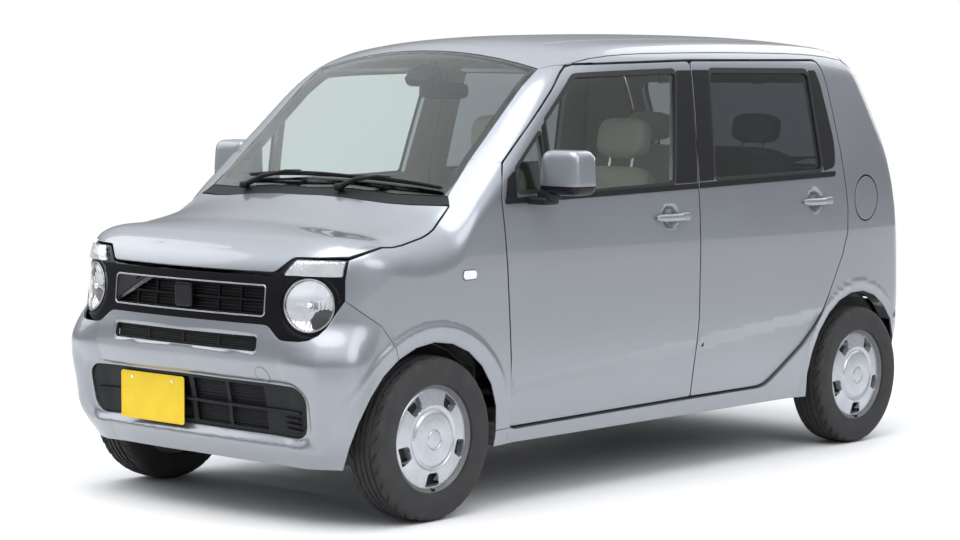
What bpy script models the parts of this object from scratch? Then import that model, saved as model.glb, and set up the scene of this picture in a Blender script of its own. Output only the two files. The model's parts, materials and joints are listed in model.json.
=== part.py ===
"""Kei car, five doors: front-engined, right-hand drive, with a hollow cabin.

The frame is +Z up with the nose towards -Y and the car's left towards +X. The origin is on the ground,
in the middle of the length and of the width. All lengths are in metres.

Every outer panel is cut from one smooth body form, worked out from a few tables of shares. A chart
carries each panel's outline onto the form, so that neighbours always share one seam.
"""

import math

import bmesh
import bpy
import numpy as np
from mathutils import Matrix, Vector
from mathutils.geometry import delaunay_2d_cdt

# Driving dimensions
LENGTH = 3.395
WIDTH = 1.475
HEIGHT = 1.655
WHEELBASE = 2.520
FRONT_AXLE_Y = -1.2075
TRACK = 1.305
HALF_WIDTH = WIDTH / 2
HALF_TRACK = TRACK / 2
REAR_AXLE_Y = FRONT_AXLE_Y + WHEELBASE

# Wheels
TYRE_RADIUS = 0.2785
TYRE_WIDTH = 0.155
SHOULDER = 0.020
BEAD_RADIUS = 0.184
BEAD_WIDTH = 0.120
RIM_WALL = 0.007
RIM_WELL = 0.022
RIM_LIP = 0.003
COVER_RADIUS = 0.193
COVER_FACE = 0.066
COVER_WALL = 0.005
COVER_DISH = 0.004
BOSS_RADIUS = 0.094
BOSS_RISE = 0.008
SLOT_COUNT = 5
SLOT_IN = 0.116
SLOT_OUT = 0.158
SLOT_HALF_IN = 0.024
SLOT_HALF_OUT = 0.036
AXLE_Z = TYRE_RADIUS

# Walls and gaps
SHUT_GAP = 0.0056
SEAM_GAP = 0.0008
GATE_GAP = 0.0080
SEAT = 0.0003
GLASS_SEAT = 0.0008
PILLAR_DEEP = 0.014
DOOR_WALL = 0.055
SASH_WALL = 0.032
BODY_WALL = 0.050
SILL_WALL = 0.090
ROOF_WALL = 0.028
HOOD_WALL = 0.020
FENDER_WALL = 0.012
BUMPER_WALL = 0.010
MASK_WALL = 0.008
GATE_WALL = 0.040
GLASS_WALL = 0.004
GLASS_INSET = 0.006
WAIST_LOW_SHARE = 0.625
WAIST_HIGH_SHARE = 0.665
SCREEN_INSET = 0.002
SCREEN_WALL = 0.005
LAMP_WALL = 0.050
PILLAR_CLEAR = 0.020
PILLAR_WALL = 0.045

COWL_WALL = 0.010
LID_WALL = 0.008
LID_AXIS_DEEP = 0.016
LID_AXIS_AHEAD = 0.040
LID_POCKET_DEEP = 0.060
LID_ARM = 0.006
LID_ARM_FOOT = 0.066
# The lid's arm from its axis: metres outboard, metres along the car
LID_ARM_PATH = ((-0.0045, 0.0), (-0.042, 0.006), (-0.048, 0.030), (-0.020, 0.062))
TAIL_LAMP_WALL = 0.030
GRILLE_WALL = 0.012
GRILLE_INSET = 0.002
FILLER_SIDES = 20
LAMP_SIDES = 20
TYRE_SIDES = 28

# Lattices
INTAKE_RADIUS = 0.050
INTAKE_COLUMNS = 4
INTAKE_ROWS = 2
INTAKE_BAR = 0.018
INTAKE_MIDDLE = 0.010
SLOT_RADIUS = 0.012
GRILLE_RADIUS = 0.015
GRILLE_COLUMNS = 3
GRILLE_ROWS = 2
GRILLE_BAR = 0.012
EMBLEM_SPACE = 0.075
REAR_SCREEN_RADIUS = 0.060

# Hinges, each an axis inside the form
HINGE_X = 0.7135
GATE_AXIS_AHEAD = 0.110
GATE_AXIS_DOWN = 0.030
BONNET_AXIS_Y = -1.005
BONNET_AXIS_Z = 1.062
PIN_SIDES = 12
PIN_RADIUS = 0.0035
PIN_ROOT = 0.004
EYE_RADIUS = 0.0070
EYE_HALF = 0.012
LUG_HALF = 0.006
POCKET_DEEP = 0.110
POCKET_CLEAR = 0.0015
POCKET_AHEAD = 0.090
POCKET_BEHIND = 0.007
BRACKET_WALL = 0.008
HINGE_ARM = 0.012
HINGE_ARM_WALL = 0.014
POST_HALF = 0.012
BONNET_HINGE_X = 0.560
GATE_HINGE_X = 0.250
HINGE_LEVEL_SHARES = (0.3021, 0.5438)
# Lug outlines from the hinge axis: metres inboard of the left axis (negative), metres along the car
FRONT_LUG_FOOT = (
    (-0.0050, 0.0060), (-0.0615, 0.0060), (-0.0615, -0.1000), (-0.0335, -0.1000), (-0.0335, -0.0720),
    (-0.0490, -0.0720), (-0.0490, -0.0060), (-0.0050, -0.0060),
)
REAR_LUG_FOOT = ((-0.0050, 0.0060), (-0.0800, 0.0060), (-0.0800, -0.0060), (-0.0050, -0.0060))
# Arms of the lids from their axis: metres along the car, metres up
BONNET_ARM_PATH = ((0.0, -0.0045), (-0.004, -0.080), (-0.105, -0.080), (-0.130, -0.060))
GATE_ARM_PATH = ((0.0, -0.0045), (-0.022, -0.123), (0.113, -0.113), (0.130, -0.012))
STEER_SCRUB = 0.055
KINGPIN_X = HALF_TRACK - STEER_SCRUB

# Floor and front structure
FIT_PROUD = 0.040
SHEET = 0.012
FLOOR_HALF = 0.612
SILL_FLANGE_HALF = 0.660
SILL_FLANGE_Y = (-0.820, 0.520)
FLOOR_Z = 0.250
REAR_FLOOR_Z = 0.440
LUGGAGE_FLOOR_Z = 0.470
# Along the car, up
FLOOR_PATH = (
    (-0.985, 0.955), (-0.985, 0.600), (-0.893, 0.490), (-0.893, 0.355), (-0.862, FLOOR_Z), (0.560, FLOOR_Z),
    (0.640, REAR_FLOOR_Z), (1.000, REAR_FLOOR_Z), (1.100, LUGGAGE_FLOOR_Z), (1.610, LUGGAGE_FLOOR_Z),
    (1.610, 0.330),
)
HOUSE_RADIUS = 0.345
HOUSE_WALL_X = 0.535
HOUSE_HOLE = 0.160
HOUSE_START = math.radians(30)
LINER_END = math.radians(170)
LINER_RADIUS = 0.3155
LINER_WALL = 0.006
LINER_LOW_X = 0.406
LINER_HIGH_X = 0.640
SUPPORT_HALF = 0.540
SUPPORT_Y = (-1.530, -1.500)
SUPPORT_Z = (0.300, 0.790)
SUPPORT_BAR = 0.050
RADIATOR_HALF = 0.330
BEAM_HALF = 0.480
BUMPER_BEAM_Y = (-1.575, -1.545)
BUMPER_BEAM_Z = (0.400, 0.500)
RAIL_X = (0.340, 0.400)
RAIL_Z = (0.380, 0.460)
RAIL_REAR_Y = -0.8993
APRON_REAR_Y = -1.000
SHELF_X = 0.600
SHELF_Y = (-1.505, -0.994)
SHELF_Z = 0.800
STRUT_X = 0.530
STRUT_RADIUS = 0.022
STRUT_FOOT_Z = (0.3753, 0.3950)
KINGPIN_RADIUS = 0.008
SOCKET_RADIUS = 0.018
SOCKET_ROOT_SHARE = 0.7
BRACKET_HALF = 0.035

# Running gear
TUBE_SIDES = 12
SUBFRAME_Y = (-1.280, -1.100)
SUBFRAME_Z = (0.160, 0.220)
MOUNT_LONG = 0.050
ARM_ROOT_X = 0.380
ARM_SPREAD = 0.070
ARM_TIP_HALF = 0.014
ARM_Z = (0.168, 0.188)
KNUCKLE_X = (0.580, 0.616)
KNUCKLE_Z = (0.200, 0.375)
KNUCKLE_HALF = 0.028
STEER_ARM = 0.022
STEER_ARM_LONG = 0.130
STUB_RADIUS = 0.028
HUB_RADIUS = 0.055
HUB_THICK = 0.010
ENGINE_HALF = 0.320
ENGINE_Y = (-1.470, -1.060)
ENGINE_TOP = 0.780
ENGINE_BEVEL = 0.020
BEAM_PIVOT = (0.900, 0.340)
BEAM_BUSH_X = (0.430, 0.480)
BEAM_ARM_X = 0.480
BEAM_Y = 1.100
BEAM_Z = 0.320
BEAM_RADIUS = 0.032
BEAM_ARM_RADIUS = 0.024
SPINDLE_ROOT_X = 0.505
SPRING_SPOT = (0.430, 1.220)
SPRING_RADIUS = 0.045
TANK_X = (-0.400, 0.020)
TANK_Y = (0.660, 0.850)
TANK_FOOT = 0.250
TANK_BEVEL = 0.025
PIPE_RADIUS = 0.022
EXHAUST_PATH = (
    (0.120, -0.960, 0.205), (0.120, 0.900, 0.205), (0.120, 1.450, 0.240), (0.000, 1.520, 0.300),
)
SILENCER_X = (-0.300, 0.100)
SILENCER_SPOT = (1.520, 0.330)
SILENCER_RADIUS = 0.070
HANGER_HALF = 0.008
HANGERS = ((-0.300, FLOOR_Z), (0.500, FLOOR_Z), (1.400, LUGGAGE_FLOOR_Z))

# Cabin
DASH_HALF = 0.600
DASH_PROFILE = (
    (-0.9787, 0.700, 0), (-0.760, 0.700, 0.020), (-0.720, 0.800, 0.020), (-0.650, 0.850, 0.030),
    (-0.640, 0.950, 0.030), (-0.720, 1.000, 0.050), (-0.9787, 1.000, 0),
)
CONSOLE_HALF = 0.110
CONSOLE_Y = (-0.900, -0.740)
CONSOLE_Z = (0.560, 0.800)
STEER_HUB = (-0.330, -0.480, 0.880)
COLUMN_LEAN = math.radians(25)
COLUMN_SPAN = (0.060, 0.340)
COLUMN_RADIUS = 0.036
SHAFT_RADIUS = 0.012
SHAFT_LONG = 0.200
RIM_RADIUS = 0.178
RIM_TUBE = 0.014
RIM_STEPS = 28
BOSS_HALF = 0.018
STEER_BOSS_RADIUS = 0.055
SPOKE_RADIUS = 0.012
SPOKE_ANGLES = (math.radians(0), math.radians(180), math.radians(270))
PAD_SECTIONS = ((-1.0, 0.80), (-0.85, 0.95), (-0.5, 1.0), (0.5, 1.0), (0.85, 0.95), (1.0, 0.80))
PAD_SIDES = 12
PAD_POWER = 0.55
SEAT_DEPTH = 0.500
FRONT_SEAT_TOP = 0.350
REAR_SEAT_TOP = 0.220
SEAT_BACK_RISE = 0.230
SEAT_PAD = 0.140
SEAT_FOOT_SHARE = 0.36
SEAT_FOOT_AHEAD = 0.180
SEAT_FOOT_BEHIND = 0.180
SEAT_BACK_Y = 0.290
SEAT_BACK_THICK = 0.120
SEAT_BACK_TALL = 0.620
SEAT_LEAN = math.radians(17)
SEAT_TAPER = 0.85
HEAD_SIZE = (0.250, 0.090, 0.170)
HEAD_RISE = 0.430
HEAD_ROOT = 0.260
HEAD_STEM = 0.012
FRONT_SEAT_X = 0.330
FRONT_SEAT_Y = -0.150
FRONT_SEAT_WIDTH = 0.460
REAR_SEAT_Y = 0.780
REAR_SEAT_WIDTH = 1.060
REAR_HEAD_X = 0.300
MIRROR_CENTRE = (0.838, -0.665, 1.158)
MIRROR_SIZE = (0.175, 0.120, 0.156)
MIRROR_TAPER = 0.85
MIRROR_FOOT_X = (0.690, 0.838)
MIRROR_FOOT_Y = (-0.745, -0.655)
MIRROR_FOOT_Z = (1.050, 1.086)

# The body form: how it rounds from one face into the next
NOSE_ROUND = 0.230
TAIL_ROUND = 0.085
FRONT_BOW = 0.11
REAR_BOW = 0.03
FLARE = 0.008
FLARE_IN = 0.370
FLARE_OUT = 0.398
FRONT_ARCH_RADIUS = 0.325
REAR_ARCH_RADIUS = 0.342
SPINE_Z = 0.700
FAN_FRONT_Y = -1.000
FAN_REAR_Y = 1.000
# Rows of height share, half-width share
SECTION_SHARES = (
    (0.1027, 0.9356), (0.1299, 0.9505), (0.1692, 0.9688), (0.2175, 0.9851),
    (0.2900, 0.9966), (0.3746, 1.0000), (0.4955, 1.0000), (0.5559, 0.9959),
    (0.6465, 0.9797), (0.7855, 0.9302), (0.9366, 0.8651), (1.0393, 0.8136),
)
# Rows of length share, share of the section's half width
PLAN_SHARES = (
    (-0.5155, 0.91), (-0.4566, 0.965), (-0.3829, 0.992), (-0.2946, 1.0),
    (0.2651, 1.0), (0.3535, 0.995), (0.4271, 0.978), (0.5155, 0.945),
)
# Rows of length share, height share along the middle of the bonnet, screen and roof
CENTRE_SHARES = (
    (-0.5155, 0.4955), (-0.4831, 0.5468), (-0.4566, 0.5740), (-0.3976, 0.6060),
    (-0.3417, 0.6417), (-0.3211, 0.6628), (-0.2946, 0.7082), (-0.2209, 0.8369),
    (-0.1649, 0.9335), (-0.1384, 0.9644), (-0.1119, 0.9770), (-0.0560, 0.9879),
    (0.0442, 0.9958), (0.1915, 1.0000), (0.3240, 0.9970), (0.3976, 0.9861),
    (0.4713, 0.9668),
)
# Rows of length share, height share that the top falls from the middle to the full half width
CROWN_SHARES = (
    (-0.5007, 0.0121), (-0.4418, 0.0211), (-0.3947, 0.0453), (-0.3240, 0.0677),
    (-0.2946, 0.0737), (-0.1473, 0.0737), (-0.0884, 0.0514), (0.0295, 0.0423),
    (0.4124, 0.0423),
)
# Rows of length share, half-width share of the round from side to top
SHOULDER_SHARES = (
    (-0.5007, 0.0678), (-0.4418, 0.0949), (-0.3829, 0.1627), (-0.3299, 0.1763), (-0.2887, 0.1017),
    (-0.1414, 0.1017), (-0.0884, 0.1288), (0.4418, 0.1288),
)
# Rows of height share, length share of the nose and of the tail, on the middle line
NOSE_SHARES = (
    (0.0906, -0.4683), (0.1208, -0.4778), (0.1692, -0.4878), (0.2417, -0.4937),
    (0.3142, -0.4996), (0.3625, -0.4997), (0.4230, -0.4960), (0.4834, -0.4931),
    (0.5196, -0.4890), (0.5559, -0.4807), (0.6042, -0.4595), (1.0272, -0.2651),
)
TAIL_SHARES = (
    (0.0906, 0.4875), (0.1208, 0.4931), (0.1692, 0.4972), (0.2175, 0.4990),
    (0.3202, 0.5000), (0.4834, 0.4972), (0.6042, 0.4913), (0.7251, 0.4766),
    (0.8097, 0.4560), (0.9063, 0.4300), (0.9607, 0.4124), (1.0272, 0.3859),
)

# Panel outlines, as corners seen square to a side, end or top: two shares and a corner radius.
# From the side: length share, height share, radius
FRONT_DOOR_SHARES = (
    (-0.2395, 0.1637, 0.030), (0.0669, 0.1704, 0.010), (0.0710, 0.6556, 0.200),
    (0.0851, 0.9360, 0.020), (-0.1237, 0.9239, 0.120), (-0.2451, 0.7190, 0.030),
    (-0.2560, 0.6526, 0.100),
)
REAR_DOOR_SHARES = (
    (0.0669, 0.1704, 0.010), (0.2032, 0.1716, 0.150), (0.2946, 0.2900, 0.400),
    (0.3641, 0.5196, 0.300), (0.3549, 0.7251, 0.600), (0.3432, 0.8943, 0.500),
    (0.3328, 0.9396, 0.050), (0.0851, 0.9360, 0.020), (0.0710, 0.6556, 0.200),
)
FRONT_PANE_SHARES = (
    (-0.1753, 0.6514, 0.010), (0.0289, 0.6610, 0.020), (0.0560, 0.9112, 0.020),
    (-0.1193, 0.9003, 0.060), (-0.1753, 0.8060, 0.010),
)
QUARTER_PANE_SHARES = (
    (-0.2297, 0.6586, 0.012), (-0.1841, 0.6598, 0.010), (-0.1841, 0.7855, 0.010),
    (-0.2297, 0.7069, 0.012),
)
REAR_PANE_SHARES = (
    (0.1016, 0.6659, 0.020), (0.3128, 0.6743, 0.030), (0.3078, 0.9124, 0.030),
    (0.1163, 0.9124, 0.020),
)
BUMPER_SEAM_SHARES = ((-0.4418, 0.4502, 0), (-0.4109, 0.3625, 0.040), (-0.4041, 0.3360, 0))
SILL_TOP_SHARE = 0.1637
SILL_BOTTOM_SHARE = 0.1302
FILLER_SHARES = (0.4032, 0.6012)
FILLER_RADIUS = 0.088
# From the front: half-width share, height share, radius
LIP_SHARES = (
    (0.0000, 0.5039, 0), (0.5478, 0.5039, 0.030), (0.6264, 0.5396, 0.030),
    (0.8678, 0.5396, 0),
)
LAMP_SEAM_SHARES = ((0.8678, 0.5396, 0), (0.8786, 0.4586, 0))
MASK_FOOT_SHARES = (
    (0.0000, 0.4060, 0), (0.5356, 0.4060, 0.050), (0.6169, 0.3776, 0.050),
    (0.7932, 0.3776, 0.080), (0.8786, 0.4586, 0),
)
GRILLE_SHARES = ((0.5153, 0.4211), (0.5153, 0.4846))
LAMP_SHARES = (0.7214, 0.4489)
LAMP_RADIUS = 0.098
SLOT_SHARES = ((0.4841, 0.3523), (0.4841, 0.3813))
INTAKE_SHARES = ((0.7227, 0.1801), (0.7431, 0.2852))
BUMPER_FOOT_SHARE = 0.1239
# From above: half-width share, length share, radius
BONNET_REAR_SHARES = ((0.0000, -0.3358, 0), (0.5424, -0.3284, 0.800), (0.8515, -0.3063, 0))
BONNET_SIDE_SHARES = (
    (0.8515, -0.3063, 0), (0.8976, -0.3476, 0.400), (0.9139, -0.4006, 0.300),
    (0.8678, -0.4433, 0),
)
SCREEN_FOOT_SHARES = ((0.0000, -0.3216, 0), (0.5424, -0.3137, 0.800), (0.8081, -0.2984, 0))
SCREEN_SIDE_SHARES = ((0.8081, -0.2984, 0), (0.7783, -0.2586, 0), (0.7485, -0.1464, 0))
SCREEN_HEAD_SHARES = ((0.0000, -0.1479, 0), (0.7485, -0.1464, 0))
ROOF_SIDE_SHARES = ((0.7485, -0.1464, 0), (0.8190, -0.1237, 0.100), (0.8190, 0.3918, 0))
ROOF_REAR_SHARES = ((0.8190, 0.3918, 0), (0.7322, 0.3962, 0.100), (0.0000, 0.3982, 0))
# From behind: half-width share, height share, radius
GATE_HEAD_SHARES = ((0.8190, 0.9577, 0), (0.8217, 0.9063, 0.100), (0.8339, 0.8218, 0))
GATE_LAMP_SHARES = ((0.8339, 0.8218, 0), (0.8651, 0.5559, 0))
GATE_FOOT_SHARES = ((0.8651, 0.5559, 0), (0.8678, 0.3384, 0))
GATE_SILL_SHARES = ((0.0000, 0.3360, 0), (0.8678, 0.3384, 0))
TAIL_LAMP_SHARES = (
    (0.8339, 0.8218, 0), (0.8705, 0.8187, 0.020), (0.9329, 0.5589, 0.030),
    (0.8651, 0.5559, 0),
)
REAR_SCREEN_SHARES = ((0.7593, 0.6707), (0.7119, 0.8943))
TAIL_CORNER_SHARES = ((0.8678, 0.3384, 0), (0.9112, 0.3233, 0))
REAR_BUMPER_FOOT_SHARE = 0.1450
# Named corners where three panels meet, from the side: length share, height share
A_DOOR_SPOT_SHARES = (-0.2451, 0.7190)
DOOR_FOOT_SPOT_SHARES = (-0.2371, 0.1650)
SILL_FRONT_SPOT_SHARES = (0.0589, 0.1704)
SILL_REAR_SPOT_SHARES = (0.0751, 0.1704)
HEAD_FRONT_SPOT_SHARES = (0.0751, 0.9360)
HEAD_REAR_SPOT_SHARES = (0.0943, 0.9360)
SILL_RISE_SHARE = 0.1994
HINGE_PILLAR_SHARES = (
    (-0.2568, 0.1450, 0.010), (-0.2470, 0.1450, 0.010), (-0.2586, 0.6526, 0.010),
    (-0.2504, 0.7432, 0.010), (-0.2622, 0.7432, 0.010), (-0.2739, 0.6526, 0.010), (-0.2695, 0.3746, 0.010),
)
CENTRE_PILLAR_SHARES = (
    (0.0471, 0.1390, 0.010), (0.0972, 0.1390, 0.010), (0.1016, 0.6647, 0.100),
    (0.1090, 0.9547, 0.010), (0.0648, 0.9547, 0.010), (0.0515, 0.6647, 0.100),
)
FRONT_HINGE_SHARE = -0.2356
REAR_HINGE_SHARE = 0.0801
HINGE_HEIGHT_SHARE = 0.3625
A_SEAM_SPOT_SHARES = (0.7783, -0.2586)

# Modelling steps
RAY_STEPS = 30
PANEL_STEP = 0.110
GRID_STEP = 0.150
ARC_STEP = math.radians(30)
ARCH_STEP = math.radians(15)
SMOOTH_ANGLE = math.radians(30)


def smooth_curve(rows, at):
    """The value at each place, on a monotone cubic through the rows."""
    places, values = np.array(rows, float).T
    chords = np.diff(values) / np.diff(places)
    slopes = np.concatenate([chords[:1], (chords[:-1] + chords[1:]) / 2, chords[-1:]])
    turning = chords[:-1] * chords[1:] <= 0
    slopes[1:-1][turning] = 0
    limit = 3 * np.minimum(np.abs(np.append(chords[:1], chords)), np.abs(np.append(chords, chords[-1:])))
    slopes = np.clip(slopes, -limit, limit)
    at = np.clip(at, places[0], places[-1])
    cell = np.clip(np.searchsorted(places, at, side="right") - 1, 0, len(chords) - 1)
    span = places[cell + 1] - places[cell]
    t = (at - places[cell]) / span
    rise, start, end = t * t * (3 - 2 * t), t * (1 - t) ** 2, t * t * (t - 1)
    return (
        values[cell] * (1 - rise) + values[cell + 1] * rise + span * (slopes[cell] * start + slopes[cell + 1] * end)
    )


def smooth_max(a, b, width):
    """The larger of two fields, rounded where they meet over the given width."""
    overlap = np.maximum(width - np.abs(a - b), 0) / width
    return np.maximum(a, b) + overlap * overlap * width / 4


def ease(low, high, at):
    t = np.clip((at - low) / (high - low), 0, 1)
    return t * t * (3 - 2 * t)


def flare_at(y, z):
    """How far the arch bands stand out of the side."""
    front = np.hypot(y - FRONT_AXLE_Y, z - AXLE_Z)
    rear = np.hypot(y - REAR_AXLE_Y, z - AXLE_Z)
    return FLARE * (1 - ease(FLARE_IN, FLARE_OUT, np.minimum(front, rear)))


def side_of(y, z, flared=True):
    half_width = HALF_WIDTH * smooth_curve(SECTION_SHARES, z / HEIGHT) * smooth_curve(PLAN_SHARES,
                                                                                      y / LENGTH)
    return half_width - FLARE + (flare_at(y, z) if flared else 0)


def top_of(x, y):
    crown = HEIGHT * smooth_curve(CROWN_SHARES, y / LENGTH)
    return HEIGHT * smooth_curve(CENTRE_SHARES, y / LENGTH) - crown * (x / HALF_WIDTH) ** 2


def form(points, flared=True):
    """Below zero inside the body form, zero on it and above zero outside."""
    x, y, z = np.abs(points[..., 0]), points[..., 1], points[..., 2]
    side = x - side_of(y, z, flared)
    front = LENGTH * smooth_curve(NOSE_SHARES, z / HEIGHT) + FRONT_BOW * x * x / HALF_WIDTH - y
    rear = y - LENGTH * smooth_curve(TAIL_SHARES, z / HEIGHT) + REAR_BOW * x * x / HALF_WIDTH
    around = smooth_max(smooth_max(side, front, NOSE_ROUND), rear, TAIL_ROUND)
    shoulder = HALF_WIDTH * smooth_curve(SHOULDER_SHARES, y / LENGTH)
    return smooth_max(around, z - top_of(x, y), shoulder)


def normals_at(points):
    """The outward direction of the body form at each point, leaving out the arch bands."""
    nudge = HALF_WIDTH * 1e-4
    slopes = [form(points + nudge * axis, False) - form(points - nudge * axis, False) for axis in np.eye(3)]
    slopes = np.stack(slopes, axis=-1)
    return slopes / np.linalg.norm(slopes, axis=-1, keepdims=True)


def reach(origins, directions):
    """Where rays that start inside the body form leave it."""
    near = np.zeros(len(origins))
    far = np.full(len(origins), LENGTH)
    for _ in range(RAY_STEPS):
        middle = (near + far) / 2
        inside = form(origins + directions * middle[:, None]) < 0
        near, far = np.where(inside, middle, near), np.where(inside, far, middle)
    return origins + directions * near[:, None]


# Charts: each lays a part of the body form out flat and carries it back


def columns(*values):
    return np.stack(np.broadcast_arrays(*values), axis=-1).astype(float)


class SideChart:
    """The left side and its corners: along the car, then round it from a spine inside the body."""

    @staticmethod
    def rays(flat):
        y, lean = flat[:, 0], flat[:, 1] / HALF_WIDTH
        spine = np.clip(y, FAN_FRONT_Y, FAN_REAR_Y)
        turn = (y - spine) / HALF_WIDTH
        level = np.cos(lean)
        return columns(0, spine, SPINE_Z), columns(np.cos(turn) * level, np.sin(turn) * level, np.sin(lean))

    @staticmethod
    def flatten(points):
        x, y, z = points.T
        spine = np.clip(y, FAN_FRONT_Y, FAN_REAR_Y)
        away = np.hypot(x, y - spine)
        turn = np.arctan2(y - spine, x)
        return columns(spine + turn * HALF_WIDTH, np.arctan2(z - SPINE_Z, away) * HALF_WIDTH)


class TopChart:
    """Bonnet, screen and roof, seen from above."""

    @staticmethod
    def rays(flat):
        return columns(flat[:, 0], flat[:, 1], SPINE_Z), columns(np.zeros(len(flat)), 0, 1)

    @staticmethod
    def flatten(points):
        return points[:, :2]


class EndChart:
    """The nose or the tail, fanned out from a point inside the body."""

    def __init__(self, fan_y, facing):
        self.fan_y, self.facing = fan_y, facing

    def rays(self, flat):
        turn, lean = flat.T / HALF_WIDTH
        level = np.cos(lean)
        ahead = self.facing * np.cos(turn) * level
        return columns(0, self.fan_y, np.full(len(flat), SPINE_Z)), columns(np.sin(turn) * level, ahead,
                                                                            np.sin(lean))

    def flatten(self, points):
        x, y, z = points.T
        ahead = self.facing * (y - self.fan_y)
        return columns(np.arctan2(x, ahead), np.arctan2(z - SPINE_Z, np.hypot(x, ahead))) * HALF_WIDTH


NOSE = EndChart(FAN_FRONT_Y, -1)
TAIL = EndChart(FAN_REAR_Y, 1)


def square_to(view, flat):
    """The points of the body form under points drawn square to a side, end or top."""
    flat = np.array(flat, float)
    u, v = flat.T
    if view == "side":
        return reach(columns(0, u, v), columns(np.ones(len(u)), 0, 0))
    if view == "top":
        return reach(columns(u, v, SPINE_Z), columns(np.zeros(len(u)), 0, 1))
    facing = -1 if view == "nose" else 1
    start = FAN_FRONT_Y if view == "nose" else FAN_REAR_Y
    return reach(columns(u, start, v), columns(np.zeros(len(u)), facing, 0))


VIEW_SIZES = {
    "side": (LENGTH, HEIGHT), "top": (HALF_WIDTH, LENGTH), "nose": (HALF_WIDTH, HEIGHT),
    "tail": (HALF_WIDTH, HEIGHT),
}


def filleted(corners, closed):
    """The corners, each (a, b, radius), with its round as an arc."""
    path = []
    count = len(corners)
    for index, (a, b, radius) in enumerate(corners):
        here = Vector((a, b))
        if radius == 0 or (not closed and index in (0, count - 1)):
            path.append(here)
            continue
        before = Vector(corners[index - 1][:2]) - here
        after = Vector(corners[(index + 1) % count][:2]) - here
        half = before.angle(after) / 2
        back = min(radius / math.tan(half), before.length * 0.49, after.length * 0.49)
        radius = back * math.tan(half)
        centre = here + (before.normalized() + after.normalized()).normalized() * radius / math.sin(half)
        start, end = here + before.normalized() * back - centre, here + after.normalized() * back - centre
        sweep = start.angle_signed(end)
        steps = max(2, math.ceil(abs(sweep) / ARC_STEP))
        for step in range(steps + 1):
            path.append(centre + Matrix.Rotation(-sweep * step / steps, 2) @ start)
    return path


def spaced(path, step, closed=False):
    """The same path with no stretch longer than the step."""
    path = [Vector(point) for point in path]
    spots = []
    ends = path[1:] + path[:1] if closed else path[1:]
    for start, end in zip(path, ends):
        parts = max(1, math.ceil((end - start).length / step))
        spots += [start.lerp(end, part / parts) for part in range(parts)]
    return spots if closed else spots + [path[-1]]


def drawn(view, shares, closed=False, step=PANEL_STEP):
    """A seam or outline on the body form, from its corners as shares."""
    across, up = VIEW_SIZES[view]
    corners = [(row[0] * across, row[1] * up, row[2] if len(row) > 2 else 0) for row in shares]
    return square_to(view, spaced(filleted(corners, closed), step, closed))


def mirrored(points):
    return points * np.array((-1, 1, 1))


def inset(flat, gaps):
    """The closed outline moved inwards, each of its stretches by its own gap."""
    ahead = np.roll(flat, -1, axis=0) - flat
    ahead /= np.linalg.norm(ahead, axis=1, keepdims=True)
    area = np.sum(flat[:, 0] * np.roll(flat[:, 1], -1) - flat[:, 1] * np.roll(flat[:, 0], -1))
    inward = np.sign(area) * columns(-ahead[:, 1], ahead[:, 0])
    before, gaps_before = np.roll(inward, 1, axis=0), np.roll(gaps, 1)
    moved = []
    for point, first, second, gap, next_gap in zip(flat, before, inward, gaps_before, gaps):
        cross = first[0] * second[1] - first[1] * second[0]
        if abs(cross) < math.sin(ARC_STEP / 4):
            middle = (first + second) / np.linalg.norm(first + second)
            moved.append(point + middle * (gap + next_gap) / 2)
        else:
            across = (gap * second[1] - next_gap * first[1]) / cross
            up = (next_gap * first[0] - gap * second[0]) / cross
            moved.append(point + np.array((across, up)))
    return np.array(moved)


def outline_of(chart, stretches):
    """A closed outline in a chart, from (points, gap) stretches that meet end to end."""
    flat, gaps = [], []
    for points, gap in stretches:
        laid = chart.flatten(points)
        if flat and np.allclose(flat[-1], laid[0], atol=SEAM_GAP):
            laid, points = laid[1:], points[1:]
            gaps[-1] = gap
        flat += list(laid)
        gaps += [gap] * len(laid)
    if np.allclose(flat[0], flat[-1], atol=SEAM_GAP):
        flat, gaps = flat[:-1], gaps[:-1]
    return inset(np.array(flat), np.array(gaps))


def inside(outline, spots):
    """Which spots lie inside a closed outline."""
    hits = np.zeros(len(spots), bool)
    for (a, b), (c, d) in zip(outline, np.roll(outline, -1, axis=0)):
        crosses = (b > spots[:, 1]) != (d > spots[:, 1])
        with np.errstate(divide="ignore", invalid="ignore"):
            hits ^= crosses & (spots[:, 0] < (c - a) * (spots[:, 1] - b) / (d - b) + a)
    return hits


def away_from(outline, spots):
    """Each spot's distance from a closed outline."""
    best = np.full(len(spots), np.inf)
    for start, end in zip(outline, np.roll(outline, -1, axis=0)):
        along = end - start
        share = np.clip((spots - start) @ along / (along @ along), 0, 1)
        best = np.minimum(best, np.linalg.norm(spots - start - share[:, None] * along, axis=1))
    return best


def flat_mesh(outline, holes, step):
    """Points and triangles that fill an outline round its holes."""
    low, high = outline.min(axis=0), outline.max(axis=0)
    counts = np.ceil((high - low) / step).astype(int) + 1
    grid = np.stack(np.meshgrid(*[np.linspace(a, b, n) for a, b, n in zip(low, high, counts)]),
                    -1).reshape(-1, 2)
    loops = [outline, *holes]
    keep = inside(outline, grid)
    for loop in loops:
        keep &= away_from(loop, grid) > step * 0.4
    for hole in holes:
        keep &= ~inside(hole, grid)
    spots, edges = [], []
    for loop in loops:
        first = len(spots)
        spots += list(loop)
        edges += [(first + i, first + (i + 1) % len(loop)) for i in range(len(loop))]
    spots += list(grid[keep])
    found = delaunay_2d_cdt([Vector(spot) for spot in spots], edges, [], 0, SEAT / 10)
    points = np.array([tuple(point) for point in found[0]])
    faces = np.array([tuple(face) for face in found[2]])
    walls = {tuple(sorted(edge)) for edge, origin in zip(found[1], found[4]) if origin}
    faces = faces[filled(points, faces, walls, outline, holes)]
    used = np.unique(faces)
    index = np.full(len(points), -1)
    index[used] = np.arange(len(used))
    return points[used], index[faces]


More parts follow.
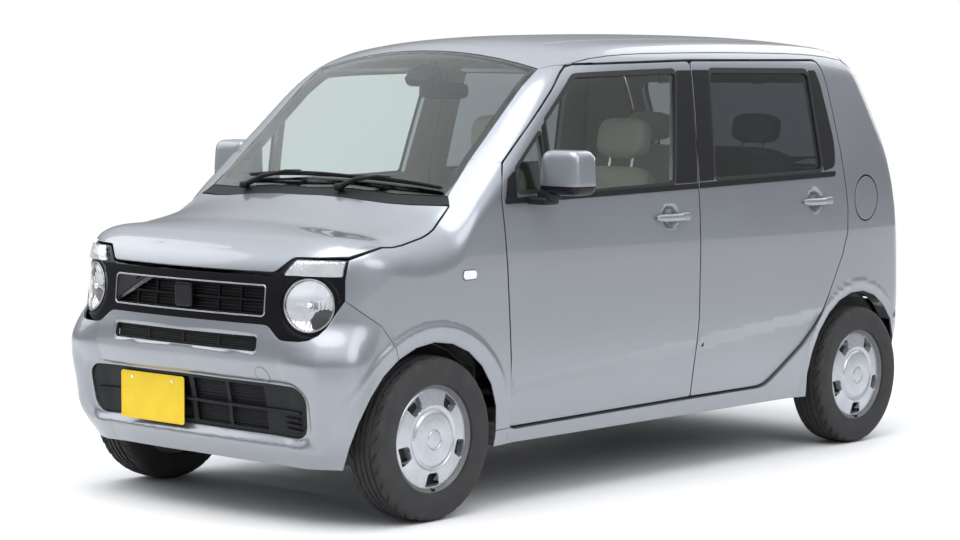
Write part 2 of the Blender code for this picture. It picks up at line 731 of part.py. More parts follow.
def filled(points, faces, walls, outline, holes):
    """Which triangles fill the outline. Those with no wall between them stay or go together."""
    neighbours = {}
    for index, face in enumerate(faces):
        for start, end in zip(face, np.roll(face, -1)):
            neighbours.setdefault(tuple(sorted((int(start), int(end)))), []).append(index)
    a, b, c = (points[faces[:, i]] for i in range(3))
    sizes = np.abs((b[:, 0] - a[:, 0]) * (c[:, 1] - a[:, 1]) - (b[:, 1] - a[:, 1]) * (c[:, 0] - a[:, 0]))
    middles = (a + b + c) / 3
    keep = np.zeros(len(faces), bool)
    seen = np.zeros(len(faces), bool)
    for first in np.argsort(-sizes):
        if seen[first]:
            continue
        stays = inside(outline, middles[[first]])[0]
        stays &= not any(inside(hole, middles[[first]])[0] for hole in holes)
        front = [first]
        seen[first] = True
        while front:
            index = front.pop()
            keep[index] = stays
            face = faces[index]
            for start, end in zip(face, np.roll(face, -1)):
                edge = tuple(sorted((int(start), int(end))))
                for other in [] if edge in walls else neighbours[edge]:
                    if not seen[other]:
                        seen[other] = True
                        front.append(other)
    return keep


def rim_edges(faces):
    """The edges that only one triangle has, in its own direction."""
    edges = np.concatenate([faces[:, [0, 1]], faces[:, [1, 2]], faces[:, [2, 0]]])
    seen = {tuple(edge) for edge in edges}
    return [(a, b) for a, b in seen if (b, a) not in seen]


def new_object(name, verts, faces, paint, origin=(0, 0, 0)):
    """An object with its own material, its origin where it is placed or turns."""
    mesh = bpy.data.meshes.new(name)
    origin = Vector(origin)
    mesh.from_pydata([Vector(v) - origin for v in verts], [],
                     [tuple(int(i) for i in face) for face in faces])
    mesh.validate()
    obj = bpy.data.objects.new(name, mesh)
    obj.location = origin
    bpy.context.scene.collection.objects.link(obj)
    mesh.materials.append(material(name, *paint))
    tidy_up(mesh)
    mesh.shade_smooth()
    mesh.set_sharp_from_angle(angle=SMOOTH_ANGLE)
    return obj


def tidy_up(mesh):
    """Points on one spot made one, and every face turned outwards."""
    work = bmesh.new()
    work.from_mesh(mesh)
    bmesh.ops.remove_doubles(work, verts=work.verts, dist=SEAT / 100)
    bmesh.ops.recalc_face_normals(work, faces=work.faces)
    if work.calc_volume(signed=True) < 0:
        bmesh.ops.reverse_faces(work, faces=work.faces)
    work.to_mesh(mesh)
    work.free()


def material(name, colour, roughness, metallic=0.0, alpha=1.0):
    made = bpy.data.materials.new(name)
    made.use_nodes = True
    shader = made.node_tree.nodes["Principled BSDF"]
    shader.inputs["Base Color"].default_value = (*colour, 1)
    shader.inputs["Roughness"].default_value = roughness
    shader.inputs["Metallic"].default_value = metallic
    shader.inputs["Alpha"].default_value = alpha
    made.diffuse_color = (*colour, alpha)
    return made


def panel(name, chart, stretches, paint, wall, holes=(), depth=0, side=1, step=GRID_STEP, origin=(0, 0, 0),
          grow=0):
    """A closed sheet that follows the body form, its outer face at a depth, as thick as its wall."""
    outline = outline_of(chart, stretches)
    openings = [outline_of(chart, [(points, -gap) for points, gap in hole]) for hole in holes]
    flat, faces = flat_mesh(outline, openings, step)
    if grow:
        flat[: len(outline)] = outline_of(chart, [(points, gap - grow) for points, gap in stretches])
    skin = reach(*chart.rays(flat))
    inward = -normals_at(skin)
    deep = depth(skin) if callable(depth) else depth
    thick = wall(skin) if callable(wall) else wall
    outer = skin + inward * np.broadcast_to(deep, len(skin))[:, None]
    inner = outer + inward * np.broadcast_to(thick, len(skin))[:, None]
    count = len(flat)
    sides = [(b, a, a + count, b + count) for a, b in rim_edges(faces)]
    verts = np.concatenate([outer, inner])
    if side < 0:
        verts = mirrored(verts)
    return new_object(name, verts, [*faces, *(faces[:, ::-1] + count), *sides], paint, origin)


def helper(obj):
    """A shape that only cuts or joins another."""
    obj.hide_render = True
    obj.display_type = "WIRE"
    return obj


def combine(target, tool, operation):
    change = target.modifiers.new(tool.name, "BOOLEAN")
    change.operation = operation
    change.solver = "EXACT"
    change.object = helper(tool)
    return target


def join(target, *tools):
    for tool in tools:
        combine(target, tool, "UNION")
    return target


def cut(target, *tools):
    for tool in tools:
        combine(target, tool, "DIFFERENCE")
    return target


def prism(name, outline, axis, low, high, paint, origin=(0, 0, 0)):
    """A closed outline drawn square to an axis (0, 1 or 2) and run along it from low to high."""
    others = [i for i in range(3) if i != axis]
    verts = []
    for level in (low, high):
        for point in outline:
            vert = [0.0, 0.0, 0.0]
            vert[axis], vert[others[0]], vert[others[1]] = level, point[0], point[1]
            verts.append(vert)
    count = len(outline)
    faces = [range(count), range(2 * count - 1, count - 1, -1)]
    faces += [(i, i + count, (i + 1) % count + count, (i + 1) % count) for i in range(count)]
    return new_object(name, verts, faces, paint, origin)


def loft(name, sections, paint, origin=(0, 0, 0), closed=False):
    """Equal rings of points joined in turn; the ends are capped unless the last meets the first."""
    count = len(sections[0])
    verts = [point for section in sections for point in section]
    faces = []
    pairs = list(zip(range(len(sections)), range(1, len(sections))))
    if closed:
        pairs.append((len(sections) - 1, 0))
    for a, b in pairs:
        for i in range(count):
            j = (i + 1) % count
            faces.append((a * count + i, a * count + j, b * count + j, b * count + i))
    if not closed:
        faces += [range(count), range(len(verts) - 1, len(verts) - count - 1, -1)]
    return new_object(name, verts, faces, paint, origin)


def turned(name, profile, centre, segments, paint, axis=0, origin=None):
    """A closed profile of (radius, place along the axis) turned round an axis through the centre."""
    others = [(axis + 1) % 3, (axis + 2) % 3]
    sections = []
    for step in range(segments):
        turn = math.tau * step / segments
        ring = []
        for radius, along in profile:
            vert = list(centre)
            vert[axis] += along
            vert[others[0]] += radius * math.cos(turn)
            vert[others[1]] += radius * math.sin(turn)
            ring.append(vert)
        sections.append(ring)
    return loft(name, sections, paint, centre if origin is None else origin, closed=True)


def rod(name, start, end, radius, paint, sides=10, origin=(0, 0, 0)):
    """A round bar between two points."""
    start, end = Vector(start), Vector(end)
    turn = (end - start).to_track_quat("Z", "Y")
    ring = [
        turn @ Vector((radius * math.cos(math.tau * i / sides), radius * math.sin(math.tau * i / sides), 0))
        for i in range(sides)
    ]
    return loft(name, [[start + v for v in ring], [end + v for v in ring]], paint, origin)


def block(name, low, high, paint, origin=(0, 0, 0), bevel=0):
    """A straight-sided block between two corners, its edges rounded by a bevel."""
    outline = [(low[1], low[2]), (high[1], low[2]), (high[1], high[2]), (low[1], high[2])]
    made = prism(name, outline, 0, low[0], high[0], paint, origin)
    if bevel:
        soft = made.modifiers.new("edges", "BEVEL")
        soft.width = bevel
        soft.segments = 2
    return made

# Paints: colour, roughness, metallic and, on glass, alpha
SILVER = ((0.58, 0.62, 0.68), 0.30, 0.75)
BLACK_GLOSS = ((0.015, 0.015, 0.018), 0.15)
BLACK_PLASTIC = ((0.03, 0.03, 0.032), 0.60)
CHROME = ((0.85, 0.86, 0.88), 0.12, 1.0)
WHEEL_SILVER = ((0.62, 0.64, 0.67), 0.32, 0.6)
RUBBER = ((0.025, 0.025, 0.027), 0.85)
GLASS = ((0.42, 0.50, 0.48), 0.05, 0.0, 0.4)
DARK_GLASS = ((0.05, 0.06, 0.07), 0.05, 0.0, 0.6)
LENS = ((0.85, 0.87, 0.90), 0.08, 0.0, 0.5)
RED_LENS = ((0.55, 0.03, 0.04), 0.15)
FABRIC = ((0.50, 0.45, 0.38), 0.90)
TRIM = ((0.40, 0.36, 0.31), 0.75)
STEEL = ((0.20, 0.21, 0.22), 0.55, 0.6)
CAST = ((0.30, 0.30, 0.31), 0.60, 0.5)

TOP = TopChart
SHUT, GATE_SHUT, SEAM, FREE = SHUT_GAP / 2, GATE_GAP / 2, SEAM_GAP / 2, 0.0
BUMPER_ARCH_ANGLE = math.radians(121)
TAIL_ARCH_ANGLE = math.radians(37)


def door_wall_at(points):
    """Doors are deep below the glass and thin in their window frames."""
    share = ease(HEIGHT * WAIST_LOW_SHARE, HEIGHT * WAIST_HIGH_SHARE, points[:, 2])
    return DOOR_WALL + (SASH_WALL - DOOR_WALL) * share


def pillar_depth_at(points):
    return door_wall_at(points) + PILLAR_CLEAR


def arch(centre_y, radius, start, end):
    """A wheel arch's edge on the left side, between two angles from the rear level."""
    steps = max(2, round(abs(end - start) / ARCH_STEP))
    turns = np.linspace(start, end, steps + 1)
    return square_to("side", columns(centre_y + radius * np.cos(turns), AXLE_Z + radius * np.sin(turns)))


def foot_angle(level, radius, forward):
    """The angle at which an arch comes down to a level, on its front or rear side."""
    angle = math.asin((level - AXLE_Z) / radius)
    return math.pi - angle if forward else angle


def tied(seam, start=None, end=None):
    """The seam with its ends on points that other seams share."""
    seam = seam.copy()
    if start is not None:
        seam[0] = start
    if end is not None:
        seam[-1] = end
    return seam


def line(chart, start, end, step):
    """A straight stretch in a chart between two points of the body form."""
    ends = chart.flatten(np.array([start, end]))
    flat = np.array(spaced(ends, step))
    return tied(reach(*chart.rays(flat)), start, end)


def closed_box(view, low_high, radius, step):
    """A rounded window symmetric about the middle line, from its two half-width and height shares."""
    (low_x, low_z), (high_x, high_z) = low_high
    rows = ((-low_x, low_z, radius), (low_x, low_z, radius), (high_x, high_z, radius),
            (-high_x, high_z, radius))
    return drawn(view, rows, closed=True, step=step)


def nearest(points, target):
    return int(np.argmin(np.linalg.norm(points - target, axis=1)))


def between(loop, start, end):
    """The stretch of a closed loop from one of its points to another, in the loop's own direction."""
    first, last = nearest(loop, start), nearest(loop, end)
    count = (last - first) % len(loop) + 1
    return loop[[(first + i) % len(loop) for i in range(count)]]


def disc(chart, centre, radius, sides):
    """A round outline in a chart about a point of the body form."""
    flat = chart.flatten(np.array([centre]))[0]
    turns = np.arange(sides) * math.tau / sides
    return reach(*chart.rays(flat + radius * columns(np.cos(turns), np.sin(turns))))


def level_round(fan_y, facing, start, step):
    """A level stretch round an end of the body, from a point at its side to the middle line."""
    level = start[2]
    turn = math.atan2(start[0], facing * (start[1] - fan_y))
    turns = np.linspace(turn, 0, math.ceil(turn * HALF_WIDTH / step) + 1)
    rays = columns(0, fan_y, np.full(len(turns), level)), columns(np.sin(turns), facing * np.cos(turns), 0)
    return reach(*rays)


def side_spot(shares):
    return square_to("side", [(LENGTH * shares[0], HEIGHT * shares[1])])[0]


class Seams:
    """Every seam of the left half, drawn once, with its ends on shared points."""

    def __init__(self, step=PANEL_STEP):
        self.front_door = drawn("side", FRONT_DOOR_SHARES, True, step)
        self.rear_door = drawn("side", REAR_DOOR_SHARES, True, step)
        self.front_pane = drawn("side", FRONT_PANE_SHARES, True, step)
        self.quarter_pane = drawn("side", QUARTER_PANE_SHARES, True, step)
        self.rear_pane = drawn("side", REAR_PANE_SHARES, True, step)
        self.lip = drawn("nose", LIP_SHARES, step=step)
        self.lamp = drawn("nose", LAMP_SEAM_SHARES, step=step)
        self.mask_foot = drawn("nose", MASK_FOOT_SHARES, step=step)
        self.bonnet_rear = drawn("top", BONNET_REAR_SHARES, step=step)
        self.bonnet_side = tied(drawn("top", BONNET_SIDE_SHARES, step=step), end=self.lip[-1])
        self.screen_foot = drawn("top", SCREEN_FOOT_SHARES, step=step)
        self.screen_side = drawn("top", SCREEN_SIDE_SHARES, step=step)
        self.screen_head = drawn("top", SCREEN_HEAD_SHARES, step=step)
        self.roof_side = drawn("top", ROOF_SIDE_SHARES, step=step)
        self.roof_rear = drawn("top", ROOF_REAR_SHARES, step=step)
        self.gate_head = tied(drawn("tail", GATE_HEAD_SHARES, step=step), start=self.roof_side[-1])
        self.gate_lamp = drawn("tail", GATE_LAMP_SHARES, step=step)
        self.gate_foot = drawn("tail", GATE_FOOT_SHARES, step=step)
        self.gate_sill = drawn("tail", GATE_SILL_SHARES, step=step)
        self.lamp_side = drawn("tail", TAIL_LAMP_SHARES, step=step)

        sill_top, sill_foot = HEIGHT * SILL_TOP_SHARE, HEIGHT * SILL_BOTTOM_SHARE
        bumper_foot, rear_foot = HEIGHT * BUMPER_FOOT_SHARE, HEIGHT * REAR_BUMPER_FOOT_SHARE
        front, rear = FRONT_ARCH_RADIUS, REAR_ARCH_RADIUS
        sill_angle = foot_angle(sill_top, front, False)
        self.sill_end = arch(FRONT_AXLE_Y, front, foot_angle(sill_foot, front, False), sill_angle)
        self.fender_arch = arch(FRONT_AXLE_Y, front, sill_angle, BUMPER_ARCH_ANGLE)
        nose_angle = foot_angle(bumper_foot, front, True)
        self.bumper_arch = arch(FRONT_AXLE_Y, front, BUMPER_ARCH_ANGLE, nose_angle)
        self.quarter_arch = arch(REAR_AXLE_Y, rear, TAIL_ARCH_ANGLE, foot_angle(sill_foot, rear, True))
        self.tail_arch = arch(REAR_AXLE_Y, rear, foot_angle(rear_foot, rear, False), TAIL_ARCH_ANGLE)
        self.sill_foot = line(SideChart, self.quarter_arch[-1], self.sill_end[0], step)

        self.bumper = drawn("side", BUMPER_SEAM_SHARES, step=step)
        self.bumper = tied(self.bumper, self.lamp[-1], self.fender_arch[-1])
        corner = drawn("tail", TAIL_CORNER_SHARES, step=step)
        self.tail = np.concatenate([corner, line(SideChart, corner[-1], self.tail_arch[-1], step)[1:]])

        a_spot = (HALF_WIDTH * A_SEAM_SPOT_SHARES[0], LENGTH * A_SEAM_SPOT_SHARES[1])
        a_foot = nearest(self.screen_side, square_to("top", [a_spot])[0])
        self.screen_low, self.screen_high = self.screen_side[: a_foot + 1], self.screen_side[a_foot:]
        a_door = self.front_door[nearest(self.front_door, side_spot(A_DOOR_SPOT_SHARES))]
        self.a_seam = line(SideChart, self.screen_high[0], a_door, step)
        door_foot = self.front_door[nearest(self.front_door, side_spot(DOOR_FOOT_SPOT_SHARES))]
        self.sill_top = line(SideChart, self.sill_end[-1], door_foot, step)
        self.cowl_side = line(TopChart, self.bonnet_rear[-1], self.screen_foot[-1], step)
        self.door_front = between(self.front_door, a_door, door_foot)
        self.opening = np.concatenate([
            between(self.front_door, door_foot, side_spot(SILL_FRONT_SPOT_SHARES)),
            between(self.rear_door, side_spot(SILL_REAR_SPOT_SHARES), side_spot(HEAD_REAR_SPOT_SHARES)),
            between(self.front_door, side_spot(HEAD_FRONT_SPOT_SHARES), a_door),
        ])
        self.bumper_foot = level_round(FAN_FRONT_Y, -1, self.bumper_arch[-1], step)
        self.rear_foot = level_round(FAN_REAR_Y, 1, self.tail_arch[0], step)


def back(seam):
    return seam[::-1]


def body_wall_at(points):
    """The shell's thickness: the sill is the deepest."""
    share = ease(HEIGHT * SILL_TOP_SHARE, HEIGHT * SILL_RISE_SHARE, points[:, 2])
    return SILL_WALL + (BODY_WALL - SILL_WALL) * share


def shell_loop(s):
    """The outline of a body side: pillars, sill and rear quarter round both door openings."""
    return [
        (s.screen_high, SEAM), (s.roof_side, SEAM), (s.gate_head, GATE_SHUT), (s.lamp_side, SEAM),
        (s.gate_foot, GATE_SHUT), (s.tail, SEAM), (s.quarter_arch, FREE), (s.sill_foot, FREE),
        (s.sill_end, FREE), (s.sill_top, SEAM), (s.opening, SHUT), (back(s.a_seam), SEAM),
    ]


PILLARS = (
    ("hinge_pillar", HINGE_PILLAR_SHARES, FENDER_WALL + PILLAR_DEEP),
    ("centre_pillar", CENTRE_PILLAR_SHARES, pillar_depth_at),
)


def side_panels(s, side, name):
    """The panels, doors and panes of one side, drawn on the left and mirrored for the right."""

    def piece(kind, stretches, paint, wall, chart=SideChart, **options):
        return panel(kind + "_" + name, chart, stretches, paint, wall, side=side, **options)

    piece("front_fender", [
        (s.a_seam, SEAM), (s.door_front, SHUT), (back(s.sill_top), SEAM), (s.fender_arch, FREE),
        (back(s.bumper), SEAM), (back(s.lamp), SEAM), (back(s.bonnet_side), SHUT), (s.cowl_side, SEAM),
        (s.screen_low, SEAM),
    ], SILVER, FENDER_WALL)
    filler = disc(SideChart, side_spot(FILLER_SHARES), FILLER_RADIUS, FILLER_SIDES)
    shell = piece("body_side", shell_loop(s), SILVER, body_wall_at,
                  holes=[[(filler, SHUT)]] if side > 0 else [])
    if side > 0:
        fuel_lid(shell, filler)
    for kind, shares, depth in PILLARS:
        join(shell, piece(kind, [(drawn("side", shares, True), FREE)], SILVER, PILLAR_WALL, depth=depth))
    for kind, loop, hinge_share, panes in (
        ("front", s.front_door, FRONT_HINGE_SHARE,
         ((s.front_pane, "front", GLASS), (s.quarter_pane, "quarter", GLASS))),
        ("rear", s.rear_door, REAR_HINGE_SHARE, ((s.rear_pane, "rear", DARK_GLASS),)),
    ):
        axis = (side * HINGE_X, LENGTH * hinge_share, HEIGHT * HINGE_HEIGHT_SHARE)
        windows = [[(pane, FREE)] for pane, _, _ in panes]
        piece("door_" + kind, [(loop, SHUT)], SILVER, door_wall_at, holes=windows, origin=axis)
        for pane, place, paint in panes:
            piece("glass_" + place, [(pane, GLASS_SEAT)], paint, GLASS_WALL, depth=GLASS_INSET, origin=axis)
    lamp = [(s.gate_lamp, GATE_SHUT), (back(s.lamp_side), 3 * SEAM)]
    piece("tail_lamp", lamp, RED_LENS, TAIL_LAMP_WALL, chart=TAIL)


def whole(half):
    """A loop of left stretches that runs from the middle line back to it, with its right half added."""
    return list(half) + [(back(mirrored(points)), gap) for points, gap in back(list(half))]


def swing_room(name, seam, axis):
    """Room about a lid's axis, out to the seam beside it, that the lid's edge keeps clear of as it turns."""
    half = seam if seam[0][0] else back(seam)
    sections = []
    for spot in np.concatenate([half, back(mirrored(half))[1:]]):
        ring = circle(axis[1:], math.hypot(spot[1] - axis[1], spot[2] - axis[2]))
        sections.append([(spot[0], y, z) for y, z in ring])
    return loft("swing_" + name, sections, SILVER)


def middle_panels(s, fits):
    """The panels that cross the middle line."""
    bonnet = [(s.lip, SHUT), (back(s.bonnet_side), SHUT), (back(s.bonnet_rear), SHUT)]
    bonnet_axis = (0, BONNET_AXIS_Y, BONNET_AXIS_Z)
    lid = panel("bonnet", TOP, whole(bonnet), SILVER, HOOD_WALL, origin=bonnet_axis)
    cut(lid, swing_room("bonnet", s.bonnet_rear, bonnet_axis))
    cowl = [(s.bonnet_rear, SHUT), (s.cowl_side, SEAM), (back(s.screen_foot), SEAM)]
    panel("cowl", TOP, whole(cowl), BLACK_PLASTIC, COWL_WALL)
    screen = [(s.screen_foot, SEAM), (s.screen_low, SEAM), (s.screen_high, SEAM),
              (back(s.screen_head), SEAM)]
    panel("windscreen", TOP, whole(screen), GLASS, SCREEN_WALL, depth=SCREEN_INSET)
    roof = [(s.screen_head, SEAM), (s.roof_side, 3 * SEAM), (s.roof_rear, GATE_SHUT)]
    roof_panel = panel("roof", TOP, whole(roof), SILVER, ROOF_WALL)

    top = back(s.roof_rear)
    gate = [(top, GATE_SHUT), (s.gate_head, GATE_SHUT), (s.gate_lamp, GATE_SHUT), (s.gate_foot, GATE_SHUT),
            (back(s.gate_sill), GATE_SHUT)]
    window = closed_box("tail", REAR_SCREEN_SHARES, REAR_SCREEN_RADIUS, PANEL_STEP)
    middle = s.roof_rear[-1]
    gate_axis = (0, middle[1] - GATE_AXIS_AHEAD, middle[2] - GATE_AXIS_DOWN)
    lid = panel("tailgate", TAIL, whole(gate), SILVER, GATE_WALL, holes=[[(window, FREE)]], origin=gate_axis)
    cut(lid, swing_room("gate", s.roof_rear, gate_axis))
    panel("tailgate_glass", TAIL, [(window, SEAT)], DARK_GLASS, GLASS_WALL, depth=GLASS_INSET,
          origin=gate_axis)
    bumper = [(s.gate_sill, GATE_SHUT), (s.tail, 3 * SEAM), (back(s.tail_arch), FREE), (s.rear_foot, FREE)]
    rear = panel("rear_bumper", TAIL, whole(bumper), SILVER, BUMPER_WALL)

    bumper = [(s.mask_foot, SEAM), (s.bumper, SEAM), (s.bumper_arch, FREE), (s.bumper_foot, FREE)]
    intake = closed_box("nose", INTAKE_SHARES, INTAKE_RADIUS, PANEL_STEP)
    slot = closed_box("nose", SLOT_SHARES, SLOT_RADIUS, PANEL_STEP)
    front = panel("front_bumper", NOSE, whole(bumper), SILVER, BUMPER_WALL,
                  holes=[[(intake, FREE)], [(slot, FREE)]])
    bars = intake_bars()
    panel("lower_grille", NOSE, [(intake, SEAT)], BLACK_PLASTIC, GRILLE_WALL, holes=bars, depth=GRILLE_INSET)

    grille = closed_box("nose", GRILLE_SHARES, GRILLE_RADIUS, PANEL_STEP)
    lamp = disc(NOSE, square_to("nose", [(HALF_WIDTH * LAMP_SHARES[0], HEIGHT * LAMP_SHARES[1])])[0],
                LAMP_RADIUS, LAMP_SIDES)
    mask = [(s.lip, SHUT), (s.lamp, SEAM), (back(s.mask_foot), SEAM)]
    openings = [[(grille, FREE)], [(lamp, FREE)], [(mirrored(lamp), FREE)]]
    panel("grille_mask", NOSE, whole(mask), BLACK_GLOSS, MASK_WALL, holes=openings)
    panel("grille", NOSE, [(grille, SEAT)], CHROME, GRILLE_WALL, holes=grille_slots())
    for side, name in ((1, "left"), (-1, "right")):
        panel("headlamp_" + name, NOSE, [(lamp, SEAT)], LENS, LAMP_WALL, side=side)
        room = panel("lamp_room_" + name, NOSE, [(lamp, -SEAT)], LENS, 2 * LAMP_WALL, depth=-BUMPER_WALL,
                     side=side)
        cut(front, room)
        for trimmed in (roof_panel, rear):
            cut(trimmed, fits[side][0])
    return gate_axis


def slots(low_high, columns_each, rows, bar, gap_centre):
    """Rounded slots in rows and columns either side of a plain middle."""
    (low_x, low_z), (high_x, high_z) = low_high
    low_x, high_x = low_x * HALF_WIDTH, high_x * HALF_WIDTH
    low_z, high_z = low_z * HEIGHT, high_z * HEIGHT
    half = min(low_x, high_x)
    pitch_x = (half - bar - gap_centre) / columns_each
    pitch_z = (high_z - low_z - bar) / rows
    found = []
    for side in (1, -1):
        for column in range(columns_each):
            for row in range(rows):
                left = gap_centre + column * pitch_x
                foot = low_z + bar + row * pitch_z
                corners = (
                    (left, foot), (left + pitch_x - bar, foot),
                    (left + pitch_x - bar, foot + pitch_z - bar), (left, foot + pitch_z - bar),
                )
                found.append([(square_to("nose", [(side * x, z) for x, z in corners]), FREE)])
    return found


def intake_bars():
    return slots(INTAKE_SHARES, INTAKE_COLUMNS, INTAKE_ROWS, INTAKE_BAR, INTAKE_MIDDLE)


def grille_slots():
    return slots(GRILLE_SHARES, GRILLE_COLUMNS, GRILLE_ROWS, GRILLE_BAR, EMBLEM_SPACE)


def wheels():
    """Tyres and covered wheels; the front pair turns about the stub axles, the rear pair about the beam's."""
    for end, axle_y in (("front", FRONT_AXLE_Y), ("rear", REAR_AXLE_Y)):
        for side, name in ((1, "left"), (-1, "right")):
            centre = (side * HALF_TRACK, axle_y, AXLE_Z)
            half, bead = TYRE_WIDTH / 2, BEAD_WIDTH / 2
            wall = [
                (BEAD_RADIUS, bead), (COVER_RADIUS + RIM_LIP, bead), (TYRE_RADIUS - 2 * SHOULDER, half),
                (TYRE_RADIUS - SHOULDER, half - SHOULDER / 3), (TYRE_RADIUS, half - SHOULDER),
            ]
            profile = wall + [(radius, -along) for radius, along in wall[::-1]]
            turned(f"tyre_{end}_{name}", profile, centre, TYRE_SIDES, RUBBER)
            wheel(f"wheel_{end}_{name}", centre, side)


def wheel(name, centre, side):
    """A steel rim with its slotted cover: one turned form, cut by a ring of slots."""
    rim, bead = BEAD_RADIUS - SEAT, BEAD_WIDTH / 2
    well, barrel = rim - RIM_WELL, rim - RIM_WALL
    face = COVER_FACE - COVER_DISH
    profile = [
        (rim, -bead), (well, RIM_WELL - bead), (well, bead - RIM_WELL), (rim, bead), (rim, bead + RIM_LIP),
        (COVER_RADIUS, bead + RIM_LIP), (COVER_RADIUS, COVER_FACE), (rim, COVER_FACE), (SLOT_OUT, face),
        (BOSS_RADIUS + BOSS_RISE, face), (BOSS_RADIUS, face + BOSS_RISE), (0, face + BOSS_RISE),
        (0, face - COVER_WALL), (well - RIM_WALL, face - COVER_WALL), (well - RIM_WALL, RIM_WELL - bead),
        (barrel, -bead),
    ]
    made = turned(name, [(radius, side * along) for radius, along in profile], centre, TYRE_SIDES,
                  WHEEL_SILVER)
    for index in range(SLOT_COUNT):
        turn = math.tau * (index + 0.5) / SLOT_COUNT
        corners = [
            (-SLOT_HALF_IN, SLOT_IN), (SLOT_HALF_IN, SLOT_IN), (SLOT_HALF_OUT, SLOT_OUT),
            (-SLOT_HALF_OUT, SLOT_OUT),
        ]
        spun = [Matrix.Rotation(turn, 2) @ Vector(corner) for corner in corners]
        outline = [(centre[1] + a, centre[2] + b) for a, b in spun]
        low, high = sorted((centre[0] + side * (face - 2 * COVER_WALL),
                            centre[0] + side * (face + COVER_WALL)))
        cut(made, prism(f"{name}_slot_{index}", outline, 0, low, high, WHEEL_SILVER))


def slab(name, low, high, paint=STEEL, origin=(0, 0, 0)):
    """A plain straight-sided bar or plate between two corners."""
    return block(name, low, high, paint, origin)


def sided(side, x_low, x_high):
    """Two places across the car, given for the left, in rising order on either side."""
    return sorted((side * x_low, side * x_high))


def thick_line(path, thick):
    """The outline of a sheet of the given thickness, bent along a path."""
    path = np.array(path, float)
    ahead = np.diff(path, axis=0)
    ahead /= np.linalg.norm(ahead, axis=1, keepdims=True)
    out = columns(-ahead[:, 1], ahead[:, 0])
    out = np.concatenate([out[:1], out[:-1] + out[1:], out[-1:]])
    out /= (out * np.concatenate([out[:1] * 0 + columns(-ahead[:1, 1], ahead[:1, 0]),
                                  columns(-ahead[:, 1], ahead[:, 0])])).sum(axis=1)[:, None]
    return [*(path + out * thick / 2), *(path - out * thick / 2)[::-1]]


def sector(centre, inner, outer, start, end):
    """The outline of part of a ring, in the plane of the wheels."""
    turns = np.linspace(start, end, round((end - start) / ARCH_STEP) + 1)
    spots = [(centre[0] + outer * math.cos(turn), centre[1] + outer * math.sin(turn)) for turn in turns]
    return spots + [(centre[0] + inner * math.cos(turn),
                     centre[1] + inner * math.sin(turn)) for turn in turns[::-1]]


def circle(centre, radius):
    turns = np.arange(0, math.tau, ARCH_STEP / 2)
    return [(centre[0] + radius * math.cos(turn), centre[1] + radius * math.sin(turn)) for turn in turns]


def ring(name, centre, inner, outer, low, high, axis, paint=STEEL):
    """A bush round an axis through the centre."""
    profile = [(inner, low), (outer, low), (outer, high), (inner, high)]
    return turned(name, profile, centre, PIN_SIDES, paint, axis)


def pin(name, centre, radius, low, high, axis, paint=STEEL):
    start, end = list(centre), list(centre)
    start[axis] += low
    end[axis] += high
    return rod(name, start, end, radius, paint, PIN_SIDES)


def fit_of(name, stretches, wall, side, depth=0, holes=()):
    """A cutter that trims a part to a seat behind a panel of the shell."""
    def thick(points):
        return (wall(points) if callable(wall) else wall) + FIT_PROUD + SEAT

    def lifted(points):
        return (depth(points) if callable(depth) else depth) - FIT_PROUD

    return panel(name, SideChart, stretches, STEEL, thick, holes=holes, depth=lifted, side=side,
                 grow=3 * SEAT)


def door_hinges(shell, door, name, side, axis_y, foot):
    """Two lugs on the pillar, each round a pin that crosses a pocket in the door."""
    for index, level_share in enumerate(HINGE_LEVEL_SHARES):
        level = HEIGHT * level_share
        tag = f"{name}_{index}"
        centre = (side * HINGE_X, axis_y, level)
        arm = [(side * (HINGE_X + x), axis_y + y) for x, y in foot]
        join(shell, prism("lug_arm_" + tag, arm, 2, level - LUG_HALF, level + LUG_HALF, SILVER))
        join(shell, ring("lug_eye_" + tag, centre, PIN_RADIUS + SEAT, EYE_RADIUS, -EYE_HALF, EYE_HALF, 2))
        x_low, x_high = sided(side, HINGE_X - POCKET_DEEP, HINGE_X + EYE_RADIUS + POCKET_CLEAR)
        pocket = EYE_HALF + SEAT
        low = (x_low, axis_y - POCKET_AHEAD, level - pocket)
        high = (x_high, axis_y + EYE_RADIUS + POCKET_BEHIND, level + pocket)
        cut(door, slab("pocket_" + tag, low, high))
        join(door, pin("hinge_pin_" + tag, centre, PIN_RADIUS, -pocket - PIN_ROOT, pocket + PIN_ROOT, 2))


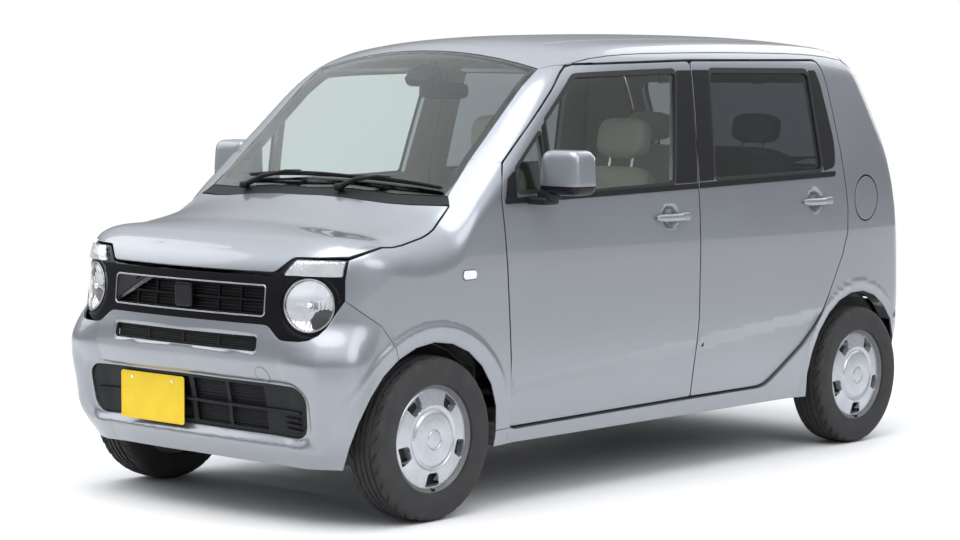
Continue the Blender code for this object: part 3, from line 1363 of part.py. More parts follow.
def fuel_lid(shell, filler):
    """The filler's lid, on a bent arm that swings round a pin in a pocket ahead of the hole."""
    level = side_spot(FILLER_SHARES)
    axis = side_spot((FILLER_SHARES[0] - (FILLER_RADIUS + LID_AXIS_AHEAD) / LENGTH, FILLER_SHARES[1]))
    axis[0] -= LID_AXIS_DEEP
    lid = panel("fuel_lid_left", SideChart, [(filler, SHUT)], SILVER, LID_WALL, origin=axis)
    foot = side_spot(((axis[1] + LID_ARM_FOOT) / LENGTH, FILLER_SHARES[1]))
    path = [(axis[0] + x, axis[1] + y) for x, y in LID_ARM_PATH] + [(foot[0] - LID_WALL / 2, foot[1])]
    join(lid,
         prism("lid_arm", thick_line(path, LID_ARM), 2, level[2] - LUG_HALF, level[2] + LUG_HALF, SILVER))
    join(lid, ring("lid_eye", axis, PIN_RADIUS + SEAT, EYE_RADIUS, -EYE_HALF, EYE_HALF, 2))
    pocket = EYE_HALF + SEAT
    low = (axis[0] - LID_POCKET_DEEP, axis[1] - EYE_RADIUS - POCKET_CLEAR, level[2] - pocket)
    high = (axis[0] + EYE_RADIUS + POCKET_CLEAR, axis[1] + LID_AXIS_AHEAD + SHUT_GAP, level[2] + pocket)
    cut(shell, slab("lid_pocket", low, high))
    join(shell, pin("lid_pin", axis, PIN_RADIUS, -pocket - PIN_ROOT, pocket + PIN_ROOT, 2))


def soft_block(name, centre, size, tilt=0.0, taper=1.0, paint=FABRIC):
    """A padded shape: a rounded slab that narrows towards its top and leans about the line across the car."""
    half = Vector(size) / 2
    sections = []
    for level, share in PAD_SECTIONS:
        spread = 1 + (taper - 1) * (level + 1) / 2
        ring_spots = []
        for step in range(PAD_SIDES):
            turn = math.tau * step / PAD_SIDES
            across, along = (math.copysign(abs(f) ** PAD_POWER, f) for f in (math.cos(turn), math.sin(turn)))
            ring_spots.append(Vector((across * half.x * share * spread, along * half.y * share,
                                      level * half.z)))
        sections.append(ring_spots)
    lean = Matrix.Rotation(tilt, 3, "X")
    return loft(name, [[Vector(centre) + lean @ spot for spot in ring_spots] for ring_spots in sections],
                paint)


def seat(name, x, y, floor, top, width, heads, paint=FABRIC):
    """A seat on its plinth: cushion, leaning back and head restraints, in one piece."""
    depth, back_y, back_z = SEAT_DEPTH, y + SEAT_BACK_Y, floor + top + SEAT_BACK_RISE
    made = slab(name, (x - width * SEAT_FOOT_SHARE, y - SEAT_FOOT_AHEAD, floor + SEAT),
                (x + width * SEAT_FOOT_SHARE, y + SEAT_FOOT_BEHIND, floor + top - SEAT_PAD / 2), paint)
    join(made, soft_block(name + "_cushion", (x, y, floor + top - SEAT_PAD / 2), (width, depth, SEAT_PAD)))
    join(made, soft_block(name + "_back", (x, back_y, back_z), (width, SEAT_BACK_THICK, SEAT_BACK_TALL),
                          -SEAT_LEAN, SEAT_TAPER))
    head_y = back_y + math.sin(SEAT_LEAN) * HEAD_RISE
    head_z = back_z + math.cos(SEAT_LEAN) * HEAD_RISE
    for index, place in enumerate(heads):
        centre = (x + place, head_y, head_z)
        join(made, soft_block(f"{name}_head_{index}", centre, HEAD_SIZE, -SEAT_LEAN, SEAT_TAPER))
        foot = (x + place, back_y + math.sin(SEAT_LEAN) * HEAD_ROOT,
                back_z + math.cos(SEAT_LEAN) * HEAD_ROOT)
        join(made, rod(f"{name}_stem_{index}", foot, centre, HEAD_STEM, paint))
    return made


def floor_and_shell(s, shells):
    """The floor, toe board and rear wheelhouses in one pressing, trimmed to the sides."""
    made = prism("floor_pan", thick_line(FLOOR_PATH, SHEET), 0, -FLOOR_HALF, FLOOR_HALF, TRIM)
    join(made, slab("sill_flange", (-SILL_FLANGE_HALF, SILL_FLANGE_Y[0], FLOOR_Z - SHEET / 2),
                    (SILL_FLANGE_HALF, SILL_FLANGE_Y[1], FLOOR_Z + SHEET / 2)))
    for side, name in ((1, "left"), (-1, "right")):
        rear = (REAR_AXLE_Y, AXLE_Z)
        low, high = sided(side, HOUSE_WALL_X, FLOOR_HALF)
        cut(made, prism("house_room_" + name, circle(rear, HOUSE_RADIUS), 0, low, high, STEEL))
        join(made, prism("house_ring_" + name,
                         sector(rear, HOUSE_RADIUS, HOUSE_RADIUS + SHEET, HOUSE_START, math.pi), 0,
                         low, high, STEEL))
        low, high = sided(side, HOUSE_WALL_X, HOUSE_WALL_X + SHEET)
        wall = sector(rear, HOUSE_HOLE, HOUSE_RADIUS + SHEET / 2, HOUSE_START, math.pi)
        join(made, prism("house_wall_" + name, wall, 0, low, high, STEEL))
        low, high = sided(side, LINER_LOW_X - SHEET, FLOOR_HALF)
        liner_room = LINER_RADIUS + LINER_WALL + SEAT
        front = circle((FRONT_AXLE_Y, AXLE_Z), liner_room)
        cut(made, prism("liner_room_" + name, front, 0, low, high, STEEL))
        for fit in shells[side]:
            cut(made, fit)
        low, high = sided(side, BEAM_BUSH_X[0] - SHEET, BEAM_BUSH_X[0] - SEAT)
        bush_y, bush_z = BEAM_PIVOT
        join(made, slab("beam_bracket_" + name, (low, bush_y - BRACKET_HALF, bush_z - BRACKET_HALF),
                        (high, bush_y + BRACKET_HALF, REAR_FLOOR_Z)))
    return made


def front_structure():
    """Side members, aprons, wheel liners, struts, radiator support and bonnet hinge posts in one welded piece."""
    made = slab("front_structure", (-SUPPORT_HALF, SUPPORT_Y[0], SUPPORT_Z[0]),
                (SUPPORT_HALF, SUPPORT_Y[1], SUPPORT_Z[0] + SUPPORT_BAR))
    join(made, slab("support_head", (-SUPPORT_HALF, SUPPORT_Y[0], SUPPORT_Z[1] - SUPPORT_BAR),
                    (SUPPORT_HALF, SUPPORT_Y[1], SUPPORT_Z[1])))
    join(made, slab("radiator", (-RADIATOR_HALF, SUPPORT_Y[0] + LINER_WALL, SUPPORT_Z[0]),
                    (RADIATOR_HALF, SUPPORT_Y[1] - LINER_WALL, SUPPORT_Z[1] - LINER_WALL)))
    join(made, slab("bumper_beam", (-BEAM_HALF, BUMPER_BEAM_Y[0], BUMPER_BEAM_Z[0]),
                    (BEAM_HALF, BUMPER_BEAM_Y[1], BUMPER_BEAM_Z[1])))
    for side, name in ((1, "left"), (-1, "right")):
        low, high = sided(side, *RAIL_X)
        join(made, slab("rail_" + name, (low, BUMPER_BEAM_Y[1] - LINER_WALL, RAIL_Z[0]),
                        (high, RAIL_REAR_Y, RAIL_Z[1])))
        low, high = sided(side, RAIL_X[1] - LINER_WALL, RAIL_X[1] + LINER_WALL)
        join(made, slab("apron_" + name, (low, SUPPORT_Y[1] - LINER_WALL, RAIL_Z[0] + LINER_WALL),
                        (high, APRON_REAR_Y, SHELF_Z)))
        low, high = sided(side, RAIL_X[1], SHELF_X)
        join(made, slab("shelf_" + name, (low, SHELF_Y[0], SHELF_Z - LINER_WALL),
                        (high, SHELF_Y[1], SHELF_Z + LINER_WALL)))
        low, high = sided(side, RAIL_X[1], LINER_HIGH_X)
        liner = sector((FRONT_AXLE_Y, AXLE_Z), LINER_RADIUS, LINER_RADIUS + LINER_WALL, 0, LINER_END)
        join(made, prism("liner_" + name, liner, 0, low, high, STEEL))
        join(made, rod("strut_" + name, (side * STRUT_X, FRONT_AXLE_Y, STRUT_FOOT_Z[0]),
                       (side * STRUT_X, FRONT_AXLE_Y, SHELF_Z), STRUT_RADIUS, STEEL, TUBE_SIDES))
        low, high = sided(side, STRUT_X, KINGPIN_X - SOCKET_RADIUS * SOCKET_ROOT_SHARE)
        join(made, slab("strut_foot_" + name, (low, FRONT_AXLE_Y - SOCKET_RADIUS, STRUT_FOOT_Z[0]),
                        (high, FRONT_AXLE_Y + SOCKET_RADIUS, STRUT_FOOT_Z[1])))
        join(made, ring("strut_socket_" + name, (side * KINGPIN_X, FRONT_AXLE_Y, 0), KINGPIN_RADIUS + SEAT,
                        SOCKET_RADIUS, STRUT_FOOT_Z[0], STRUT_FOOT_Z[1], 2))
        low, high = sided(side, BONNET_HINGE_X + SEAT, BONNET_HINGE_X + BRACKET_WALL)
        join(made, slab("hinge_post_" + name, (low, BONNET_AXIS_Y - POST_HALF, SHELF_Z),
                        (high, BONNET_AXIS_Y + POST_HALF, BONNET_AXIS_Z + EYE_RADIUS)))
        low, high = sided(side, BONNET_HINGE_X - HINGE_ARM_WALL, BONNET_HINGE_X + BRACKET_WALL / 2)
        join(made,
             pin("hinge_post_pin_" + name, (0, BONNET_AXIS_Y, BONNET_AXIS_Z), PIN_RADIUS, low, high, 0))
    return made


def lid_arm(target, name, x, axis, path, paint):
    """A bent arm from a lid to an eye on its axis, lying in one upright plane."""
    low, high = sorted((x[0], x[1]))
    join(target, prism("arm_" + name, thick_line([(axis[0] + a, axis[1] + b) for a, b in path], HINGE_ARM),
                       0, low, high, paint))
    join(target, ring("eye_" + name, (0, *axis), PIN_RADIUS + SEAT, EYE_RADIUS, low, high, 0, paint))


def lid_hinges(bonnet, tailgate, roof, gate_axis):
    """Arms that carry the bonnet and the tailgate round the edges behind them."""
    for side, name in ((1, "left"), (-1, "right")):
        span = (side * (BONNET_HINGE_X - HINGE_ARM_WALL), side * BONNET_HINGE_X)
        lid_arm(bonnet, "bonnet_" + name, span, (BONNET_AXIS_Y, BONNET_AXIS_Z), BONNET_ARM_PATH, SILVER)
        span = (side * (GATE_HINGE_X - HINGE_ARM_WALL), side * GATE_HINGE_X)
        lid_arm(tailgate, "gate_" + name, span, gate_axis, GATE_ARM_PATH, SILVER)
        low, high = sided(side, GATE_HINGE_X + SEAT, GATE_HINGE_X + BRACKET_WALL)
        join(roof, slab("gate_bracket_" + name, (low, gate_axis[0] - POST_HALF, gate_axis[1] - EYE_RADIUS),
                        (high, gate_axis[0] + POST_HALF, gate_axis[1] + GATE_AXIS_DOWN)))
        low, high = sided(side, GATE_HINGE_X - HINGE_ARM_WALL, GATE_HINGE_X + BRACKET_WALL / 2)
        join(roof, pin("gate_pin_" + name, (0, *gate_axis), PIN_RADIUS, low, high, 0))


def running_gear():
    """Subframe with its arms, knuckles, rear beam, engine, exhaust and tank."""
    made = block("front_subframe", (-RAIL_X[1], SUBFRAME_Y[0], SUBFRAME_Z[0]),
                 (RAIL_X[1], SUBFRAME_Y[1], SUBFRAME_Z[1]), STEEL)
    for side, name in ((1, "left"), (-1, "right")):
        low, high = sided(side, *RAIL_X)
        join(made, slab("mount_" + name, (low, SUBFRAME_Y[0], SUBFRAME_Z[0]),
                        (high, SUBFRAME_Y[0] + MOUNT_LONG, RAIL_Z[0] - SEAT)))
        tip = KINGPIN_X - SOCKET_RADIUS * SOCKET_ROOT_SHARE
        arm = [(side * ARM_ROOT_X, FRONT_AXLE_Y - ARM_SPREAD),
               (side * ARM_ROOT_X, FRONT_AXLE_Y + ARM_SPREAD),
               (side * tip, FRONT_AXLE_Y + ARM_TIP_HALF), (side * tip, FRONT_AXLE_Y - ARM_TIP_HALF)]
        join(made, prism("lower_arm_" + name, arm, 2, ARM_Z[0], ARM_Z[1], STEEL))
        join(made, ring("arm_socket_" + name, (side * KINGPIN_X, FRONT_AXLE_Y, 0), KINGPIN_RADIUS + SEAT,
                        SOCKET_RADIUS, ARM_Z[0], KNUCKLE_Z[0] - SEAT, 2))
        knuckle("knuckle_" + name, side)
    block("engine_block", (-ENGINE_HALF, ENGINE_Y[0], SUBFRAME_Z[1] + SEAT),
          (ENGINE_HALF, ENGINE_Y[1], ENGINE_TOP),
          CAST, bevel=ENGINE_BEVEL)
    rear_beam()
    tank_top = REAR_FLOOR_Z - SHEET / 2 - SEAT
    block("fuel_tank", (TANK_X[0], TANK_Y[0], TANK_FOOT), (TANK_X[1], TANK_Y[1], tank_top), BLACK_PLASTIC,
          bevel=TANK_BEVEL)
    exhaust()


def knuckle(name, side):
    """A steered upright with its spindle, hub flange, steering arm and two pivot pins."""
    centre = (side * HALF_TRACK, FRONT_AXLE_Y, AXLE_Z)
    kingpin = (side * KINGPIN_X, FRONT_AXLE_Y, 0)
    low, high = sided(side, *KNUCKLE_X)
    made = block(name, (low, FRONT_AXLE_Y - KNUCKLE_HALF, KNUCKLE_Z[0]),
                 (high, FRONT_AXLE_Y + KNUCKLE_HALF, KNUCKLE_Z[1]), CAST,
                 origin=(kingpin[0], kingpin[1], AXLE_Z))
    spindle(made, name, centre, side, KNUCKLE_X[0])
    low, high = sided(side, KNUCKLE_X[0], KNUCKLE_X[0] + STEER_ARM)
    join(made, slab("steer_arm_" + name, (low, FRONT_AXLE_Y, AXLE_Z - STEER_ARM),
                    (high, FRONT_AXLE_Y + STEER_ARM_LONG, AXLE_Z)))
    join(made, pin("kingpin_" + name, kingpin, KINGPIN_RADIUS, ARM_Z[0], STRUT_FOOT_Z[1], 2))
    return made


def spindle(target, name, centre, side, root_x):
    """The stub axle and hub flange, a seat short of the wheel's disc."""
    hub_x = HALF_TRACK + COVER_FACE - COVER_DISH - COVER_WALL - SEAT
    join(target, rod("stub_" + name, (side * root_x, centre[1], AXLE_Z), (side * hub_x, centre[1], AXLE_Z),
                     STUB_RADIUS, CAST, TUBE_SIDES))
    join(target, rod("hub_" + name, (side * (hub_x - HUB_THICK), centre[1], AXLE_Z),
                     (side * hub_x, centre[1], AXLE_Z),
                     HUB_RADIUS, CAST, TUBE_SIDES))


def rear_beam():
    """The torsion beam between trailing arms, with spring legs up to the floor."""
    y, z = BEAM_PIVOT
    made = rod("rear_axle", (-BEAM_ARM_X, BEAM_Y, BEAM_Z), (BEAM_ARM_X, BEAM_Y, BEAM_Z), BEAM_RADIUS, STEEL,
               TUBE_SIDES)
    for side, name in ((1, "left"), (-1, "right")):
        bush_x = side * sum(BEAM_BUSH_X) / 2
        join(made, rod("arm_front_" + name, (bush_x, y, z), (side * BEAM_ARM_X, BEAM_Y, BEAM_Z),
                       BEAM_ARM_RADIUS, STEEL))
        join(made, rod("arm_rear_" + name, (side * BEAM_ARM_X, BEAM_Y, BEAM_Z),
                       (side * SPINDLE_ROOT_X, REAR_AXLE_Y, AXLE_Z),
                       BEAM_ARM_RADIUS, STEEL))
        join(made, rod("bush_" + name, (side * BEAM_BUSH_X[0], y, z), (side * BEAM_BUSH_X[1], y, z),
                       BEAM_RADIUS, STEEL,
                       TUBE_SIDES))
        spindle(made, "rear_" + name, (side * HALF_TRACK, REAR_AXLE_Y, AXLE_Z), side,
                SPINDLE_ROOT_X - BEAM_ARM_RADIUS)
        spring_x, spring_y = SPRING_SPOT
        join(made, rod("spring_" + name, (side * spring_x, spring_y, BEAM_Z),
                       (side * spring_x, spring_y, LUGGAGE_FLOOR_Z - SHEET / 2 - SEAT), SPRING_RADIUS, STEEL,
                       TUBE_SIDES))
        low, high = sided(side, spring_x, SPINDLE_ROOT_X)
        join(made, slab("spring_seat_" + name, (low, spring_y - SPRING_RADIUS / 2, AXLE_Z),
                        (high, spring_y + SPRING_RADIUS / 2, BEAM_Z)))
    return made


def exhaust():
    """Pipe, silencer and tail pipe, hung a seat below the floor."""
    path = [Vector(spot) for spot in EXHAUST_PATH]
    made = rod("exhaust", (SILENCER_X[0], *SILENCER_SPOT), (SILENCER_X[1], *SILENCER_SPOT), SILENCER_RADIUS,
               STEEL, 16)
    for index, (start, end) in enumerate(zip(path, path[1:])):
        reach_on = (end - start).normalized() * PIPE_RADIUS / 2
        join(made, rod(f"pipe_{index}", start - reach_on, end + reach_on, PIPE_RADIUS, STEEL))
    x = EXHAUST_PATH[0][0]
    for index, (y, top) in enumerate(HANGERS):
        join(made, slab(f"hanger_{index}", (x - HANGER_HALF, y - HANGER_HALF, EXHAUST_PATH[0][2]),
                        (x + HANGER_HALF, y + HANGER_HALF, top - SHEET / 2 - SEAT)))
    return made


def cabin():
    """Dashboard, steering wheel and seats, for a right-hand drive car."""
    dash = prism("dashboard", filleted(DASH_PROFILE, True), 0, -DASH_HALF, DASH_HALF, TRIM)
    join(dash, slab("console", (-CONSOLE_HALF, CONSOLE_Y[0], CONSOLE_Z[0]),
                    (CONSOLE_HALF, CONSOLE_Y[1], CONSOLE_Z[1])))
    hub, lean = Vector(STEER_HUB), Vector((0, math.cos(COLUMN_LEAN), math.sin(COLUMN_LEAN)))
    join(dash, rod("column", hub - lean * COLUMN_SPAN[0], hub - lean * COLUMN_SPAN[1], COLUMN_RADIUS, TRIM,
                   TUBE_SIDES))
    cut(dash,
        rod("column_bore", hub, hub - lean * (SHAFT_LONG + SEAT), SHAFT_RADIUS + SEAT, TRIM, TUBE_SIDES))
    steering_wheel(hub, lean)
    for side, name in ((1, "left"), (-1, "right")):
        seat("seat_front_" + name, side * FRONT_SEAT_X, FRONT_SEAT_Y, FLOOR_Z + SHEET / 2, FRONT_SEAT_TOP,
             FRONT_SEAT_WIDTH,
             (0,))
    seat("seat_rear", 0, REAR_SEAT_Y, REAR_FLOOR_Z + SHEET / 2, REAR_SEAT_TOP, REAR_SEAT_WIDTH,
         (-REAR_HEAD_X, REAR_HEAD_X))


def steering_wheel(hub, lean):
    """A rim on three spokes, with its shaft into the column."""
    turn = lean.to_track_quat("Z", "Y")
    sections = []
    for step in range(RIM_STEPS):
        around = math.tau * step / RIM_STEPS
        ring_spots = []
        for place in range(TUBE_SIDES // 2):
            round_rim = math.tau * place / (TUBE_SIDES // 2)
            radius = RIM_RADIUS + RIM_TUBE * math.cos(round_rim)
            spot = Vector((radius * math.cos(around), radius * math.sin(around),
                           RIM_TUBE * math.sin(round_rim)))
            ring_spots.append(hub + turn @ spot)
        sections.append(ring_spots)
    made = loft("steering_wheel", sections, BLACK_PLASTIC, hub, closed=True)
    join(made, rod("steer_boss", hub - lean * BOSS_HALF, hub + lean * BOSS_HALF, STEER_BOSS_RADIUS,
                   BLACK_PLASTIC, TUBE_SIDES))
    for index, angle in enumerate(SPOKE_ANGLES):
        spot = Vector((RIM_RADIUS * math.cos(angle), RIM_RADIUS * math.sin(angle), 0))
        join(made,
             rod(f"spoke_{index}", hub, hub + turn @ spot, SPOKE_RADIUS, BLACK_PLASTIC, TUBE_SIDES // 2))
    join(made, rod("steer_shaft", hub, hub - lean * SHAFT_LONG, SHAFT_RADIUS, STEEL, TUBE_SIDES))
    return made


def door_mirror(name, side, fit):
    """A rounded mirror shell on a foot trimmed to the door's skin."""
    x, y, z = MIRROR_CENTRE
    made = soft_block(name, (side * x, y, z), MIRROR_SIZE, 0, MIRROR_TAPER, SILVER)
    low, high = sided(side, MIRROR_FOOT_X[0], x)
    join(made, block("foot_" + name, (low, MIRROR_FOOT_Y[0], MIRROR_FOOT_Z[0]),
                     (high, MIRROR_FOOT_Y[1], MIRROR_FOOT_Z[1]),
                     SILVER))
    return cut(made, fit)


def main():
    for obj in list(bpy.data.objects):
        bpy.data.objects.remove(obj)
    s = Seams()
    fits = {}
    for side, name in ((1, "left"), (-1, "right")):
        side_panels(s, side, name)
        shell_wall = [(points, gap) for points, gap in shell_loop(s)]
        filler = [[(disc(SideChart, side_spot(FILLER_SHARES), FILLER_RADIUS, FILLER_SIDES),
                    SHUT)]] if side > 0 else []
        fits[side] = [fit_of("fit_shell_" + name, shell_wall, body_wall_at, side, holes=filler)]
        for kind, shares, depth in PILLARS:
            loop = [(drawn("side", shares, True), FREE)]
            fits[side].append(fit_of(f"fit_{kind}_{name}", loop, PILLAR_WALL, side, depth))
        shell, front, rear = (bpy.data.objects[kind + name] for kind in ("body_side_", "door_front_",
                                                                         "door_rear_"))
        door_hinges(shell, front, "front_" + name, side, LENGTH * FRONT_HINGE_SHARE, FRONT_LUG_FOOT)
        door_hinges(shell, rear, "rear_" + name, side, LENGTH * REAR_HINGE_SHARE, REAR_LUG_FOOT)
        windows = [[(s.front_pane, FREE)], [(s.quarter_pane, FREE)]]
        fit = panel("fit_door_" + name, SideChart, [(s.front_door, SHUT)], STEEL, FIT_PROUD, windows, -SEAT,
                    side)
        door_mirror("mirror_" + name, side, fit)
    gate_axis = middle_panels(s, fits)
    floor_and_shell(s, fits)
    front_structure()
    bonnet, tailgate, roof = (bpy.data.objects[name] for name in ("bonnet", "tailgate", "roof"))
    lid_hinges(bonnet, tailgate, roof, gate_axis[1:])
    running_gear()
    cabin()
    wheels()


main()
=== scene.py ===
"""Looks of the kei car: panels, lamps, glass, wheels, trims and cabin, on the CAD model's form."""

import json
import math

import bmesh
import bpy
import numpy as np
from mathutils import Matrix, Vector
from mathutils.geometry import delaunay_2d_cdt


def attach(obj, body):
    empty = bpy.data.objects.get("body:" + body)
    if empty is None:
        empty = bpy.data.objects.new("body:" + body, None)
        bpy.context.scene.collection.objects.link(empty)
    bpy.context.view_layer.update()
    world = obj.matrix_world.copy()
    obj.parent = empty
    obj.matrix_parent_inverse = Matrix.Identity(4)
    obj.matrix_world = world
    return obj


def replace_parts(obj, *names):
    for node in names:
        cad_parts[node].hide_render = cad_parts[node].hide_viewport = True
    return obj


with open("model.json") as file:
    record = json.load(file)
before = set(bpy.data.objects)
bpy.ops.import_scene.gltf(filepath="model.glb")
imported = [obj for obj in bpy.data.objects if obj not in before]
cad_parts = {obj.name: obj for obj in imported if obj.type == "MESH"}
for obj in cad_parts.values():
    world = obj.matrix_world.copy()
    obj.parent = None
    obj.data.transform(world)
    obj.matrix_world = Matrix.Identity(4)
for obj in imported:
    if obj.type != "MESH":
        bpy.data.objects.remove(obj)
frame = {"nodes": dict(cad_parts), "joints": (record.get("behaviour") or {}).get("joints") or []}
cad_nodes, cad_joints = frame["nodes"], frame["joints"]
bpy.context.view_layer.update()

# Camera at the photograph's place

CAMERA_SPOT = (6.4183, -7.2738, 1.4994)
CAMERA_TURN, CAMERA_RISE, CAMERA_ROLL = (math.radians(v) for v in (42.177, 4.490, 0.223))
CAMERA_LENS = 94.23

camera_data = bpy.data.cameras.new("photo_camera")
camera_data.lens, camera_data.sensor_width = CAMERA_LENS, 36
camera_data.clip_end = 200
camera = bpy.data.objects.new("photo_camera", camera_data)
bpy.context.scene.collection.objects.link(camera)
bpy.context.scene.camera = camera
behind = Vector((math.sin(CAMERA_TURN) * math.cos(CAMERA_RISE),
                 -math.cos(CAMERA_TURN) * math.cos(CAMERA_RISE),
                 math.sin(CAMERA_RISE)))
across = Vector((math.cos(CAMERA_TURN), math.sin(CAMERA_TURN), 0))
above = behind.cross(across)
right = across * math.cos(CAMERA_ROLL) + above * math.sin(CAMERA_ROLL)
camera.matrix_world = Matrix.Translation(CAMERA_SPOT) @ Matrix((right, behind.cross(right),
                                                                behind)).transposed().to_4x4()

# Sizes and form, the same as in the CAD source

FINE = 0.016
LENGTH = 3.395
WIDTH = 1.475
HEIGHT = 1.655
WHEELBASE = 2.520
FRONT_AXLE_Y = -1.2075
TRACK = 1.305
HALF_WIDTH = WIDTH / 2
HALF_TRACK = TRACK / 2
REAR_AXLE_Y = FRONT_AXLE_Y + WHEELBASE
TYRE_RADIUS = 0.2785
SLOT_COUNT = 5
AXLE_Z = TYRE_RADIUS
SHUT_GAP = 0.0056
SEAM_GAP = 0.0008
GATE_GAP = 0.0080
SEAT = 0.0003
GLASS_SEAT = 0.0008
DOOR_WALL = 0.055
SASH_WALL = 0.032
BODY_WALL = 0.050
SILL_WALL = 0.090
ROOF_WALL = 0.028
FENDER_WALL = 0.012
GATE_WALL = 0.040
GLASS_WALL = 0.004
GLASS_INSET = 0.006
WAIST_LOW_SHARE = 0.625
WAIST_HIGH_SHARE = 0.665
SCREEN_INSET = 0.002
SCREEN_WALL = 0.005
COWL_WALL = 0.010
INTAKE_RADIUS = 0.050
SLOT_RADIUS = 0.012
GRILLE_RADIUS = 0.015
REAR_SCREEN_RADIUS = 0.060
BONNET_AXIS_Y = -1.005
BONNET_AXIS_Z = 1.062
BONNET_HINGE_X = 0.560
GATE_HINGE_X = 0.250
BONNET_ARM_PATH = ((0.0, -0.0045), (-0.004, -0.080), (-0.105, -0.080), (-0.130, -0.060))
GATE_ARM_PATH = ((0.0, -0.0045), (-0.022, -0.123), (0.113, -0.113), (0.130, -0.012))
STEER_HUB = (-0.330, -0.480, 0.880)
COLUMN_LEAN = math.radians(25)
NOSE_ROUND = 0.230
TAIL_ROUND = 0.085
FRONT_BOW = 0.11
REAR_BOW = 0.03
FLARE = 0.008
FLARE_IN = 0.370
FLARE_OUT = 0.398
FRONT_ARCH_RADIUS = 0.325
REAR_ARCH_RADIUS = 0.342
SPINE_Z = 0.700
FAN_FRONT_Y = -1.000
FAN_REAR_Y = 1.000
SECTION_SHARES = (
    (0.1027, 0.9356), (0.1299, 0.9505), (0.1692, 0.9688), (0.2175, 0.9851),
    (0.2900, 0.9966), (0.3746, 1.0000), (0.4955, 1.0000), (0.5559, 0.9959),
    (0.6465, 0.9797), (0.7855, 0.9302), (0.9366, 0.8651), (1.0393, 0.8136),
)
PLAN_SHARES = (
    (-0.5155, 0.91), (-0.4566, 0.965), (-0.3829, 0.992), (-0.2946, 1.0),
    (0.2651, 1.0), (0.3535, 0.995), (0.4271, 0.978), (0.5155, 0.945),
)
CENTRE_SHARES = (
    (-0.5155, 0.4955), (-0.4831, 0.5468), (-0.4566, 0.5740), (-0.3976, 0.6060),
    (-0.3417, 0.6417), (-0.3211, 0.6628), (-0.2946, 0.7082), (-0.2209, 0.8369),
    (-0.1649, 0.9335), (-0.1384, 0.9644), (-0.1119, 0.9770), (-0.0560, 0.9879),
    (0.0442, 0.9958), (0.1915, 1.0000), (0.3240, 0.9970), (0.3976, 0.9861),
    (0.4713, 0.9668),
)
CROWN_SHARES = (
    (-0.5007, 0.0121), (-0.4418, 0.0211), (-0.3947, 0.0453), (-0.3240, 0.0677),
    (-0.2946, 0.0737), (-0.1473, 0.0737), (-0.0884, 0.0514), (0.0295, 0.0423),
    (0.4124, 0.0423),
)
SHOULDER_SHARES = (
    (-0.5007, 0.0678), (-0.4418, 0.0949), (-0.3829, 0.1627), (-0.3299, 0.1763), (-0.2887, 0.1017),
    (-0.1414, 0.1017), (-0.0884, 0.1288), (0.4418, 0.1288),
)
NOSE_SHARES = (
    (0.0906, -0.4683), (0.1208, -0.4778), (0.1692, -0.4878), (0.2417, -0.4937),
    (0.3142, -0.4996), (0.3625, -0.4997), (0.4230, -0.4960), (0.4834, -0.4931),
    (0.5196, -0.4890), (0.5559, -0.4807), (0.6042, -0.4595), (1.0272, -0.2651),
)
TAIL_SHARES = (
    (0.0906, 0.4875), (0.1208, 0.4931), (0.1692, 0.4972), (0.2175, 0.4990),
    (0.3202, 0.5000), (0.4834, 0.4972), (0.6042, 0.4913), (0.7251, 0.4766),
    (0.8097, 0.4560), (0.9063, 0.4300), (0.9607, 0.4124), (1.0272, 0.3859),
)
FRONT_DOOR_SHARES = (
    (-0.2395, 0.1637, 0.030), (0.0669, 0.1704, 0.010), (0.0710, 0.6556, 0.200),
    (0.0851, 0.9360, 0.020), (-0.1237, 0.9239, 0.120), (-0.2451, 0.7190, 0.030),
    (-0.2560, 0.6526, 0.100),
)
REAR_DOOR_SHARES = (
    (0.0669, 0.1704, 0.010), (0.2032, 0.1716, 0.150), (0.2946, 0.2900, 0.400),
    (0.3641, 0.5196, 0.300), (0.3549, 0.7251, 0.600), (0.3432, 0.8943, 0.500),
    (0.3328, 0.9396, 0.050), (0.0851, 0.9360, 0.020), (0.0710, 0.6556, 0.200),
)
FRONT_PANE_SHARES = (
    (-0.1753, 0.6514, 0.010), (0.0289, 0.6610, 0.020), (0.0560, 0.9112, 0.020),
    (-0.1193, 0.9003, 0.060), (-0.1753, 0.8060, 0.010),
)
QUARTER_PANE_SHARES = (
    (-0.2297, 0.6586, 0.012), (-0.1841, 0.6598, 0.010), (-0.1841, 0.7855, 0.010),
    (-0.2297, 0.7069, 0.012),
)
REAR_PANE_SHARES = (
    (0.1016, 0.6659, 0.020), (0.3128, 0.6743, 0.030), (0.3078, 0.9124, 0.030),
    (0.1163, 0.9124, 0.020),
)
BUMPER_SEAM_SHARES = ((-0.4418, 0.4502, 0), (-0.4109, 0.3625, 0.040), (-0.4041, 0.3360, 0))
SILL_TOP_SHARE = 0.1637
SILL_BOTTOM_SHARE = 0.1302
FILLER_SHARES = (0.4032, 0.6012)
FILLER_RADIUS = 0.088
LIP_SHARES = (
    (0.0000, 0.5039, 0), (0.5478, 0.5039, 0.030), (0.6264, 0.5396, 0.030),
    (0.8678, 0.5396, 0),
)
LAMP_SEAM_SHARES = ((0.8678, 0.5396, 0), (0.8786, 0.4586, 0))
MASK_FOOT_SHARES = (
    (0.0000, 0.4060, 0), (0.5356, 0.4060, 0.050), (0.6169, 0.3776, 0.050),
    (0.7932, 0.3776, 0.080), (0.8786, 0.4586, 0),
)
GRILLE_SHARES = ((0.5153, 0.4211), (0.5153, 0.4846))
LAMP_SHARES = (0.7214, 0.4489)
SLOT_SHARES = ((0.4841, 0.3523), (0.4841, 0.3813))
INTAKE_SHARES = ((0.7227, 0.1801), (0.7431, 0.2852))
BUMPER_FOOT_SHARE = 0.1239
BONNET_REAR_SHARES = ((0.0000, -0.3358, 0), (0.5424, -0.3284, 0.800), (0.8515, -0.3063, 0))
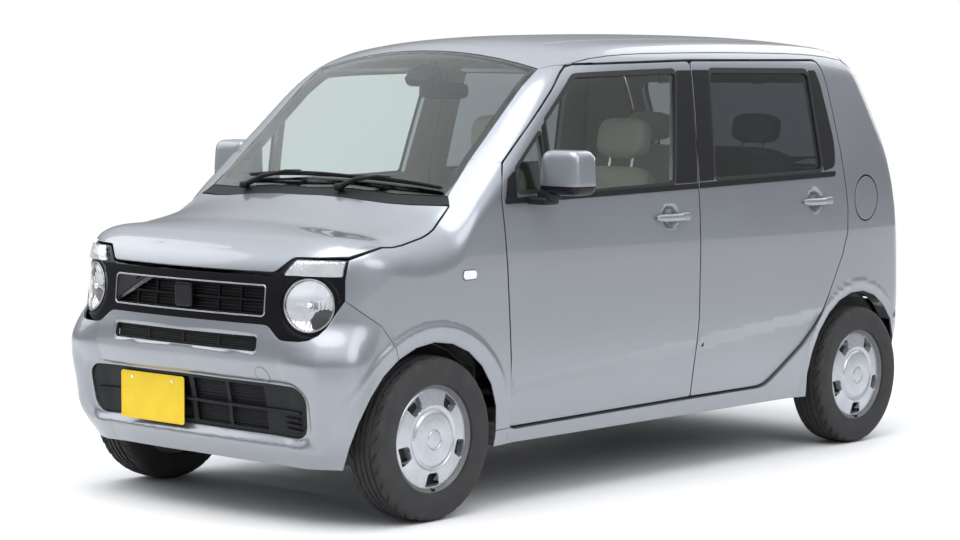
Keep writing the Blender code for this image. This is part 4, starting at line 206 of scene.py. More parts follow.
BONNET_SIDE_SHARES = (
    (0.8515, -0.3063, 0), (0.8976, -0.3476, 0.400), (0.9139, -0.4006, 0.300),
    (0.8678, -0.4433, 0),
)
SCREEN_FOOT_SHARES = ((0.0000, -0.3216, 0), (0.5424, -0.3137, 0.800), (0.8081, -0.2984, 0))
SCREEN_SIDE_SHARES = ((0.8081, -0.2984, 0), (0.7783, -0.2586, 0), (0.7485, -0.1464, 0))
SCREEN_HEAD_SHARES = ((0.0000, -0.1479, 0), (0.7485, -0.1464, 0))
ROOF_SIDE_SHARES = ((0.7485, -0.1464, 0), (0.8190, -0.1237, 0.100), (0.8190, 0.3918, 0))
ROOF_REAR_SHARES = ((0.8190, 0.3918, 0), (0.7322, 0.3962, 0.100), (0.0000, 0.3982, 0))
GATE_HEAD_SHARES = ((0.8190, 0.9577, 0), (0.8217, 0.9063, 0.100), (0.8339, 0.8218, 0))
GATE_LAMP_SHARES = ((0.8339, 0.8218, 0), (0.8651, 0.5559, 0))
GATE_FOOT_SHARES = ((0.8651, 0.5559, 0), (0.8678, 0.3384, 0))
GATE_SILL_SHARES = ((0.0000, 0.3360, 0), (0.8678, 0.3384, 0))
TAIL_LAMP_SHARES = (
    (0.8339, 0.8218, 0), (0.8705, 0.8187, 0.020), (0.9329, 0.5589, 0.030),
    (0.8651, 0.5559, 0),
)
REAR_SCREEN_SHARES = ((0.7593, 0.6707), (0.7119, 0.8943))
TAIL_CORNER_SHARES = ((0.8678, 0.3384, 0), (0.9112, 0.3233, 0))
REAR_BUMPER_FOOT_SHARE = 0.1450
A_DOOR_SPOT_SHARES = (-0.2451, 0.7190)
DOOR_FOOT_SPOT_SHARES = (-0.2371, 0.1650)
SILL_FRONT_SPOT_SHARES = (0.0589, 0.1704)
SILL_REAR_SPOT_SHARES = (0.0751, 0.1704)
HEAD_FRONT_SPOT_SHARES = (0.0751, 0.9360)
HEAD_REAR_SPOT_SHARES = (0.0943, 0.9360)
SILL_RISE_SHARE = 0.1994
A_SEAM_SPOT_SHARES = (0.7783, -0.2586)
RAY_STEPS = 30
PANEL_STEP = 0.110
ARC_STEP = math.radians(30)
ARCH_STEP = math.radians(15)


def smooth_curve(rows, at):
    """The value at each place, on a monotone cubic through the rows."""
    places, values = np.array(rows, float).T
    chords = np.diff(values) / np.diff(places)
    slopes = np.concatenate([chords[:1], (chords[:-1] + chords[1:]) / 2, chords[-1:]])
    turning = chords[:-1] * chords[1:] <= 0
    slopes[1:-1][turning] = 0
    limit = 3 * np.minimum(np.abs(np.append(chords[:1], chords)), np.abs(np.append(chords, chords[-1:])))
    slopes = np.clip(slopes, -limit, limit)
    at = np.clip(at, places[0], places[-1])
    cell = np.clip(np.searchsorted(places, at, side="right") - 1, 0, len(chords) - 1)
    span = places[cell + 1] - places[cell]
    t = (at - places[cell]) / span
    rise, start, end = t * t * (3 - 2 * t), t * (1 - t) ** 2, t * t * (t - 1)
    return (
        values[cell] * (1 - rise) + values[cell + 1] * rise
        + span * (slopes[cell] * start + slopes[cell + 1] * end)
    )


def smooth_max(a, b, width):
    """The larger of two fields, rounded where they meet over the given width."""
    overlap = np.maximum(width - np.abs(a - b), 0) / width
    return np.maximum(a, b) + overlap * overlap * width / 4


def ease(low, high, at):
    """A smooth step from 0 at low to 1 at high."""
    t = np.clip((at - low) / (high - low), 0, 1)
    return t * t * (3 - 2 * t)


def flare_at(y, z):
    """How far the arch bands stand out of the side."""
    front = np.hypot(y - FRONT_AXLE_Y, z - AXLE_Z)
    rear = np.hypot(y - REAR_AXLE_Y, z - AXLE_Z)
    return FLARE * (1 - ease(FLARE_IN, FLARE_OUT, np.minimum(front, rear)))


def side_of(y, z, flared=True):
    """Half the body's width at a place along it and a height."""
    half_width = HALF_WIDTH * smooth_curve(SECTION_SHARES, z / HEIGHT) * smooth_curve(PLAN_SHARES,
                                                                                      y / LENGTH)
    return half_width - FLARE + (flare_at(y, z) if flared else 0)


def top_of(x, y):
    """The height of the body's top at a place on it."""
    crown = HEIGHT * smooth_curve(CROWN_SHARES, y / LENGTH)
    return HEIGHT * smooth_curve(CENTRE_SHARES, y / LENGTH) - crown * (x / HALF_WIDTH) ** 2


def form(points, flared=True):
    """Below zero inside the body form, zero on it and above zero outside."""
    x, y, z = np.abs(points[..., 0]), points[..., 1], points[..., 2]
    side = x - side_of(y, z, flared)
    front = LENGTH * smooth_curve(NOSE_SHARES, z / HEIGHT) + FRONT_BOW * x * x / HALF_WIDTH - y
    rear = y - LENGTH * smooth_curve(TAIL_SHARES, z / HEIGHT) + REAR_BOW * x * x / HALF_WIDTH
    around = smooth_max(smooth_max(side, front, NOSE_ROUND), rear, TAIL_ROUND)
    shoulder = HALF_WIDTH * smooth_curve(SHOULDER_SHARES, y / LENGTH)
    return smooth_max(around, z - top_of(x, y), shoulder)


def normals_at(points):
    """The outward direction of the body form at each point, leaving out the arch bands."""
    nudge = HALF_WIDTH * 1e-4
    slopes = [form(points + nudge * axis, False) - form(points - nudge * axis, False) for axis in np.eye(3)]
    slopes = np.stack(slopes, axis=-1)
    return slopes / np.linalg.norm(slopes, axis=-1, keepdims=True)


def reach(origins, directions):
    """Where rays that start inside the body form leave it."""
    near = np.zeros(len(origins))
    far = np.full(len(origins), LENGTH)
    for _ in range(RAY_STEPS):
        middle = (near + far) / 2
        inside = form(origins + directions * middle[:, None]) < 0
        near, far = np.where(inside, middle, near), np.where(inside, far, middle)
    return origins + directions * near[:, None]


def columns(*values):
    """Values side by side as the columns of one array."""
    return np.stack(np.broadcast_arrays(*values), axis=-1).astype(float)


class SideChart:
    """The left side and its corners: along the car, then round it from a spine inside the body."""

    @staticmethod
    def rays(flat):
        y, lean = flat[:, 0], flat[:, 1] / HALF_WIDTH
        spine = np.clip(y, FAN_FRONT_Y, FAN_REAR_Y)
        turn = (y - spine) / HALF_WIDTH
        level = np.cos(lean)
        return columns(0, spine, SPINE_Z), columns(np.cos(turn) * level, np.sin(turn) * level, np.sin(lean))

    @staticmethod
    def flatten(points):
        x, y, z = points.T
        spine = np.clip(y, FAN_FRONT_Y, FAN_REAR_Y)
        away = np.hypot(x, y - spine)
        turn = np.arctan2(y - spine, x)
        return columns(spine + turn * HALF_WIDTH, np.arctan2(z - SPINE_Z, away) * HALF_WIDTH)


class TopChart:
    """Bonnet, screen and roof, seen from above."""

    @staticmethod
    def rays(flat):
        return columns(flat[:, 0], flat[:, 1], SPINE_Z), columns(np.zeros(len(flat)), 0, 1)

    @staticmethod
    def flatten(points):
        return points[:, :2]


class EndChart:
    """The nose or the tail, fanned out from a point inside the body."""

    def __init__(self, fan_y, facing):
        self.fan_y, self.facing = fan_y, facing

    def rays(self, flat):
        turn, lean = flat.T / HALF_WIDTH
        level = np.cos(lean)
        ahead = self.facing * np.cos(turn) * level
        return columns(0, self.fan_y, np.full(len(flat), SPINE_Z)), columns(np.sin(turn) * level, ahead,
                                                                            np.sin(lean))

    def flatten(self, points):
        x, y, z = points.T
        ahead = self.facing * (y - self.fan_y)
        return columns(np.arctan2(x, ahead), np.arctan2(z - SPINE_Z, np.hypot(x, ahead))) * HALF_WIDTH


NOSE = EndChart(FAN_FRONT_Y, -1)
TAIL = EndChart(FAN_REAR_Y, 1)


def square_to(view, flat):
    """The points of the body form under points drawn square to a side, end or top."""
    flat = np.array(flat, float)
    u, v = flat.T
    if view == "side":
        return reach(columns(0, u, v), columns(np.ones(len(u)), 0, 0))
    if view == "top":
        return reach(columns(u, v, SPINE_Z), columns(np.zeros(len(u)), 0, 1))
    facing = -1 if view == "nose" else 1
    start = FAN_FRONT_Y if view == "nose" else FAN_REAR_Y
    return reach(columns(u, start, v), columns(np.zeros(len(u)), facing, 0))


VIEW_SIZES = {
    "side": (LENGTH, HEIGHT), "top": (HALF_WIDTH, LENGTH), "nose": (HALF_WIDTH, HEIGHT),
    "tail": (HALF_WIDTH, HEIGHT),
}


def filleted(corners, closed):
    """The corners, each (a, b, radius), with its round as an arc."""
    path = []
    count = len(corners)
    for index, (a, b, radius) in enumerate(corners):
        here = Vector((a, b))
        if radius == 0 or (not closed and index in (0, count - 1)):
            path.append(here)
            continue
        before = Vector(corners[index - 1][:2]) - here
        after = Vector(corners[(index + 1) % count][:2]) - here
        half = before.angle(after) / 2
        back = min(radius / math.tan(half), before.length * 0.49, after.length * 0.49)
        radius = back * math.tan(half)
        centre = here + (before.normalized() + after.normalized()).normalized() * radius / math.sin(half)
        start, end = here + before.normalized() * back - centre, here + after.normalized() * back - centre
        sweep = start.angle_signed(end)
        steps = max(2, math.ceil(abs(sweep) / ARC_STEP))
        for step in range(steps + 1):
            path.append(centre + Matrix.Rotation(-sweep * step / steps, 2) @ start)
    return path


def spaced(path, step, closed=False):
    """The same path with no stretch longer than the step."""
    path = [Vector(point) for point in path]
    spots = []
    ends = path[1:] + path[:1] if closed else path[1:]
    for start, end in zip(path, ends):
        parts = max(1, math.ceil((end - start).length / step))
        spots += [start.lerp(end, part / parts) for part in range(parts)]
    return spots if closed else spots + [path[-1]]


def drawn(view, shares, closed=False, step=PANEL_STEP):
    """A seam or outline on the body form, from its corners as shares."""
    across, up = VIEW_SIZES[view]
    corners = [(row[0] * across, row[1] * up, row[2] if len(row) > 2 else 0) for row in shares]
    return square_to(view, spaced(filleted(corners, closed), step, closed))


def mirrored(points):
    """The same points on the other side of the car."""
    return points * np.array((-1, 1, 1))


def inset(flat, gaps):
    """The closed outline moved inwards, each of its stretches by its own gap."""
    ahead = np.roll(flat, -1, axis=0) - flat
    ahead /= np.linalg.norm(ahead, axis=1, keepdims=True)
    area = np.sum(flat[:, 0] * np.roll(flat[:, 1], -1) - flat[:, 1] * np.roll(flat[:, 0], -1))
    inward = np.sign(area) * columns(-ahead[:, 1], ahead[:, 0])
    before, gaps_before = np.roll(inward, 1, axis=0), np.roll(gaps, 1)
    moved = []
    for point, first, second, gap, next_gap in zip(flat, before, inward, gaps_before, gaps):
        cross = first[0] * second[1] - first[1] * second[0]
        if abs(cross) < math.sin(ARC_STEP / 4):
            middle = (first + second) / np.linalg.norm(first + second)
            moved.append(point + middle * (gap + next_gap) / 2)
        else:
            across = (gap * second[1] - next_gap * first[1]) / cross
            up = (next_gap * first[0] - gap * second[0]) / cross
            moved.append(point + np.array((across, up)))
    return np.array(moved)


def outline_of(chart, stretches):
    """A closed outline in a chart, from (points, gap) stretches that meet end to end."""
    flat, gaps = [], []
    for points, gap in stretches:
        laid = chart.flatten(points)
        if flat and np.allclose(flat[-1], laid[0], atol=SEAM_GAP):
            laid, points = laid[1:], points[1:]
            gaps[-1] = gap
        flat += list(laid)
        gaps += [gap] * len(laid)
    if np.allclose(flat[0], flat[-1], atol=SEAM_GAP):
        flat, gaps = flat[:-1], gaps[:-1]
    return inset(np.array(flat), np.array(gaps))


def inside(outline, spots):
    """Which spots lie inside a closed outline."""
    hits = np.zeros(len(spots), bool)
    for (a, b), (c, d) in zip(outline, np.roll(outline, -1, axis=0)):
        crosses = (b > spots[:, 1]) != (d > spots[:, 1])
        with np.errstate(divide="ignore", invalid="ignore"):
            hits ^= crosses & (spots[:, 0] < (c - a) * (spots[:, 1] - b) / (d - b) + a)
    return hits


def away_from(outline, spots):
    """Each spot's distance from a closed outline."""
    best = np.full(len(spots), np.inf)
    for start, end in zip(outline, np.roll(outline, -1, axis=0)):
        along = end - start
        share = np.clip((spots - start) @ along / (along @ along), 0, 1)
        best = np.minimum(best, np.linalg.norm(spots - start - share[:, None] * along, axis=1))
    return best


def flat_mesh(outline, holes, step):
    """Points and triangles that fill an outline round its holes."""
    low, high = outline.min(axis=0), outline.max(axis=0)
    counts = np.ceil((high - low) / step).astype(int) + 1
    grid = np.stack(np.meshgrid(*[np.linspace(a, b, n) for a, b, n in zip(low, high, counts)]),
                    -1).reshape(-1, 2)
    loops = [outline, *holes]
    keep = inside(outline, grid)
    for loop in loops:
        keep &= away_from(loop, grid) > step * 0.4
    for hole in holes:
        keep &= ~inside(hole, grid)
    spots, edges = [], []
    for loop in loops:
        first = len(spots)
        spots += list(loop)
        edges += [(first + i, first + (i + 1) % len(loop)) for i in range(len(loop))]
    spots += list(grid[keep])
    found = delaunay_2d_cdt([Vector(spot) for spot in spots], edges, [], 0, SEAT / 10)
    points = np.array([tuple(point) for point in found[0]])
    faces = np.array([tuple(face) for face in found[2]])
    walls = {tuple(sorted(edge)) for edge, origin in zip(found[1], found[4]) if origin}
    faces = faces[filled(points, faces, walls, outline, holes)]
    used = np.unique(faces)
    index = np.full(len(points), -1)
    index[used] = np.arange(len(used))
    return points[used], index[faces]


def filled(points, faces, walls, outline, holes):
    """Which triangles fill the outline. Those with no wall between them stay or go together."""
    neighbours = {}
    for index, face in enumerate(faces):
        for start, end in zip(face, np.roll(face, -1)):
            neighbours.setdefault(tuple(sorted((int(start), int(end)))), []).append(index)
    a, b, c = (points[faces[:, i]] for i in range(3))
    sizes = np.abs((b[:, 0] - a[:, 0]) * (c[:, 1] - a[:, 1]) - (b[:, 1] - a[:, 1]) * (c[:, 0] - a[:, 0]))
    middles = (a + b + c) / 3
    keep = np.zeros(len(faces), bool)
    seen = np.zeros(len(faces), bool)
    for first in np.argsort(-sizes):
        if seen[first]:
            continue
        stays = inside(outline, middles[[first]])[0]
        stays &= not any(inside(hole, middles[[first]])[0] for hole in holes)
        front = [first]
        seen[first] = True
        while front:
            index = front.pop()
            keep[index] = stays
            face = faces[index]
            for start, end in zip(face, np.roll(face, -1)):
                edge = tuple(sorted((int(start), int(end))))
                for other in [] if edge in walls else neighbours[edge]:
                    if not seen[other]:
                        seen[other] = True
                        front.append(other)
    return keep


def rim_edges(faces):
    """The edges that only one triangle has, in its own direction."""
    edges = np.concatenate([faces[:, [0, 1]], faces[:, [1, 2]], faces[:, [2, 0]]])
    seen = {tuple(edge) for edge in edges}
    return [(a, b) for a, b in seen if (b, a) not in seen]


SHUT, GATE_SHUT, SEAM, FREE = SHUT_GAP / 2, GATE_GAP / 2, SEAM_GAP / 2, 0.0
BUMPER_ARCH_ANGLE = math.radians(121)
TAIL_ARCH_ANGLE = math.radians(37)


def door_wall_at(points):
    """Doors are deep below the glass and thin in their window frames."""
    share = ease(HEIGHT * WAIST_LOW_SHARE, HEIGHT * WAIST_HIGH_SHARE, points[:, 2])
    return DOOR_WALL + (SASH_WALL - DOOR_WALL) * share


def arch(centre_y, radius, start, end):
    """A wheel arch's edge on the left side, between two angles from the rear level."""
    steps = max(2, round(abs(end - start) / ARCH_STEP))
    turns = np.linspace(start, end, steps + 1)
    return square_to("side", columns(centre_y + radius * np.cos(turns), AXLE_Z + radius * np.sin(turns)))


def foot_angle(level, radius, forward):
    """The angle at which an arch comes down to a level, on its front or rear side."""
    angle = math.asin((level - AXLE_Z) / radius)
    return math.pi - angle if forward else angle


def tied(seam, start=None, end=None):
    """The seam with its ends on points that other seams share."""
    seam = seam.copy()
    if start is not None:
        seam[0] = start
    if end is not None:
        seam[-1] = end
    return seam


def line(chart, start, end, step):
    """A straight stretch in a chart between two points of the body form."""
    ends = chart.flatten(np.array([start, end]))
    flat = np.array(spaced(ends, step))
    return tied(reach(*chart.rays(flat)), start, end)


def closed_box(view, low_high, radius, step):
    """A rounded window symmetric about the middle line, from its two half-width and height shares."""
    (low_x, low_z), (high_x, high_z) = low_high
    rows = ((-low_x, low_z, radius), (low_x, low_z, radius), (high_x, high_z, radius),
            (-high_x, high_z, radius))
    return drawn(view, rows, closed=True, step=step)


def nearest(points, target):
    """The number of the point that lies closest to a target."""
    return int(np.argmin(np.linalg.norm(points - target, axis=1)))


def between(loop, start, end):
    """The stretch of a closed loop from one of its points to another, in the loop's own direction."""
    first, last = nearest(loop, start), nearest(loop, end)
    count = (last - first) % len(loop) + 1
    return loop[[(first + i) % len(loop) for i in range(count)]]


def disc(chart, centre, radius, sides):
    """A round outline in a chart about a point of the body form."""
    flat = chart.flatten(np.array([centre]))[0]
    turns = np.arange(sides) * math.tau / sides
    return reach(*chart.rays(flat + radius * columns(np.cos(turns), np.sin(turns))))


def level_round(fan_y, facing, start, step):
    """A level stretch round an end of the body, from a point at its side to the middle line."""
    level = start[2]
    turn = math.atan2(start[0], facing * (start[1] - fan_y))
    turns = np.linspace(turn, 0, math.ceil(turn * HALF_WIDTH / step) + 1)
    rays = columns(0, fan_y, np.full(len(turns), level)), columns(np.sin(turns), facing * np.cos(turns), 0)
    return reach(*rays)


def side_spot(shares):
    """The place on the body's side that two shares of length and height give."""
    return square_to("side", [(LENGTH * shares[0], HEIGHT * shares[1])])[0]


class Seams:
    """Every seam of the left half, drawn once, with its ends on shared points."""

    def __init__(self, step=PANEL_STEP):
        self.front_door = drawn("side", FRONT_DOOR_SHARES, True, step)
        self.rear_door = drawn("side", REAR_DOOR_SHARES, True, step)
        self.front_pane = drawn("side", FRONT_PANE_SHARES, True, step)
        self.quarter_pane = drawn("side", QUARTER_PANE_SHARES, True, step)
        self.rear_pane = drawn("side", REAR_PANE_SHARES, True, step)
        self.lip = drawn("nose", LIP_SHARES, step=step)
        self.lamp = drawn("nose", LAMP_SEAM_SHARES, step=step)
        self.mask_foot = drawn("nose", MASK_FOOT_SHARES, step=step)
        self.bonnet_rear = drawn("top", BONNET_REAR_SHARES, step=step)
        self.bonnet_side = tied(drawn("top", BONNET_SIDE_SHARES, step=step), end=self.lip[-1])
        self.screen_foot = drawn("top", SCREEN_FOOT_SHARES, step=step)
        self.screen_side = drawn("top", SCREEN_SIDE_SHARES, step=step)
        self.screen_head = drawn("top", SCREEN_HEAD_SHARES, step=step)
        self.roof_side = drawn("top", ROOF_SIDE_SHARES, step=step)
        self.roof_rear = drawn("top", ROOF_REAR_SHARES, step=step)
        self.gate_head = tied(drawn("tail", GATE_HEAD_SHARES, step=step), start=self.roof_side[-1])
        self.gate_lamp = drawn("tail", GATE_LAMP_SHARES, step=step)
        self.gate_foot = drawn("tail", GATE_FOOT_SHARES, step=step)
        self.gate_sill = drawn("tail", GATE_SILL_SHARES, step=step)
        self.lamp_side = drawn("tail", TAIL_LAMP_SHARES, step=step)

        sill_top, sill_foot = HEIGHT * SILL_TOP_SHARE, HEIGHT * SILL_BOTTOM_SHARE
        bumper_foot, rear_foot = HEIGHT * BUMPER_FOOT_SHARE, HEIGHT * REAR_BUMPER_FOOT_SHARE
        front, rear = FRONT_ARCH_RADIUS, REAR_ARCH_RADIUS
        sill_angle = foot_angle(sill_top, front, False)
        self.sill_end = arch(FRONT_AXLE_Y, front, foot_angle(sill_foot, front, False), sill_angle)
        self.fender_arch = arch(FRONT_AXLE_Y, front, sill_angle, BUMPER_ARCH_ANGLE)
        nose_angle = foot_angle(bumper_foot, front, True)
        self.bumper_arch = arch(FRONT_AXLE_Y, front, BUMPER_ARCH_ANGLE, nose_angle)
        self.quarter_arch = arch(REAR_AXLE_Y, rear, TAIL_ARCH_ANGLE, foot_angle(sill_foot, rear, True))
        self.tail_arch = arch(REAR_AXLE_Y, rear, foot_angle(rear_foot, rear, False), TAIL_ARCH_ANGLE)
        self.sill_foot = line(SideChart, self.quarter_arch[-1], self.sill_end[0], step)

        self.bumper = drawn("side", BUMPER_SEAM_SHARES, step=step)
        self.bumper = tied(self.bumper, self.lamp[-1], self.fender_arch[-1])
        corner = drawn("tail", TAIL_CORNER_SHARES, step=step)
        self.tail = np.concatenate([corner, line(SideChart, corner[-1], self.tail_arch[-1], step)[1:]])

        a_spot = (HALF_WIDTH * A_SEAM_SPOT_SHARES[0], LENGTH * A_SEAM_SPOT_SHARES[1])
        a_foot = nearest(self.screen_side, square_to("top", [a_spot])[0])
        self.screen_low, self.screen_high = self.screen_side[: a_foot + 1], self.screen_side[a_foot:]
        a_door = self.front_door[nearest(self.front_door, side_spot(A_DOOR_SPOT_SHARES))]
        self.a_seam = line(SideChart, self.screen_high[0], a_door, step)
        door_foot = self.front_door[nearest(self.front_door, side_spot(DOOR_FOOT_SPOT_SHARES))]
        self.sill_top = line(SideChart, self.sill_end[-1], door_foot, step)
        self.cowl_side = line(TopChart, self.bonnet_rear[-1], self.screen_foot[-1], step)
        self.door_front = between(self.front_door, a_door, door_foot)
        self.opening = np.concatenate([
            between(self.front_door, door_foot, side_spot(SILL_FRONT_SPOT_SHARES)),
            between(self.rear_door, side_spot(SILL_REAR_SPOT_SHARES), side_spot(HEAD_REAR_SPOT_SHARES)),
            between(self.front_door, side_spot(HEAD_FRONT_SPOT_SHARES), a_door),
        ])
        self.bumper_foot = level_round(FAN_FRONT_Y, -1, self.bumper_arch[-1], step)
        self.rear_foot = level_round(FAN_REAR_Y, 1, self.tail_arch[0], step)


def back(seam):
    """A seam in the other direction."""
    return seam[::-1]


def body_wall_at(points):
    """The shell's thickness: the sill is the deepest."""
    share = ease(HEIGHT * SILL_TOP_SHARE, HEIGHT * SILL_RISE_SHARE, points[:, 2])
    return SILL_WALL + (BODY_WALL - SILL_WALL) * share


def shell_loop(s):
    """The outline of a body side: pillars, sill and rear quarter round both door openings."""
    return [
        (s.screen_high, SEAM), (s.roof_side, SEAM), (s.gate_head, GATE_SHUT), (s.lamp_side, SEAM),
        (s.gate_foot, GATE_SHUT), (s.tail, SEAM), (s.quarter_arch, FREE), (s.sill_foot, FREE),
        (s.sill_end, FREE), (s.sill_top, SEAM), (s.opening, SHUT), (back(s.a_seam), SEAM),
    ]


def whole(half):
    """A loop of left stretches that runs from the middle line back to it, with its right half added."""
    return list(half) + [(back(mirrored(points)), gap) for points, gap in back(list(half))]


# Materials, each from nodes, at real scale in metres


def shader(name, colour, rough=0.5, metal=0.0, **more):
    """A material with one principled shader, and the parts that other functions build on."""
    mat = bpy.data.materials.new(name)
    mat.use_nodes = True
    tree = mat.node_tree
    node = tree.nodes["Principled BSDF"]
    node.inputs["Base Color"].default_value = (*colour, 1)
    node.inputs["Roughness"].default_value = rough
    node.inputs["Metallic"].default_value = metal
    for key, value in more.items():
        node.inputs[key.replace("_", " ")].default_value = value
    return mat, tree, node


def noise(tree, scale, detail=2.0, rough=0.5, stretch=(1, 1, 1), kind="ShaderNodeTexNoise"):
    """A texture in object space, in features per metre."""
    spot = tree.nodes.new("ShaderNodeTexCoord")
    mapping = tree.nodes.new("ShaderNodeMapping")
    mapping.inputs["Scale"].default_value = stretch
    made = tree.nodes.new(kind)
    made.inputs["Scale"].default_value = scale
    if "Detail" in made.inputs:
        made.inputs["Detail"].default_value = detail
    if "Roughness" in made.inputs:
        made.inputs["Roughness"].default_value = rough
    tree.links.new(spot.outputs["Object"], mapping.inputs["Vector"])
    tree.links.new(mapping.outputs["Vector"], made.inputs["Vector"])
    return made


def spread(tree, source, low, high):
    """The texture's value carried from its middle range to a low and a high value."""
    node = tree.nodes.new("ShaderNodeMapRange")
    node.inputs["From Min"].default_value, node.inputs["From Max"].default_value = 0.3, 0.7
    node.inputs["To Min"].default_value, node.inputs["To Max"].default_value = low, high
    tree.links.new(source, node.inputs["Value"])
    return node.outputs["Result"]


def two_tone(tree, source, first, second, low=0.35, high=0.65):
    """A colour between two, by a texture's value."""
    ramp = tree.nodes.new("ShaderNodeValToRGB")
    ramp.color_ramp.elements[0].position, ramp.color_ramp.elements[1].position = low, high
    ramp.color_ramp.elements[0].color = (*first, 1)
    ramp.color_ramp.elements[1].color = (*second, 1)
    tree.links.new(source, ramp.inputs["Fac"])
    return ramp.outputs["Color"]


def bumped(tree, node, source, strength, distance=0.001, coat=False):
    """Fine relief on a shader or on its clear coat."""
    bump = tree.nodes.new("ShaderNodeBump")
    bump.inputs["Strength"].default_value = strength
    bump.inputs["Distance"].default_value = distance
    tree.links.new(source, bump.inputs["Height"])
    tree.links.new(bump.outputs["Normal"], node.inputs["Coat Normal" if coat else "Normal"])


def scaled(colour, by):
    """A colour made lighter or darker."""
    return tuple(min(1.0, c * by) for c in colour)


def car_paint():
    """Silver paint: fine flakes under a clear coat with a faint wave."""
    base = (0.275, 0.290, 0.318)
    mat, tree, node = shader("silver_paint", base, 0.36, 0.78, Coat_Weight=1.0, Coat_Roughness=0.035)
    flake = noise(tree, 2600, 0, kind="ShaderNodeTexVoronoi")
    soft = noise(tree, 2.5, 2)
    tree.links.new(two_tone(tree, flake.outputs["Color"], scaled(base, 0.86), scaled(base, 1.18)),
                   node.inputs["Base Color"])
    tree.links.new(spread(tree, soft.outputs["Fac"], 0.33, 0.39), node.inputs["Roughness"])
    bumped(tree, node, flake.outputs["Distance"], 0.05, 0.0002)
    bumped(tree, node, noise(tree, 90, 1).outputs["Fac"], 0.03, 0.0004, coat=True)
    return mat


def plastic(name, colour, rough, grain=900, depth=0.12, **more):
    """Plastic with a fine grain."""
    mat, tree, node = shader(name, colour, rough, **more)
    cells = noise(tree, grain, 3)
    tree.links.new(two_tone(tree, noise(tree, 12, 3).outputs["Fac"], scaled(colour, 0.96),
                            scaled(colour, 1.04)),
                   node.inputs["Base Color"])
    tree.links.new(spread(tree, cells.outputs["Fac"], rough * 0.9, min(1, rough * 1.12)),
                   node.inputs["Roughness"])
    bumped(tree, node, cells.outputs["Fac"], depth, 0.0004)
    return mat


def metal(name, colour, rough, grain=300, depth=0.05, metallic=1.0):
    """Bare, cast or bright metal with a fine grain."""
    mat, tree, node = shader(name, colour, rough, metallic)
    cells = noise(tree, grain, 3)
    tree.links.new(two_tone(tree, noise(tree, 20, 3).outputs["Fac"], scaled(colour, 0.93),
                            scaled(colour, 1.05)),
                   node.inputs["Base Color"])
    tree.links.new(spread(tree, cells.outputs["Fac"], rough * 0.85, min(1, rough * 1.2)),
                   node.inputs["Roughness"])
    bumped(tree, node, cells.outputs["Fac"], depth, 0.0003)
    return mat


def glassy(name, colour, rough=0.0, ior=1.45):
    """Clear or tinted glass."""
    mat, tree, node = shader(name, colour, rough, IOR=ior, Transmission_Weight=1.0)
    tree.links.new(spread(tree, noise(tree, 6, 2).outputs["Fac"], rough, rough + 0.008),
                   node.inputs["Roughness"])
    return mat


def cloth(name, colour, second, scale=420):
    """Woven cloth: two crossed sets of ribs, with a broad tone change."""
    mat, tree, node = shader(name, colour, 0.85, Sheen_Weight=0.35, Sheen_Roughness=0.45)
    warp = noise(tree, scale, 0, stretch=(1, 0.35, 1), kind="ShaderNodeTexVoronoi")
    tone = noise(tree, 35, 4)
    mixed = tree.nodes.new("ShaderNodeMix")
    mixed.data_type = "RGBA"
    mixed.inputs[0].default_value = 0.5
    tree.links.new(two_tone(tree, warp.outputs["Distance"], scaled(colour, 0.8), scaled(colour, 1.12)),
                   mixed.inputs[6])
    tree.links.new(two_tone(tree, tone.outputs["Fac"], colour, second), mixed.inputs[7])
    tree.links.new(mixed.outputs[2], node.inputs["Base Color"])
    bumped(tree, node, warp.outputs["Distance"], 0.5, 0.0008)
    return mat


def rubber_tyre():
    """Tyre rubber with a little dust."""
    mat, tree, node = shader("tyre_rubber", (0.018, 0.018, 0.020), 0.72)
    dust = noise(tree, 14, 4)
    grain = noise(tree, 500, 2)
    tree.links.new(two_tone(tree, dust.outputs["Fac"], (0.013, 0.013, 0.015), (0.032, 0.031, 0.031)),
                   node.inputs["Base Color"])
    tree.links.new(spread(tree, dust.outputs["Fac"], 0.62, 0.85), node.inputs["Roughness"])
    bumped(tree, node, grain.outputs["Fac"], 0.15, 0.0004)
    return mat


PAINT = car_paint()
BLACK = plastic("black_plastic", (0.012, 0.0125, 0.014), 0.5, Specular_IOR_Level=0.2)
GLOSS = plastic("gloss_black", (0.006, 0.006, 0.008), 0.08, 40, 0.01, Specular_IOR_Level=0.22)
SASH = plastic("sash_black", (0.012, 0.012, 0.014), 0.32, 500, 0.05, Specular_IOR_Level=0.25)
RUBBER_SEAL = plastic("seal_rubber", (0.014, 0.014, 0.015), 0.7, 700, 0.1)
CHROME = metal("bright_chrome", (0.80, 0.81, 0.83), 0.07, 60, 0.01)
REFLECTOR = metal("lamp_reflector", (0.60, 0.61, 0.63), 0.13, 25, 0.02)
WHEEL_SILVER = metal("wheel_silver", (0.50, 0.52, 0.55), 0.30, 400, 0.04, 0.85)
STEEL = metal("dark_steel", (0.055, 0.056, 0.060), 0.55, 120, 0.15, 0.7)
CAST = metal("cast_iron", (0.16, 0.16, 0.165), 0.6, 220, 0.4, 0.7)
CLEAR_GLASS = glassy("window_glass", (0.66, 0.73, 0.71))
SCREEN_GLASS = glassy("screen_glass", (0.78, 0.85, 0.84))
DARK_GLASS = glassy("dark_glass", (0.20, 0.215, 0.23))
CLEAR_LENS = glassy("clear_lens", (0.97, 0.98, 0.99))
RED_LENS = glassy("red_lens", (0.62, 0.015, 0.02))
RED_SOLID = plastic("red_reflector", (0.42, 0.012, 0.014), 0.18, 260, 0.3)
MARKER = plastic("marker_lens", (0.72, 0.73, 0.74), 0.15, 240, 0.1)
BEIGE = plastic("beige_trim", (0.40, 0.37, 0.32), 0.65, 800, 0.25)
